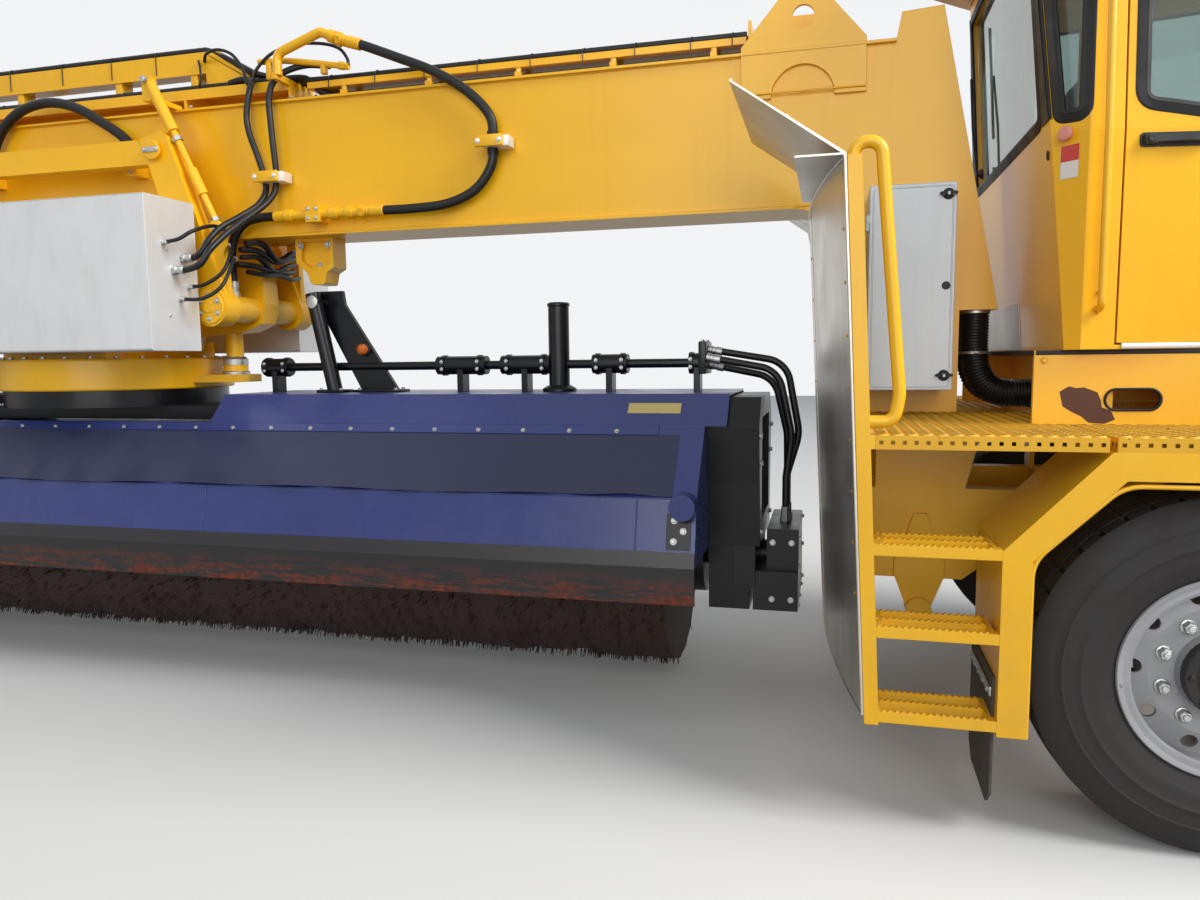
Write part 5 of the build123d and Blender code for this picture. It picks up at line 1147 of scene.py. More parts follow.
rack = {
    "highTop": 3.082,
    "highLow": 2.975,
    "highHalf": 0.045,
    "lowTop": 2.868,
    "lowLow": 2.838,
    "lowHalf": 0.078,
    "step": (0.70, 0.95),
    "reach": 3.44,
    "hose": 0.0155,
}


def addChannel(mesh, x0, x1, low, high, half, sheet=0.004):
    # a folded channel, open at the top
    outline = [
        (half, low), (half, high), (half - sheet, high), (half - sheet, low + sheet),
        (-half + sheet, low + sheet), (-half + sheet, high), (-half, high), (-half, low),
    ]
    addPrism(mesh, [(x0, y, z) for y, z in outline], (x1 - x0, 0, 0))


def makeHoseRacks():
    mesh = bmesh.new()
    rear, front = rack["step"]
    addChannel(mesh, -rack["reach"], rear, rack["highLow"], rack["highTop"], rack["highHalf"])
    addChannel(mesh, 1.30, rack["reach"], rack["lowLow"], rack["lowTop"], rack["lowHalf"])
    for x in (-3.3, -2.6, -1.9, -1.2, -0.5, 0.15, 0.62):
        addBlock(mesh, (x - 0.02, -0.04, 2.8845), (x + 0.02, 0.04, rack["highLow"] + 0.001), 0.002)
    for x in beam["clipXs"]:
        for y in (-0.068, 0.068):
            addBlock(mesh, (x - 0.012, y - 0.008, 2.8155), (x + 0.012, y + 0.008, rack["lowLow"] + 0.001), 0.001)
    # gusset that carries the hoses down from the high rack to the low one
    for y in (-0.045, 0.041):
        addPrism(mesh, [
            (rear - 0.002, y, 2.885), (rear - 0.002, y, rack["highTop"]), (rear + 0.07, y, rack["highTop"]),
            (front, y, 2.945), (front, y, 2.885),
        ], (0, 0.004, 0))
    addPrism(
        mesh,
        [(rear + 0.02, -0.045, 3.060), (front, -0.045, 2.925), (front, 0.045, 2.925), (rear + 0.02, 0.045, 3.060)],
        (0, 0, 0.004)
    )
    newPiece("hoseRacks", mesh, "yellow", smoothAngle=30)


def makeRackHoses():
    lines = bmesh.new()
    ties = bmesh.new()
    top = rack["highTop"] + 0.012
    for y in (-0.030, 0.004, 0.034):
        addSweep(lines, softLine([
            (-rack["reach"], y, top), (-2.4, y, top + 0.002), (-1.2, y, top - 0.001), (0, y, top + 0.001),
            (0.60, y, top), (0.72, y, top - 0.008), (0.85, y * 1.2, 3.022), (0.98, y * 1.4 - 0.01, 2.952),
            (1.10, y * 1.5, 2.917), (1.22, y * 1.5, 2.898), (1.36, y * 1.5, 2.886), (1.9, y * 1.5, 2.884),
            (2.7, y * 1.5, 2.885), (rack["reach"], y * 1.5, 2.884),
        ], 6), rack["hose"], 12)
    for x in (-3.1, -2.8, -2.4, -2.0, -1.6, -1.25, -0.9, -0.55, -0.2, 0.12, 0.4):
        addSweep(
            ties,
            [
                (x, -0.049, 2.992), (x, -0.049, top + 0.006), (x, -0.030, top + 0.0165),
                (x, 0.034, top + 0.0165), (x, 0.049, top + 0.006), (x, 0.049, 2.992)
            ],
            0.0024, 6
        )
    for x in (1.42, 1.67, 1.93, 2.2, 2.46, 2.71, 2.95, 3.2, 3.38):
        addSweep(
            ties,
            [
                (x, -0.082, 2.834), (x, -0.082, 2.872), (x, -0.062, 2.895), (x, -0.045, 2.9025),
                (x, 0.05, 2.9025), (x, 0.066, 2.895), (x, 0.082, 2.872), (x, 0.082, 2.834)
            ],
            0.0024, 6
        )
        addBlock(ties, (x - 0.003, -0.0865, 2.876), (x + 0.003, -0.0775, 2.885), 0.001)
    newPiece("rackHoses", lines, "hose", smoothAngle=60)
    newPiece("rackTies", ties, "plastic", smoothAngle=40)


def makeReturnPipes():
    pipes = bmesh.new()
    # steel return pipe beside the rack and the thin hose that joins it
    addSweep(
        pipes,
        softLine([(1.06, -0.115, 2.975), (1.2, -0.115, 2.968), (1.35, -0.115, 2.945), (1.50, -0.115, 2.918)], 5),
        0.0145, 14
    )
    addTurned(
        pipes, (1.50, -0.115, 2.918), (0.98, 0, -0.17),
        [(0, 0.019), (0.03, 0.019), (0.032, 0.0165), (0.055, 0.0165)], 6
    )
    for x, z in ((1.12, 2.972), (1.42, 2.933)):
        addBlock(pipes, (x - 0.012, -0.130, 2.885), (x + 0.012, -0.100, z - 0.008), 0.001)
    newPiece("returnPipe", pipes, "yellow")
    thin = bmesh.new()
    addSweep(
        thin,
        softLine(
            [
                (1.035, -0.15, 2.86), (1.06, -0.14, 2.93), (1.14, -0.13, 3.0), (1.26, -0.12, 3.035),
                (1.40, -0.115, 3.03), (1.50, -0.115, 3.0), (1.545, -0.115, 2.95), (1.5525, -0.115, 2.915)
            ],
            6
        ),
        0.008, 10
    )
    addSweep(
        thin,
        softLine(
            [
                (1.02, -0.16, 2.86), (0.985, -0.14, 2.94), (0.92, -0.13, 3.02), (0.83, -0.12, 3.055),
                (0.75, -0.10, 3.05), (0.70, -0.055, 3.03)
            ],
            6
        ),
        0.008, 10
    )
    addSweep(
        thin,
        softLine(
            [
                (0.66, -0.05, 3.04), (0.69, -0.08, 3.0), (0.705, -0.095, 2.94), (0.69, -0.09, 2.90),
                (0.66, -0.06, 2.888)
            ],
            6
        ),
        0.0055, 8
    )
    newPiece("thinHoses", thin, "hose", smoothAngle=60)


hanger = {
    "pivot": (0.90, 1.77),
    "link": (0.62, 2.53),
    "flangeBolts": 30,
}


def makeHangerDetails():
    caps = bmesh.new()
    bright = bmesh.new()
    for way in (-1, 1):
        pivotX, pivotZ = way * hanger["pivot"][0], hanger["pivot"][1]
        linkX, linkZ = way * hanger["link"][0], hanger["link"][1]
        for side in (-1, 1):
            out = Vector((0, side, 0))
            addTurned(caps, (pivotX, side * 0.3725, pivotZ), out, [
                (0, 0.082), (0.006, 0.082), (0.009, 0.078), (0.009, 0.030), (0.014, 0.026),
            ], 36)
            for k in range(6):
                a = math.pi * (k + 0.5) / 3
                addBolt(
                    bright, (pivotX + 0.056 * math.cos(a), side * 0.3812, pivotZ + 0.056 * math.sin(a)), out,
                    0.0095
                )
            addTurned(
                caps, (linkX, side * 0.3665, linkZ), out,
                [(0, 0.046), (0.008, 0.046), (0.011, 0.042), (0.011, 0.02)], 28
            )
            addBlock(
                bright, (linkX - 0.045, min(side * 0.378, side * 0.384), linkZ - 0.012),
                (linkX + 0.045, max(side * 0.378, side * 0.384), linkZ + 0.012), 0.002
            )
            for dx in (-0.032, 0.032):
                addBolt(bright, (linkX + dx, side * 0.3838, linkZ), out, 0.0075, False)
            # stay rod: lock nuts, forks and the pins through them
            addTurned(
                bright, (way * 0.7145, side * 0.307, 2.595), (way * 0.436, 0, -0.9),
                [(0, 0.026), (0.022, 0.026), (0.024, 0.022)], 6
            )
            addTurned(
                bright, (way * 0.905, side * 0.307, 2.2015), (way * 0.436, 0, -0.9),
                [(0, 0.024), (0.02, 0.024), (0.022, 0.02)], 6
            )
            for pinX, pinZ in ((way * 0.575, 2.87), (way * 0.930, 2.15)):
                addTurned(
                    bright, (pinX, side * 0.262, pinZ), out,
                    [(0, 0.012), (0.003, 0.016), (0.092, 0.016), (0.096, 0.012)], 16
                )
            # grease nipples
            for x, z in ((pivotX, pivotZ + 0.091), (linkX, linkZ + 0.03)):
                addTurned(
                    bright, (x, side * 0.33, z), (0, side * 0.3, 1),
                    [(0, 0.006), (0.006, 0.006), (0.007, 0.0035), (0.014, 0.0035), (0.016, 0.002)], 6
                )
        # lift cylinder: gland nut and the ring below it
        addTurned(
            bright, (way * 0.745, 0, 1.49), (0, 0, 1),
            [(0, 0.064), (0.03, 0.064), (0.034, 0.058), (0.044, 0.05)], 32
        )
        addTurned(bright, (way * 0.745, 0, 1.436), (0, 0, 1), [(0, 0.070), (0.018, 0.070), (0.022, 0.064)], 32)
    ringZ = 1.5295
    for k in range(hanger["flangeBolts"]):
        a = 2 * math.pi * k / hanger["flangeBolts"]
        x, y = 0.548 * math.cos(a), 0.548 * math.sin(a)
        if abs(y) > 0.165 or abs(x) > 0.46:
            addBolt(bright, (x, y, ringZ), (0, 0, 1), 0.0115)
    bundle = bmesh.new()
    for k, (y, z, sag) in enumerate(
        (
            (-0.235, 1.985, 0.02), (-0.222, 2.02, 0.05), (-0.24, 2.055, 0.035), (-0.21, 1.95, 0.0),
            (-0.228, 2.085, 0.06)
        )
    ):
        addSweep(bundle, softLine([
            (0.965 + 0.012 * k, y, z), (0.995 + 0.01 * k, y + 0.10, z - 0.008 + sag * 0.3),
            (1.0 + 0.008 * k, 0.0, z - sag), (0.99 + 0.01 * k, 0.13, z - 0.01),
            (0.965 + 0.01 * k, 0.235, z + 0.006),
        ], 6), 0.0125 if k % 2 else 0.0155, 10)
    newPiece("hangerHoses", bundle, "hose", smoothAngle=60)
    newPiece("pivotCaps", caps, "yellow")
    newPiece("hangerBolts", bright, "zinc")


boxes = {
    "halfLength": 0.867,
    "inner": 0.4055,
    "outer": 0.725,
    "low": 1.56,
    "high": 2.255,
}


def makeBoxDetails():
    rivets = bmesh.new()
    folds = bmesh.new()
    for side in (-1, 1):
        yIn, yOut = side * boxes["inner"], side * boxes["outer"]
        for end in (-1, 1):
            x = end * boxes["halfLength"]
            for y, z in ((0.60, 2.02), (0.60, 1.72)):
                addTurned(
                    rivets, (x, side * y, z), (end, 0, 0),
                    [(0, 0.0065), (0.0015, 0.0062), (0.003, 0.004), (0.0034, 0.001)], 12
                )
            # the end wall is folded round the box's corners: a fine line stands beside each one
            for y in (yIn + side * 0.004, yOut - side * 0.004):
                addSweep(folds, [(x, y, 1.56), (x, y, 2.25)], 0.0012, 6)
        addSweep(folds, [(-boxes["halfLength"], yOut, 2.2522), (boxes["halfLength"], yOut, 2.2522)], 0.0016, 6)
    newPiece("boxRivets", rivets, "zinc")
    newPiece("boxFolds", folds, "aluminium")


lockFittings = {
    "pins": ((1.30, 1.985), (1.21, 2.085), (1.365, 2.085)),
}


def makeLockDetails():
    mesh = bmesh.new()
    for x, z in lockFittings["pins"]:
        for side in (-1, 1):
            y = side * (0.06 if z < 2 else 0.0605)
            if z < 2:
                y = side * 0.0342
            addBolt(mesh, (x, y, z), (0, side, 0), 0.012)
    newPiece("lockBolts", mesh, "zinc")


makeBeamDetails()
makeBeamHoses()
makeHoseRacks()
makeRackHoses()
makeReturnPipes()
makeHangerDetails()
makeBoxDetails()
makeLockDetails()
print("stage: beam and hanger")

# Spray shields, walkways and ladders

shield = {
    "middle": 3.792,
    "bow": 0.128,
    "lean": 0.080,
    "low": 0.38,
    "high": 2.09,
    "half": 1.275,
}


def onShield(y, z, way, proud=0.0):
    # a point on the brush side of a spray shield
    radius = (shield["half"] ** 2 + shield["bow"] ** 2) / (2 * shield["bow"])
    bow = radius - math.sqrt(radius ** 2 - y * y)
    lean = shield["lean"] * (z - shield["low"]) / (shield["high"] - shield["low"])
    return Vector((way * (shield["middle"] + bow - lean - proud), y, z))


def makeShieldDetails():
    hems = bmesh.new()
    rivets = bmesh.new()
    for way in (-1, 1):
        for z in (shield["low"] + 0.004, shield["high"] - 0.003):
            line = [onShield((shield["half"] - 0.0025) * k / 14, z, way, -0.003) for k in range(-14, 15)]
            addSweep(hems, line, 0.0055, 10)
        for side in (-1, 1):
            edge = [
                onShield(side * (shield["half"] - 0.006), z, way, -0.003) for z in (0.385, 0.8, 1.3, 1.7, 2.087)
            ]
            addSweep(hems, edge, 0.005, 10)
            # joint strip between the sheets, riveted both sides
            y = side * 0.43
            for face in (0.0006, -0.0082):
                grid = [
                    [onShield(y + dy, z, way, face) for dy in (-0.028, 0.028)] for z in (0.40, 0.9, 1.4, 1.9, 2.07)
                ]
                outline = [row[0] for row in grid] + [row[1] for row in reversed(grid)]
                addPrism(hems, outline, (-way * (0.0018 if face > 0 else -0.0018), 0, 0))
            count = 11
            for k in range(count):
                z = 0.44 + k * 0.16
                for dy in (-0.018, 0.018):
                    addTurned(
                        rivets, onShield(y + dy, z, way, 0.0024), (-way, 0, 0),
                        [(0, 0.005), (0.0015, 0.0046), (0.0026, 0.0025)], 10
                    )
                    addTurned(
                        rivets, onShield(y + dy, z, way, -0.0098), (way, 0, 0),
                        [(0, 0.005), (0.0015, 0.0046), (0.0026, 0.0025)], 10
                    )
                addTurned(
                    rivets, onShield(side * 1.235, z, way, 0.0), (-way, 0, 0),
                    [(0, 0.0055), (0.0015, 0.005), (0.003, 0.0028)], 10
                )
                addTurned(
                    rivets, onShield(side * 1.235, z, way, -0.006), (way, 0, 0),
                    [(0, 0.0055), (0.0015, 0.005), (0.003, 0.0028)], 10
                )
    newPiece("shieldHems", hems, "stainless", smoothAngle=50)
    newPiece("shieldRivets", rivets, "yellow")
    flaps = bmesh.new()
    for side in (-1, 1):
        for k in range(6):
            y = side * (0.54 + k * 0.135)
            addBolt(flaps, (3.795, y, 2.0958), (0, 0, 1), 0.0085)
            addBolt(flaps, (3.725, y, 2.0958), (0, 0, 1), 0.0085)
    newPiece("flapBolts", flaps, "zinc")
    stiffeners = bmesh.new()
    for side in (-1, 1):
        # stiffening folds on the flaps: the free edge is turned over, a rib runs along the middle
        for share, r in ((0.985, 0.004), (0.5, 0.0035)):
            x, z = 3.846 - 0.345 * share, 2.096 + 0.240 * share
            addSweep(stiffeners, [(x, side * 0.478, z), (x, side * 0.9, z), (x, side * 1.272, z)], r, 10)
    newPiece("flapEdges", stiffeners, "stainless")


walkway = {
    "areas": ((3.945, 4.58, 0.17), (4.60, 5.59, 0.811)),
    "outer": 1.275,
    "top": 1.2585,
    "depth": 0.0415,
    "cell": 0.0425,
    "hole": 0.0132,
    "collar": 0.0058,
}


def addPerforated(mesh, origin, along, across, cells, hole, collar, square=False, depth=0.006):
    # a sheet of equal cells, each with one hole; a collar raises its rim as a pressed anti-slip hole
    origin, along, across = Vector(origin), Vector(along), Vector(across)
    facing = along.cross(across).normalized()
    a, b = along / cells[0], across / cells[1]
    ringUnit = [(1, 0), (1, 1), (0, 1), (-1, 1), (-1, 0), (-1, -1), (0, -1), (1, -1)]
    for i in range(cells[0]):
        for j in range(cells[1]):
            middle = origin + a * (i + 0.5) + b * (j + 0.5)
            ua, ub = a.normalized(), b.normalized()
            outer = [middle + a * u * 0.5 + b * v * 0.5 for u, v in ringUnit]
            rounds = []
            for u, v in ringUnit:
                k = 1.0 if square else 1 / math.hypot(u, v)
                rounds.append((ua * u + ub * v) * hole * k)
            rings = [outer]
            if collar:
                rings.append([middle + r * 1.5 for r in rounds])
                rings.append([middle + r * 1.12 + facing * collar for r in rounds])
            rings.append([middle + r + facing * collar * 0.9 for r in rounds])
            rings.append([middle + r * 0.97 - facing * depth for r in rounds])
            before = len(mesh.faces)
            addRings(mesh, rings, capped=False)
            mesh.faces.ensure_lookup_table()
            for face in mesh.faces[before + 8 * (len(rings) - 2):]:
                face.material_index = 1  # painted shade: the walls of the holes take the dark hole colour


def makeWalkways():
    mesh = bmesh.new()
    for side in (-1, 1):
        for x0, x1, yIn in walkway["areas"]:
            width = walkway["outer"] - yIn
            cells = (round((x1 - x0) / walkway["cell"]), round(width / walkway["cell"]))
            low = min(side * yIn, side * walkway["outer"])
            addPerforated(
                mesh, (x0, low, walkway["top"]), (x1 - x0, 0, 0), (0, width, 0), cells,
                walkway["hole"], walkway["collar"],
            )
            # skirts with a row of square holes
            z = walkway["top"] - walkway["depth"]
            for y, way in ((side * walkway["outer"], side), (side * yIn, -side)):
                start, run = (x0, x1 - x0) if way < 0 else (x1, x0 - x1)
                addPerforated(
                    mesh, (start, y, z), (run, 0, 0), (0, 0, walkway["depth"]),
                    (round((x1 - x0) / 0.033), 1), 0.0055, 0, True, 0.004,
                )
            for x, way in ((x0, -1), (x1, 1)):
                y, run = (low, width) if way > 0 else (low + width, -width)
                addPerforated(
                    mesh, (x, y, z), (0, run, 0), (0, 0, walkway["depth"]),
                    (round(width / 0.033), 1), 0.0055, 0, True, 0.004,
                )
            # bearers under the sheet
            for k in range(3):
                y = low + width * (k + 1) / 4
                addBlock(mesh, (x0 + 0.004, y - 0.004, z + 0.002), (x1 - 0.004, y + 0.004, walkway["top"] - 0.007))
    bmesh.ops.remove_doubles(mesh, verts=mesh.verts[:], dist=0.0002)
    plate = newPiece("pressedGratings", mesh, "grating", smoothAngle=40)
    # painted shade: the second slot darkens the walls of the holes
    plate.data.materials.append(finishes["holeShade"])
    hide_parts("walkways")


ladder = {
    "steps": (0.396, 0.666, 0.924),
    "stepFrom": 3.945,
    "stepTo": 4.296,
    "bars": (1.0925, 1.1765, 1.2675),
    "toothPitch": 0.0195,
    "toothHeight": 0.0065,
    "postFoot": (3.928, 0.352),
    "postHead": (3.848, 2.09),
}


def makeLadderDetails():
    teeth = bmesh.new()
    for side in (-1, 1):
        for z in ladder["steps"]:
            for y in ladder["bars"]:
                half = 0.0055 if y == 1.1765 else 0.0065
                x = ladder["stepFrom"] + 0.012
                while x < ladder["stepTo"] - 0.012:
                    addPrism(teeth, [
                        (x, side * y - half, z - 0.001),
                        (x + ladder["toothPitch"] * 0.8, side * y - half, z - 0.001),
                        (x + ladder["toothPitch"] * 0.4, side * y - half, z + ladder["toothHeight"]),
                    ], (0, half * 2, 0))
                    x += ladder["toothPitch"]
    newPiece("stepTeeth", teeth, "yellow", smoothAngle=20)


fender = {
    "axles": (4.95, -4.95),
    "outer": 1.275,
    "opening": ((-0.557, 0.348), (-0.557, 0.889), (-0.326, 1.12), (0.326, 1.12), (0.557, 0.889), (0.557, 0.348)),
}


def makeFenderDetails():
    edging = bmesh.new()
    bolts = bmesh.new()
    for axleX in fender["axles"]:
        for side in (-1, 1):
            line = []
            points = [Vector((axleX + x, side * (fender["outer"] - 0.0085), z)) for x, z in fender["opening"]]
            for i, p in enumerate(points):
                if 0 < i < len(points) - 1:
                    back, ahead = (points[i - 1] - p).normalized(), (points[i + 1] - p).normalized()
                    for k in range(7):
                        t = k / 6
                        line.append(
                            (p + back * 0.05) * (1 - t) ** 2 + p * 2 * t * (1 - t) + (p + ahead * 0.05) * t ** 2
                        )
                else:
                    line.append(p)
            addSweep(edging, line, 0.0075, 10)
            # clamp strip and bolts of the mud flap behind the wheel
            x = axleX - 0.6485
            addBlock(
                bolts, (x - 0.006, min(side * 0.86, side * 1.225), 0.455),
                (x, max(side * 0.86, side * 1.225), 0.485), 0.001
            )
            for k in range(5):
                addBolt(bolts, (x - 0.0055, side * (0.89 + k * 0.077), 0.47), (-1, 0, 0), 0.0075)
    newPiece("fenderEdging", edging, "yellow", smoothAngle=60)
    newPiece("flapStrips", bolts, "zinc")


cabinet = {
    "rear": 3.947,
    "front": 4.262,
    "low": 1.363,
    "high": 2.145,
    "face": -0.4415,
    "latchX": 4.230,
    "latches": (1.42, 2.10),
    "lock": 1.76,
}


def makeCabinetDetails():
    trims = bmesh.new()
    loop = roundedLoop([
        (cabinet["rear"] + 0.014, cabinet["face"], cabinet["low"] + 0.014),
        (cabinet["front"] - 0.014, cabinet["face"], cabinet["low"] + 0.014),
        (cabinet["front"] - 0.014, cabinet["face"], cabinet["high"] - 0.014),
        (cabinet["rear"] + 0.014, cabinet["face"], cabinet["high"] - 0.014),
    ], 0.012)
    addTrim(trims, loop, (0, -1, 0), [(-0.004, -0.001), (-0.0015, 0.0016), (0.0015, 0.0016), (0.004, -0.001)])
    newPiece("cabinetDoorFold", trims, "grey", "cabinet_door")
    parts = bmesh.new()
    for z in cabinet["latches"]:
        addTurned(parts, (cabinet["latchX"], cabinet["face"], z), (0, -1, 0), [
            (0, 0.0215), (0.003, 0.0210), (0.005, 0.0180), (0.005, 0.0125), (0.011, 0.0122),
        ], 28)
        for way in (-1, 1):
            addPrism(parts, [
                (cabinet["latchX"] + way * 0.004, cabinet["face"] - 0.020, z - 0.0075),
                (cabinet["latchX"] + way * 0.030, cabinet["face"] - 0.020, z - 0.004),
                (cabinet["latchX"] + way * 0.033, cabinet["face"] - 0.020, z + 0.002),
                (cabinet["latchX"] + way * 0.028, cabinet["face"] - 0.020, z + 0.0065),
                (cabinet["latchX"] + way * 0.004, cabinet["face"] - 0.020, z + 0.0085),
            ], (0, 0.009, 0))
    newPiece("cabinetLatches", parts, "seal", "cabinet_door")
    lock = bmesh.new()
    addTurned(lock, (cabinet["latchX"], cabinet["face"], cabinet["lock"]), (0, -1, 0), [
        (0, 0.0155), (0.0025, 0.015), (0.0045, 0.0125), (0.0045, 0.0045), (0.003, 0.004),
    ], 28)
    newPiece("cabinetLock", lock, "seal", "cabinet_door")


makeShieldDetails()
makeWalkways()
makeLadderDetails()
makeFenderDetails()
makeCabinetDetails()
print("stage: shields, walkways and ladders")

# Cab fittings

cab = {
    "sill": 2.2,
    "rubber": 0.036,
    "proud": 0.008,
    "buttonZ": 2.2,
    "labelLow": 2.06,
    "labelHigh": 2.165,
    "handleX": (4.74, 4.965),
    "handleZ": 2.163,
    "slotRun": 0.0475,
    "slotRadius": 0.035,
}
lean = math.tan(math.radians(4))


def onCabSide(x, z, side, proud=0.0):
    # a point on the outside of the cab's side wall or door
    inset = max(0.0, z - cab["sill"]) * lean
    y = 0.88 - (x - 4.59) * 0.19863 - inset / 0.98085 + proud / 0.98085
    return Vector((x, side * y, z))


def onCabCorner(x, z, side, proud=0.0):
    # on the slanted face between the rear wall and the side
    inset = max(0.0, z - cab["sill"]) * lean
    y = 0.88 - (4.59 + inset * math.sqrt(2) - x) + proud * math.sqrt(2)
    return Vector((x, side * y, z))


def onCabRear(y, z, proud=0.0):
    return Vector((4.551 - (z - 1.51) * 0.0756 - proud, y, z))


def onCabNose(y, z, proud=0.0):
    inset = max(0.0, z - cab["sill"]) * lean
    radius = 0.7796 - inset + proud
    return Vector((5.5404 + math.sqrt(radius ** 2 - y * y), y, z))


sideFacing = {s: Vector((0.195, 0.9785 * s, 0.04)).normalized() for s in (-1, 1)}
cornerFacing = {s: Vector((-0.705, 0.705 * s, 0.05)).normalized() for s in (-1, 1)}
rearFacing = Vector((-0.997, 0, -0.0754)).normalized()


def addWindowRubber(mesh, loop, facings, width, proud, inward=0.008):
    # glazing rubber round an opening: flat lip over the panel, bead over the glass
    count = len(loop)
    middle = sum((Vector(p) for p in loop), Vector()) / count
    rings = []
    for i, p in enumerate(loop):
        facing = facings[i] if isinstance(facings, list) else facings
        way = (loop[(i + 1) % count] - loop[i - 1]).normalized()
        across = way.cross(facing).normalized()
        if across.dot(p - middle) < 0:
            across = -across
        section = [
            (-inward, -0.004), (-inward, proud * 0.6), (-inward + 0.003, proud), (0.006, proud * 1.15),
            (0.012, proud * 0.75), (width - 0.006, proud * 0.6), (width, 0.0008), (width, -0.002), (0.002, -0.004),
        ]
        rings.append([p + across * a + facing * b for a, b in section])
    addRings(mesh, rings, closed=True)


def splitLoop(points, radius, pieces=6):
    # a rounded outline with extra points along its long sides
    loop = roundedLoop(points, radius, 5)
    full = []
    for i, p in enumerate(loop):
        q = loop[(i + 1) % len(loop)]
        full.append(p)
        if (q - p).length > 0.15:
            full += [p.lerp(q, k / pieces) for k in range(1, pieces)]
    return full


def makeCabRubbers():
    mesh = bmesh.new()
    rear = splitLoop(
        [Vector((0, y, z)) for y, z in ((-0.655, 2.29), (0.655, 2.29), (0.605, 3.05), (-0.605, 3.05))], 0.03
    )
    addWindowRubber(mesh, [onCabRear(p.y, p.z) for p in rear], rearFacing, cab["rubber"], cab["proud"])
    nose = splitLoop(
        [Vector((0, y, z)) for y, z in ((-0.53, 1.85), (0.53, 1.85), (0.51, 3.09), (-0.51, 3.09))], 0.03, 10
    )
    facings = [Vector((onCabNose(p.y, p.z).x - 5.5404, p.y, 0.05)).normalized() for p in nose]
    addWindowRubber(mesh, [onCabNose(p.y, p.z) for p in nose], facings, cab["rubber"], cab["proud"])
    for side in (-1, 1):
        quarter = splitLoop(
            [Vector((x, 0, z)) for x, z in ((4.527, 2.274), (4.572, 2.268), (4.582, 3.05), (4.4715, 3.05))],
            0.01
        )
        addWindowRubber(
            mesh, [onCabCorner(p.x, p.z, side) for p in quarter], cornerFacing[side], cab["rubber"],
            cab["proud"]
        )
        # the black post between the rear and the corner window
        outline = [(0.688, 2.262), (0.7745, 2.262), (0.6275, 3.08), (0.637, 3.08)]
        addPrism(mesh, [onCabRear(side * y, z, 0.0004) for y, z in outline], rearFacing * 0.0045)
        outline = [(4.4945, 2.262), (4.5, 2.262), (4.442, 3.08), (4.4345, 3.08)]
        addPrism(mesh, [onCabCorner(x, z, side, 0.0004) for x, z in outline], cornerFacing[side] * 0.0045)
    newPiece("cabWindowRubbers", mesh, "seal", smoothAngle=30)
    for name, side in (("right", -1), ("left", 1)):
        mesh = bmesh.new()
        window = splitLoop(
            [Vector((x, 0, z)) for x, z in ((4.758, 2.292), (5.670, 2.140), (5.660, 3.020), (4.758, 3.020))],
            0.03, 8
        )
        addWindowRubber(
            mesh, [onCabSide(p.x, p.z, side) for p in window], sideFacing[side], cab["rubber"], cab["proud"]
        )
        newPiece("doorWindowRubber_" + name, mesh, "seal", "cab_door_" + name, smoothAngle=30)
        handle = bmesh.new()
        x0, x1 = cab["handleX"]
        z = cab["handleZ"]
        # recessed plate, pivot block and the long pull
        plate = roundedLoop(
            [
                onCabSide(x, zz, side, 0.0005)
                for x, zz in ((x0, z - 0.022), (x1, z - 0.022), (x1, z + 0.022), (x0, z + 0.022))
            ],
            0.012
        )
        addRings(handle, [plate, [p + sideFacing[side] * 0.004 for p in plate]])
        pull = []
        for share, high, out in (
            (0.0, 0.013, 0.006), (0.02, 0.0155, 0.022), (0.16, 0.016, 0.027), (0.22, 0.012, 0.024),
            (0.6, 0.0115, 0.030), (0.92, 0.012, 0.028), (0.985, 0.010, 0.020), (1.0, 0.006, 0.010)
        ):
            x = x0 + 0.008 + (x1 - x0 - 0.016) * share
            pull.append([
                onCabSide(x, z - high, side, out * 0.45), onCabSide(x, z - high * 0.8, side, out),
                onCabSide(x, z + high * 0.8, side, out), onCabSide(x, z + high, side, out * 0.45),
                onCabSide(x, z + high * 0.8, side, 0.0035), onCabSide(x, z - high * 0.8, side, 0.0035),
            ])
        addRings(handle, pull)
        addTurned(
            handle, onCabSide(x0 + 0.028, z, side, 0.024), sideFacing[side],
            [(0, 0.0115), (0.004, 0.0112), (0.0055, 0.009), (0.0045, 0.0035)], 20
        )
        newPiece("doorHandle_" + name, handle, "plastic", "cab_door_" + name, smoothAngle=30)
        strips = bmesh.new()
        # aluminium sill under the door
        line = [onCabSide(x, 1.5205, side, 0.0) for x in (4.715, 4.95, 5.2, 5.5, 5.775)]
        rings = [
            [
                p + Vector((0, side * a, b))
                for a, b in (
                    (-0.002, -0.0085), (0.007, -0.0085), (0.0085, -0.0045), (0.0085, 0.001), (0.003, 0.0085),
                    (-0.002, 0.0085)
                )
            ]
            for p in line
        ]
        addRings(strips, rings)
        newPiece("doorSill_" + name, strips, "aluminium")


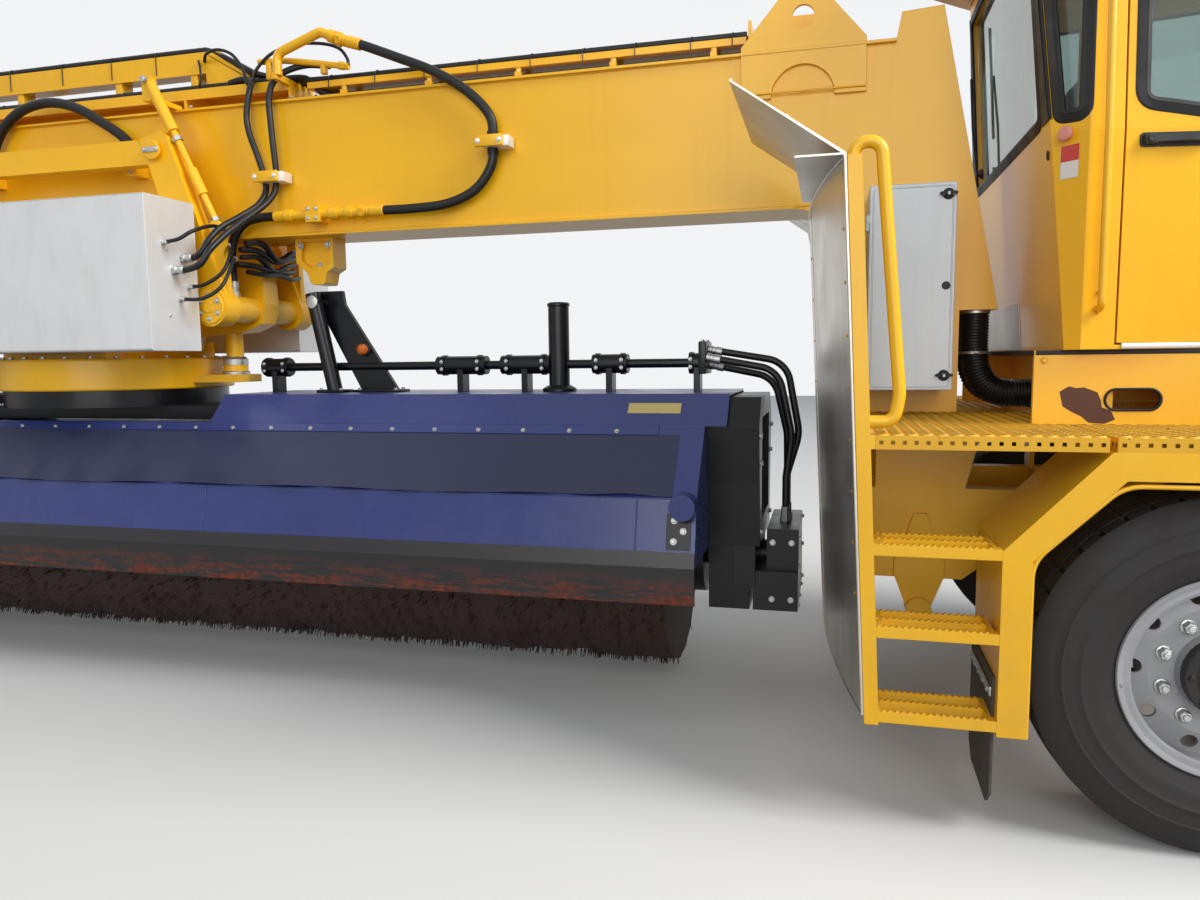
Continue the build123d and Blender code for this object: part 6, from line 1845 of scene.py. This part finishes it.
def makeStopButton():
    side = -1
    button = bmesh.new()
    spot = onCabCorner(4.5395, cab["buttonZ"], side)
    addTurned(
        button, spot, cornerFacing[side],
        [
            (0, 0.0185), (0.004, 0.018), (0.010, 0.0165), (0.0125, 0.0225), (0.019, 0.024), (0.024, 0.021),
            (0.026, 0.012)
        ],
        28
    )
    newPiece("stopButton", button, "fadedRed", smoothAngle=40)
    label = bmesh.new()
    low, high = cab["labelLow"], cab["labelHigh"]
    outline = [
        onCabCorner(x, z, side, 0.0006) for x, z in ((4.524, low), (4.567, low), (4.567, high), (4.524, high))
    ]
    addPrism(label, outline, cornerFacing[side] * 0.0008)
    newPiece("blankLabel", label, "whiteVinyl")
    band = bmesh.new()
    middle = cab["labelLow"] + (cab["labelHigh"] - cab["labelLow"]) * 0.52
    outline = [
        onCabCorner(x, z, side, 0.0016)
        for x, z in (
            (4.5243, middle), (4.5667, middle), (4.5667, cab["labelHigh"] - 0.0004),
            (4.5243, cab["labelHigh"] - 0.0004)
        )
    ]
    addPrism(band, outline, cornerFacing[side] * 0.0006)
    newPiece("blankLabelRed", band, "red")


def makeCabSeals():
    panel = bmesh.new()
    outline = [onCabRear(y, z, 0.0006) for y, z in ((0.79, 1.515), (-0.18, 1.515), (-0.18, 1.70), (0.79, 1.70))]
    addPrism(panel, outline, rearFacing * 0.0025)
    newPiece("rearKickPlate", panel, "aluminium")
    grommet = bmesh.new()
    for s in (-1, 1):
        addTurned(
            grommet, onCabRear(s * 0.742, 2.155), rearFacing,
            [(0, 0.0165), (0.003, 0.016), (0.004, 0.011), (0.0015, 0.0095)], 20
        )
    # slot edging on the pedestal and the seal between pedestal and cab
    for s in (-1, 1):
        loop = []
        for k in range(28):
            a = 2 * math.pi * k / 28
            x = 4.77 + (cab["slotRun"] if math.cos(a) > 0 else -cab["slotRun"]) + math.cos(a) * cab["slotRadius"]
            loop.append(Vector((x, s * 0.8105, 1.345 + math.sin(a) * cab["slotRadius"])))
        addTrim(
            grommet, loop, (0, s, 0),
            [(-0.004, -0.012), (-0.004, 0.004), (0.0, 0.006), (0.004, 0.004), (0.004, 0.0002), (0.0, -0.012)]
        )
        addBlock(
            grommet, (4.474, min(s * 0.79, s * 0.8125), 1.4935), (6.09, max(s * 0.79, s * 0.8125), 1.5095),
            0.001
        )
    addBlock(grommet, (4.4675, -0.805, 1.4935), (4.4735, 0.805, 1.5095), 0.001)
    newPiece("cabSeals", grommet, "seal")


def makePrimerPatch():
    patch = bmesh.new()
    edge = [
        (4.521, 1.406), (4.549, 1.424), (4.572, 1.418), (4.595, 1.4205), (4.6355, 1.404), (4.6466, 1.376),
        (4.650, 1.354),
        (4.678, 1.343), (4.691, 1.314), (4.6595, 1.300), (4.6134, 1.303), (4.588, 1.325), (4.558, 1.340),
        (4.532, 1.358),
    ]
    addPrism(patch, [(x + 0.03, -0.8103, z - 0.035) for x, z in edge], (0, -0.0006, 0))
    newPiece("primerPatch", patch, "primer", smoothAngle=60)


def makeWipers():
    # rear wiper at the far side of the window, and its motor
    wiper = bmesh.new()
    addTurned(
        wiper, onCabRear(0.50, 2.34, 0.0), rearFacing,
        [(0, 0.024), (0.012, 0.022), (0.018, 0.014), (0.03, 0.010)], 20
    )
    addSweep(
        wiper, [onCabRear(0.50, 2.34, 0.026), onCabRear(0.515, 2.55, 0.032), onCabRear(0.53, 2.78, 0.026)],
        0.0055, 8
    )
    addSweep(
        wiper, [onCabRear(0.545, 2.50, 0.016), onCabRear(0.527, 2.75, 0.016), onCabRear(0.512, 2.99, 0.016)],
        0.0065, 8
    )
    for y in (-0.26, 0.24):
        base = onCabNose(y, 1.815)
        facing = Vector((base.x - 5.5404, y, 0)).normalized()
        addTurned(wiper, base, facing, [(0, 0.024), (0.010, 0.022), (0.014, 0.014), (0.026, 0.010)], 20)
        arm = [onCabNose(y + dy, z, 0.024) for dy, z in ((0, 1.815), (0.09, 2.05), (0.21, 2.33))]
        addSweep(wiper, softLine(arm, 4), 0.0055, 8)
        blade = [onCabNose(y + dy, z, 0.013) for dy, z in ((0.08, 2.02), (0.17, 2.25), (0.25, 2.48), (0.32, 2.70))]
        addSweep(wiper, softLine(blade, 4), 0.0065, 8)
    newPiece("wipers", wiper, "plastic")


def makeGutterAndScrews():
    gutter = bmesh.new()
    for s in (-1, 1):
        addSweep(gutter, [onCabSide(x, 3.140, s, 0.006) for x in (4.615, 5.0, 5.5, 6.03)], 0.0065, 8)
    addSweep(gutter, [onCabRear(y, 3.140, 0.006) for y in (-0.60, 0, 0.60)], 0.0065, 8)
    newPiece("rainGutter", gutter, "yellow")
    screws = bmesh.new()
    for s in (-1, 1):
        for x in (4.50, 5.0, 5.5, 6.05):
            addBolt(screws, (x, s * 0.8125, 1.475), (0, s, 0), 0.008)
        for z in (1.655, 1.715, 1.945, 2.005):
            for dx in (-0.045, 0.045):
                addTurned(
                    screws, onCabSide(5.793 + dx * 0.9, z, s, 0.004), sideFacing[s],
                    [(0, 0.0055), (0.0018, 0.005), (0.003, 0.0025)], 12
                )
        for z in (1.66, 2.87):
            for dz in (-0.02, 0.02):
                addBolt(screws, onCabSide(4.638, z + dz * 1.6, s, 0.0), sideFacing[s], 0.0055, False)
    newPiece("cabScrews", screws, "yellow")


duct = {
    "radius": 0.056,
    "pitch": 0.0125,
    "rise": 0.0045,
}


def makeDucts():
    mesh = bmesh.new()
    for y in (-0.075, 0.075):
        centre = softLine([
            (4.39, y, 1.68), (4.39, y, 1.60), (4.3905, y, 1.52), (4.402, y, 1.437), (4.437, y, 1.373),
            (4.495, y, 1.341), (4.56, y, 1.3355), (4.64, y, 1.335), (4.70, y, 1.335),
        ], 12)
        line = [centre[0]]
        for p in centre[1:]:
            while (p - line[-1]).length >= duct["pitch"] / 2:
                line.append(line[-1] + (p - line[-1]).normalized() * duct["pitch"] / 2)
        rings = []
        across = None
        for i, p in enumerate(line):
            way = (line[min(i + 1, len(line) - 1)] - line[max(i - 1, 0)]).normalized()
            across = (across - way * across.dot(way)).normalized() if across else Vector((0, 1, 0))
            up = way.cross(across)
            for shift, r in (
                (0.0, duct["radius"] - (duct["rise"] if i % 2 else 0)),
                (0.45, duct["radius"] - (duct["rise"] if i % 2 else 0))
            ):
                q = p + way * duct["pitch"] / 2 * shift
                rings.append(
                    [
                        q + (across * math.cos(a) + up * math.sin(a)) * r
                        for a in (2 * math.pi * k / 28 for k in range(28))
                    ]
                )
        addRings(mesh, rings)
    hose = newPiece("ribbedDucts", mesh, "hose", smoothAngle=60)
    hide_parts("duct_hose")
    straps = bmesh.new()
    addTurned(
        straps, (4.605, -0.075, 1.335), (1, 0, 0),
        [(0, 0.0555), (0.001, 0.0590), (0.021, 0.0590), (0.022, 0.0555)], 32
    )
    addBlock(straps, (4.608, -0.143, 1.325), (4.624, -0.131, 1.345), 0.002)
    newPiece("tealStrap", straps, "teal")
    clips = bmesh.new()
    for y in (-0.075, 0.075):
        for z in (1.667, 1.50):
            addTurned(
                clips, (4.39, y, z), (0, 0, 1),
                [(0, 0.0560), (0.0005, 0.0578), (0.0105, 0.0578), (0.011, 0.0560)], 32
            )
        addBlock(
            clips, (4.383, y - 0.070 if y < 0 else y + 0.056, 1.502),
            (4.397, y - 0.056 if y < 0 else y + 0.070, 1.511), 0.001
        )
    newPiece("ductClips", clips, "zinc")


makeCabRubbers()
makeStopButton()
makeCabSeals()
makePrimerPatch()
makeWipers()
makeGutterAndScrews()
makeDucts()
print("stage: cab fittings")

# Lamps, mirrors and bumper

lampShape = {
    "beaconX": 4.95,
    "beaconY": 0.42,
    "beaconBase": 3.35,
}


def makeLamps():
    domes = bmesh.new()
    bases = bmesh.new()
    clear = bmesh.new()
    red = bmesh.new()
    bezels = bmesh.new()
    for side in (-1, 1):
        spot = (lampShape["beaconX"], side * lampShape["beaconY"], lampShape["beaconBase"])
        addTurned(bases, spot, (0, 0, 1), [
            (0, 0.0745), (0.006, 0.0745), (0.010, 0.066), (0.028, 0.064), (0.034, 0.0735), (0.046, 0.0735),
            (0.048, 0.068),
        ], 40)
        profile = [(0.0465, 0.0655)]
        for k in range(12):
            share = k / 11
            height = 0.050 + 0.139 * share
            if share < 0.8:
                shrink = 0.066 - 0.009 * share
            else:
                shrink = 0.0588 * math.sqrt(max(0.0, 1 - ((share - 0.8) / 0.2) ** 2)) + 0.002
            profile.append((height, shrink))
            if share < 0.75:
                profile.append((height + 0.005, shrink - 0.0022))
        addTurned(domes, spot, (0, 0, 1), profile, 40)
        low, high = sorted((side * 0.62, side * 0.86))
        addBlock(bezels, (6.4505, low, 0.615), (6.486, high, 0.765), 0.006)
        for middle in (low + 0.063, high - 0.063):
            addTurned(
                bezels, (6.484, middle, 0.69), (1, 0, 0),
                [(0, 0.060), (0.010, 0.060), (0.013, 0.056), (0.010, 0.053)], 36
            )
            addTurned(
                clear, (6.485, middle, 0.69), (1, 0, 0),
                [(0, 0.0525), (0.006, 0.0520), (0.0105, 0.042), (0.0135, 0.026), (0.0148, 0.008)], 36
            )
        low, high = sorted((side * 0.92, side * 1.18))
        addBlock(bases, (-6.574, low, 0.695), (-6.5605, high, 0.825), 0.003)
        width = (high - low - 0.012) / 3
        for k in range(3):
            y = low + 0.004 + k * (width + 0.002)
            outward = k if side > 0 else 2 - k
            addBlock((clear, red, domes)[outward], (-6.595, y, 0.700), (-6.5735, y + width, 0.820), 0.004)
    amber = newPiece("amberLenses", domes, "amber", smoothAngle=50)
    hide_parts("lamps")
    newPiece("lampBases", bases, "plastic", smoothAngle=40)
    newPiece("headlampLenses", clear, "headlamp", smoothAngle=50)
    newPiece("redLenses", red, "redLens", smoothAngle=50)
    newPiece("headlampBezels", bezels, "plastic", smoothAngle=40)


def makeMirrors():
    glass = bmesh.new()
    rims = bmesh.new()
    for side in (-1, 1):
        low, high = sorted((side * 1.022, side * 1.228))
        loop = roundedLoop(
            [Vector((6.0398, y, z)) for y, z in ((low, 2.152), (high, 2.152), (high, 2.508), (low, 2.508))],
            0.03
        )
        addRings(glass, [loop, [p + Vector((-0.0022, 0, 0)) for p in loop]])
        addTrim(
            rims, loop, (-1, 0, 0),
            [(-0.004, -0.001), (-0.004, 0.0055), (0.0, 0.0075), (0.005, 0.0045), (0.006, -0.001)]
        )
    newPiece("mirrorGlass", glass, "mirror")
    newPiece("mirrorRims", rims, "seal")


def makeFrontDetails():
    bolts = bmesh.new()
    for side in (-1, 1):
        for y in (0.47, 0.56):
            for z in (0.57, 0.81):
                addBolt(bolts, (6.4503, side * y, z), (1, 0, 0), 0.014)
        for y in (0.98, 1.18):
            addBolt(bolts, (6.4503, side * y, 0.69), (1, 0, 0), 0.012)
    newPiece("bumperBolts", bolts, "zinc")


makeLamps()
makeMirrors()
makeFrontDetails()
print("stage: lamps, mirrors and bumper")

# Rear module

module = {
    "half": 1.20,
    "doorRear": -6.16,
    "doorFront": -4.62,
    "doorLow": 1.40,
    "doorHigh": 2.85,
    "louvres": 8,
    "louvreTop": 2.67,
    "louvrePitch": 0.07,
    "latchX": -6.075,
}


def makeEngineDoors():
    for name, side in (("right", -1), ("left", 1)):
        blades = bmesh.new()
        for i in range(module["louvres"]):
            z = module["louvreTop"] - i * module["louvrePitch"]
            y = side * module["half"]
            outline = [
                (y, z + 0.036), (y + side * 0.020, z + 0.012), (y + side * 0.020, z + 0.007),
                (y + side * 0.016, z + 0.007), (y, z + 0.028)
            ]
            addPrism(blades, [(-5.965, yy, zz) for yy, zz in outline], (0.71, 0, 0))
        newPiece("louvres_" + name, blades, "yellow", "engine_door_" + name)
        seal = bmesh.new()
        inset = 0.010
        loop = roundedLoop([
            Vector((x, side * (module["half"] + 0.0003), z)) for x, z in (
                (module["doorRear"] + inset, module["doorLow"] + inset),
                (module["doorFront"] - inset, module["doorLow"] + inset),
                (module["doorFront"] - inset, module["doorHigh"] - inset),
                (module["doorRear"] + inset, module["doorHigh"] - inset),
            )
        ], 0.02)
        addTrim(seal, loop, (0, side, 0), [(-0.006, 0), (-0.003, 0.0022), (0.003, 0.0022), (0.006, 0)])
        newPiece("engineDoorFold_" + name, seal, "yellow", "engine_door_" + name)
        latches = bmesh.new()
        for z in (1.62, 2.62):
            spot = Vector((module["latchX"], side * module["half"], z))
            out = Vector((0, side, 0))
            addBlock(
                latches, (spot.x - 0.055, min(spot.y, spot.y + side * 0.004), z - 0.045),
                (spot.x + 0.055, max(spot.y, spot.y + side * 0.004), z + 0.045), 0.0015
            )
            addTurned(latches, spot + out * 0.003, out, [(0, 0.016), (0.008, 0.0155), (0.012, 0.012)], 20)
            addBlock(
                latches, (spot.x - 0.045, min(spot.y + side * 0.011, spot.y + side * 0.019), z - 0.008),
                (spot.x + 0.045, max(spot.y + side * 0.011, spot.y + side * 0.019), z + 0.008), 0.003
            )
        newPiece("engineDoorLatches_" + name, latches, "chrome", "engine_door_" + name)


def makeModuleTrim():
    bolts = bmesh.new()
    eyes = bmesh.new()
    for side in (-1, 1):
        for x in (-6.36, -6.30, -4.54, -4.48):
            for z in (1.28, 1.75, 2.25, 2.75):
                if x > -4.5 and z > 2.7:
                    continue
                addBolt(bolts, (x, side * module["half"], z), (0, side, 0), 0.0085)
        for x in (-6.15, -4.68):
            ring = [
                (x + 0.030 * math.cos(a), side * 0.98, 3.046 + 0.030 * math.sin(a))
                for a in (2 * math.pi * i / 28 for i in range(28))
            ]
            addSweep(eyes, ring, 0.0085, 10, closed=True)
            addTurned(eyes, (x, side * 0.98, 3.0195), (0, 0, 1), [(0, 0.026), (0.005, 0.026), (0.008, 0.018)], 24)
    for y in (-1.1, -0.85, 0.85, 1.1):
        for z in (1.32, 1.42, 2.6, 2.75):
            addBolt(bolts, (-6.4198, y, z), (-1, 0, 0), 0.0085)
    for k in range(12):
        a = 2 * math.pi * (k + 0.5) / 12
        addBolt(bolts, (-5.45 + 0.115 * math.cos(a), -0.70 + 0.115 * math.sin(a), 3.0202), (0, 0, 1), 0.006)
    newPiece("moduleBolts", bolts, "zinc")
    newPiece("liftingEyes", eyes, "zinc")
    stack = bmesh.new()
    addTurned(
        stack, (-5.45, -0.70, 3.0195), (0, 0, 1), [(0, 0.128), (0.004, 0.128), (0.007, 0.122), (0.008, 0.0605)],
        40
    )
    for z in (3.06, 3.22):
        addTurned(
            stack, (-5.45, -0.70, z), (0, 0, 1),
            [(0, 0.0602), (0.001, 0.0635), (0.013, 0.0635), (0.014, 0.0602)], 40
        )
        addBlock(stack, (-5.462, -0.782, z), (-5.438, -0.762, z + 0.014), 0.002)
    newPiece("exhaustBands", stack, "zinc")
    mesh = bmesh.new()
    # woven guard behind the grille's bars
    for k in range(60):
        y = -0.735 + k * 0.02492
        addSweep(mesh, [(-6.395, y, 1.515), (-6.395, y, 2.485)], 0.0016, 5)
    newPiece("guardWire", mesh, "zinc", smoothAngle=60)
    cap = bmesh.new()
    addTurned(
        cap, (-4.75, 0.90, 3.0195), (0, 0, 1),
        [(0, 0.052), (0.012, 0.052), (0.014, 0.060), (0.036, 0.060), (0.042, 0.054), (0.043, 0.02)], 32
    )
    newPiece("fillerCap", cap, "plastic")


def makeBlastDetails():
    bolts = bmesh.new()
    rims = bmesh.new()
    for x0, x1, y0, y1 in ((-6.09, -5.66, -1.15, 1.15),):
        loop = roundedLoop(
            [
                Vector((x, y, 0.2335))
                for x, y in (
                    (x0 + 0.006, y0 + 0.006), (x1 - 0.006, y0 + 0.006), (x1 - 0.006, y1 - 0.006),
                    (x0 + 0.006, y1 - 0.006)
                )
            ],
            0.012
        )
        addSweep(rims, loop, 0.0055, 8, closed=True)
    for k in range(16):
        y = -1.05 + k * 0.14
        for x, way in ((-5.66, 1), (-6.09, -1)):
            addTurned(bolts, (x, y, 0.275), (way, 0, 0), [(0, 0.0075), (0.002, 0.0073), (0.004, 0.004)], 10)
    newPiece("nozzleRim", rims, "stainless", smoothAngle=50)
    newPiece("nozzleRivets", bolts, "zinc")


makeEngineDoors()
makeModuleTrim()
makeBlastDetails()
print("stage: rear module")

# Driver's seat and console

seat = {
    "cushion": ((4.792, 1.827), (5.278, 1.827), (5.278, 1.943), (4.792, 1.943)),
    "back": ((4.803, 1.962), (4.888, 1.962), (4.822, 2.622), (4.763, 2.622)),
    "cushionHalf": 0.248,
    "backHalf": 0.238,
    "voxel": 0.007,
    "pressure": 4.0,
    "swell": 0.011,  # metres a point may move out
    "fill": 0.75,
    "channelDepth": 0.007,
}


def roundedSlab(outline, half, ease):
    # a block with soft corners in both directions, from its outline seen from the side
    corners = roundedLoop([Vector((x, 0, z)) for x, z in outline], ease)
    middle = sum(corners, Vector()) / len(corners)
    mesh = bmesh.new()
    rings = []
    for y, inset in ((-half, 0.55), (-half + ease * 0.12, 0.3), (-half + ease * 0.5, 0.08), (-half + ease, 0.0)):
        rings.append([p + (middle - p).normalized() * ease * inset + Vector((0, y, 0)) for p in corners])
    rings += [[p + Vector((0, -half + ease + (half - ease) * k / 4, 0)) for p in corners] for k in range(1, 8)]
    rings += [[Vector((p.x, -p.y, p.z)) for p in ring] for ring in rings[3::-1]]
    addRings(mesh, rings)
    return mesh


def swollenPad(name, mesh, channel):
    # remeshed, blown up as cloth with a little pressure, then stitched
    data = bpy.data.meshes.new(name)
    bmesh.ops.recalc_face_normals(mesh, faces=mesh.faces[:])
    mesh.to_mesh(data)
    mesh.free()
    pad = bpy.data.objects.new(name, data)
    bpy.context.scene.collection.objects.link(pad)
    remesh = pad.modifiers.new("even", "REMESH")
    remesh.mode = "VOXEL"
    remesh.voxel_size = seat["voxel"]
    applyModifiers(pad)
    rest = [v.co.copy() for v in pad.data.vertices]
    cloth = pad.modifiers.new("swell", "CLOTH")
    cloth.settings.use_pressure = True
    cloth.settings.uniform_pressure_force = seat["pressure"]
    cloth.settings.effector_weights.gravity = 0
    for frame_ in range(1, 21):
        bpy.context.scene.frame_set(frame_)
    applyModifiers(pad)
    bpy.context.scene.frame_set(1)
    for v, before in zip(pad.data.vertices, rest):
        move = v.co - before
        if move.length > seat["swell"]:
            v.co = before + move.normalized() * seat["swell"]
    # sewn channels, pressed in after the swelling
    for v, before in zip(pad.data.vertices, rest):
        v.co += channel(before)
    smooth = pad.modifiers.new("fine", "SUBSURF")
    smooth.levels = 1
    smooth.render_levels = 1
    applyModifiers(pad)
    for polygon in pad.data.polygons:
        polygon.use_smooth = True
    return pad


def applyModifiers(obj):
    depsgraph = bpy.context.evaluated_depsgraph_get()
    depsgraph.update()
    baked = bpy.data.meshes.new_from_object(obj.evaluated_get(depsgraph))
    obj.modifiers.clear()
    obj.data = baked


def pressedLine(distance):
    return math.exp(-(distance / 0.007) ** 2)


def cushionChannel(p):
    if p.z < 1.90:
        return Vector((0, 0, 0))
    across = max(
        pressedLine(abs(p.y) - 0.165),
        *(pressedLine(p.x - x) if abs(p.y) < 0.165 else 0.0 for x in (4.90, 5.00, 5.10, 5.19))
    )
    return Vector((0, 0, -seat["channelDepth"] * across))


def backChannel(p):
    face = 4.888 - (p.z - 1.962) * 0.1
    if p.x < face - 0.03:
        return Vector((0, 0, 0))
    across = max(
        pressedLine(abs(p.y) - 0.155),
        *(pressedLine(p.z - z) if abs(p.y) < 0.155 else 0.0 for z in (2.06, 2.17, 2.28, 2.39, 2.50))
    )
    return Vector((-seat["channelDepth"] * across, 0, 0))


def makeSeat():
    pads = (
        ("seatCushion", roundedSlab(seat["cushion"], seat["cushionHalf"], 0.038), cushionChannel),
        ("seatBack", roundedSlab(seat["back"], seat["backHalf"], 0.028), backChannel),
    )
    for name, mesh, channel in pads:
        pad = swollenPad(name, mesh, channel)
        pad.data.materials.clear()
        pad.data.materials.append(finishes["cloth"])
        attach(pad, "chassis")
    base = bmesh.new()
    addBlock(base, (4.86, -0.145, 1.556), (5.24, 0.145, 1.585), 0.006)
    addBlock(base, (4.86, -0.145, 1.775), (5.24, 0.145, 1.812), 0.006)
    # bellows between the suspension's two frames
    rings = []
    for k in range(11):
        grow = 0.0 if k % 2 else 0.013
        z = 1.585 + 0.19 * k / 10
        rings.append([Vector((x, y, z)) for x, y in (
            (4.885 - grow, -0.12 - grow), (5.215 + grow, -0.12 - grow), (5.215 + grow, 0.12 + grow),
            (4.885 - grow, 0.12 + grow),
        )])
    addRings(base, rings)
    for y in (-0.115, 0.115):
        addSweep(
            base, softLine([(4.875, y, 1.80), (4.815, y, 1.83), (4.795, y, 1.90), (4.785, y, 2.05)]), 0.011, 12
        )
    addBlock(base, (4.767, -0.13, 1.95), (4.795, 0.13, 2.06), 0.004)
    frameBase = newPiece("seatFrame", base, "plastic")
    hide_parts("driver_seat")
    belt = bmesh.new()
    for y in (-0.262, 0.262):
        addBlock(belt, (4.87, y - 0.006, 1.80), (4.90, y + 0.006, 1.93), 0.004)
    newPiece("beltBuckles", belt, "red")


console = {
    "wheelCentre": (5.64, 0.0, 2.245),
    "wheelFacing": (-160, 0, 130),
    "ring": 0.19,
    "dashLow": (5.74, 2.115),
    "dashHigh": (5.90, 2.255),
}


def makeConsole():
    centre, facing = Vector(console["wheelCentre"]), Vector(console["wheelFacing"]).normalized()
    sideways = Vector((0, 1, 0))
    up = facing.cross(sideways).normalized()
    spokes = bmesh.new()
    for degrees in (90, 215, 325):
        a = math.radians(degrees)
        way = sideways * math.cos(a) + up * math.sin(a)
        addSweep(
            spokes,
            softLine(
                [
                    centre - facing * 0.022 + way * 0.03, centre - facing * 0.02 + way * 0.09,
                    centre + way * console["ring"]
                ]
            ),
            0.0085, 10
        )
    addTurned(
        spokes, centre - facing * 0.045, facing, [(0, 0.045), (0.035, 0.042), (0.042, 0.034), (0.045, 0.012)],
        32
    )
    newPiece("wheelSpokes", spokes, "plastic", smoothAngle=45)
    low, high = Vector((console["dashLow"][0], 0, console["dashLow"][1])), Vector(
        (console["dashHigh"][0], 0, console["dashHigh"][1])
    )
    slope = (high - low).normalized()
    out = Vector((-slope.z, 0, slope.x))
    dials = bmesh.new()
    rims = bmesh.new()
    keys = bmesh.new()
    for y, radius in ((-0.09, 0.042), (0.0, 0.030), (0.09, 0.042)):
        spot = low + slope * 0.155 + Vector((0, y, 0)) + out * 0.0005
        addTurned(
            rims, spot, out,
            [(0, radius + 0.006), (0.008, radius + 0.005), (0.010, radius), (0.004, radius - 0.001)], 36
        )
        addTurned(dials, spot, out, [(0.0015, radius - 0.001), (0.004, radius - 0.004)], 36)
    for k in range(14):
        y = -0.33 + (k % 7) * 0.027 + (0.48 if k > 6 else 0)
        spot = low + slope * 0.08 + Vector((0, y, 0)) + out * 0.0005
        addTurned(keys, spot, out, [(0, 0.0095), (0.006, 0.009), (0.008, 0.006)], 16)
        spot += slope * 0.045
        addTurned(rims, spot, out, [(0, 0.007), (0.003, 0.0068), (0.0045, 0.004)], 14)
    newPiece("dialRims", rims, "chrome", smoothAngle=45)
    newPiece("dialFaces", dials, "dial")
    newPiece("consoleKeys", keys, "grey")


makeSeat()
makeConsole()
print("stage: seat and console")


def placeCamera():
    yaw, pitch, roll = (math.radians(view[k]) for k in ("yaw", "pitch", "roll"))
    camera = bpy.data.cameras.new("photoCamera")
    camera.sensor_width = view["sensor"]
    camera.sensor_fit = "HORIZONTAL"
    camera.lens = view["focalPixels"] / view["pictureWidth"] * view["sensor"]
    camera.clip_end = 200
    obj = bpy.data.objects.new("photoCamera", camera)
    bpy.context.scene.collection.objects.link(obj)
    forward = Vector((-math.sin(yaw) * math.cos(pitch), math.cos(yaw) * math.cos(pitch), -math.sin(pitch)))
    right = Vector((math.cos(yaw), math.sin(yaw), 0))
    up = right.cross(forward)
    right, up = right * math.cos(roll) + up * math.sin(roll), up * math.cos(roll) - right * math.sin(roll)
    turn = Matrix((right, up, -forward)).transposed().to_4x4()
    obj.matrix_world = Matrix.Translation(view["place"]) @ turn
    bpy.context.scene.camera = obj


def areaLight(name, power, size, place, target):
    light = bpy.data.lights.new(name, "AREA")
    light.energy = power
    light.size = size
    obj = bpy.data.objects.new(name, light)
    bpy.context.scene.collection.objects.link(obj)
    obj.location = place
    way = Vector(target) - Vector(place)
    obj.rotation_euler = way.to_track_quat("-Z", "Y").to_euler()


def seenRays(tree, rays):
    # 1 for what the camera sees, directly, mirrored in metal or through glass
    mirrored = addNode(
        tree, "ShaderNodeMath", {0: rays.outputs["Is Camera Ray"], 1: rays.outputs["Is Glossy Ray"]},
        operation="MAXIMUM",
    ).outputs[0]
    return addNode(
        tree, "ShaderNodeMath", {0: mirrored, 1: rays.outputs["Is Transmission Ray"]}, operation="MAXIMUM",
    ).outputs[0]


def lightTheStage():
    scene = bpy.context.scene
    scene.view_settings.view_transform = "Standard"
    world = bpy.data.worlds.new("studioWorld")
    scene.world = world
    world.use_nodes = True
    tree = world.node_tree
    tree.nodes.clear()
    soft = addNode(
        tree, "ShaderNodeBackground",
        {"Color": hexColor(studio["worldColor"]), "Strength": studio["worldStrength"]},
    )
    seen = addNode(tree, "ShaderNodeBackground", {"Color": hexColor("#F2F4F6"), "Strength": 1.0})
    rays = addNode(tree, "ShaderNodeLightPath")
    direct = seenRays(tree, rays)
    mix = addNode(tree, "ShaderNodeMixShader", {0: direct, 1: soft.outputs[0], 2: seen.outputs[0]})
    output = addNode(tree, "ShaderNodeOutputWorld")
    tree.links.new(mix.outputs[0], output.inputs[0])
    areaLight("keyLight", studio["keyPower"], 8.0, (15.0, -3.0, 11.0), (1.0, 0.0, 1.4))
    areaLight("fillLight", studio["fillPower"], 13.0, (5.0, -18.0, 7.0), (1.5, 0.0, 1.2))
    areaLight("rimLight", studio["rimPower"], 10.0, (-14.0, 9.0, 9.0), (0.0, 0.0, 1.2))


def layFloor():
    half = studio["floorSize"] / 2
    mesh = bpy.data.meshes.new("studioFloor")
    mesh.from_pydata([(-half, -half, 0), (half, -half, 0), (half, half, 0), (-half, half, 0)], [], [(0, 1, 2, 3)])
    floor = bpy.data.objects.new("studioFloor", mesh)
    bpy.context.scene.collection.objects.link(floor)
    material, tree, shader = startMaterial("paleFloor")
    cloud = spread(tree, (2.0, 2.0, 2.0), 0.3, 0.7)
    pale = blendColors(tree, scaled(tree, cloud, 0.15), hexColor(studio["floorColor"]), hexColor("#CFCDC8"))
    rays = addNode(tree, "ShaderNodeLightPath")
    seen = seenRays(tree, rays)
    # what the object gets back from the floor is as little as from the gravel it stood on
    tree.links.new(
        blendColors(tree, seen, hexColor(studio["floorBounce"]), pale), shader.inputs["Base Color"],
    )
    shader.inputs["Roughness"].default_value = 0.9
    mesh.materials.append(material)


placeCamera()
lightTheStage()
layFloor()
print("stage: camera, lights and floor")
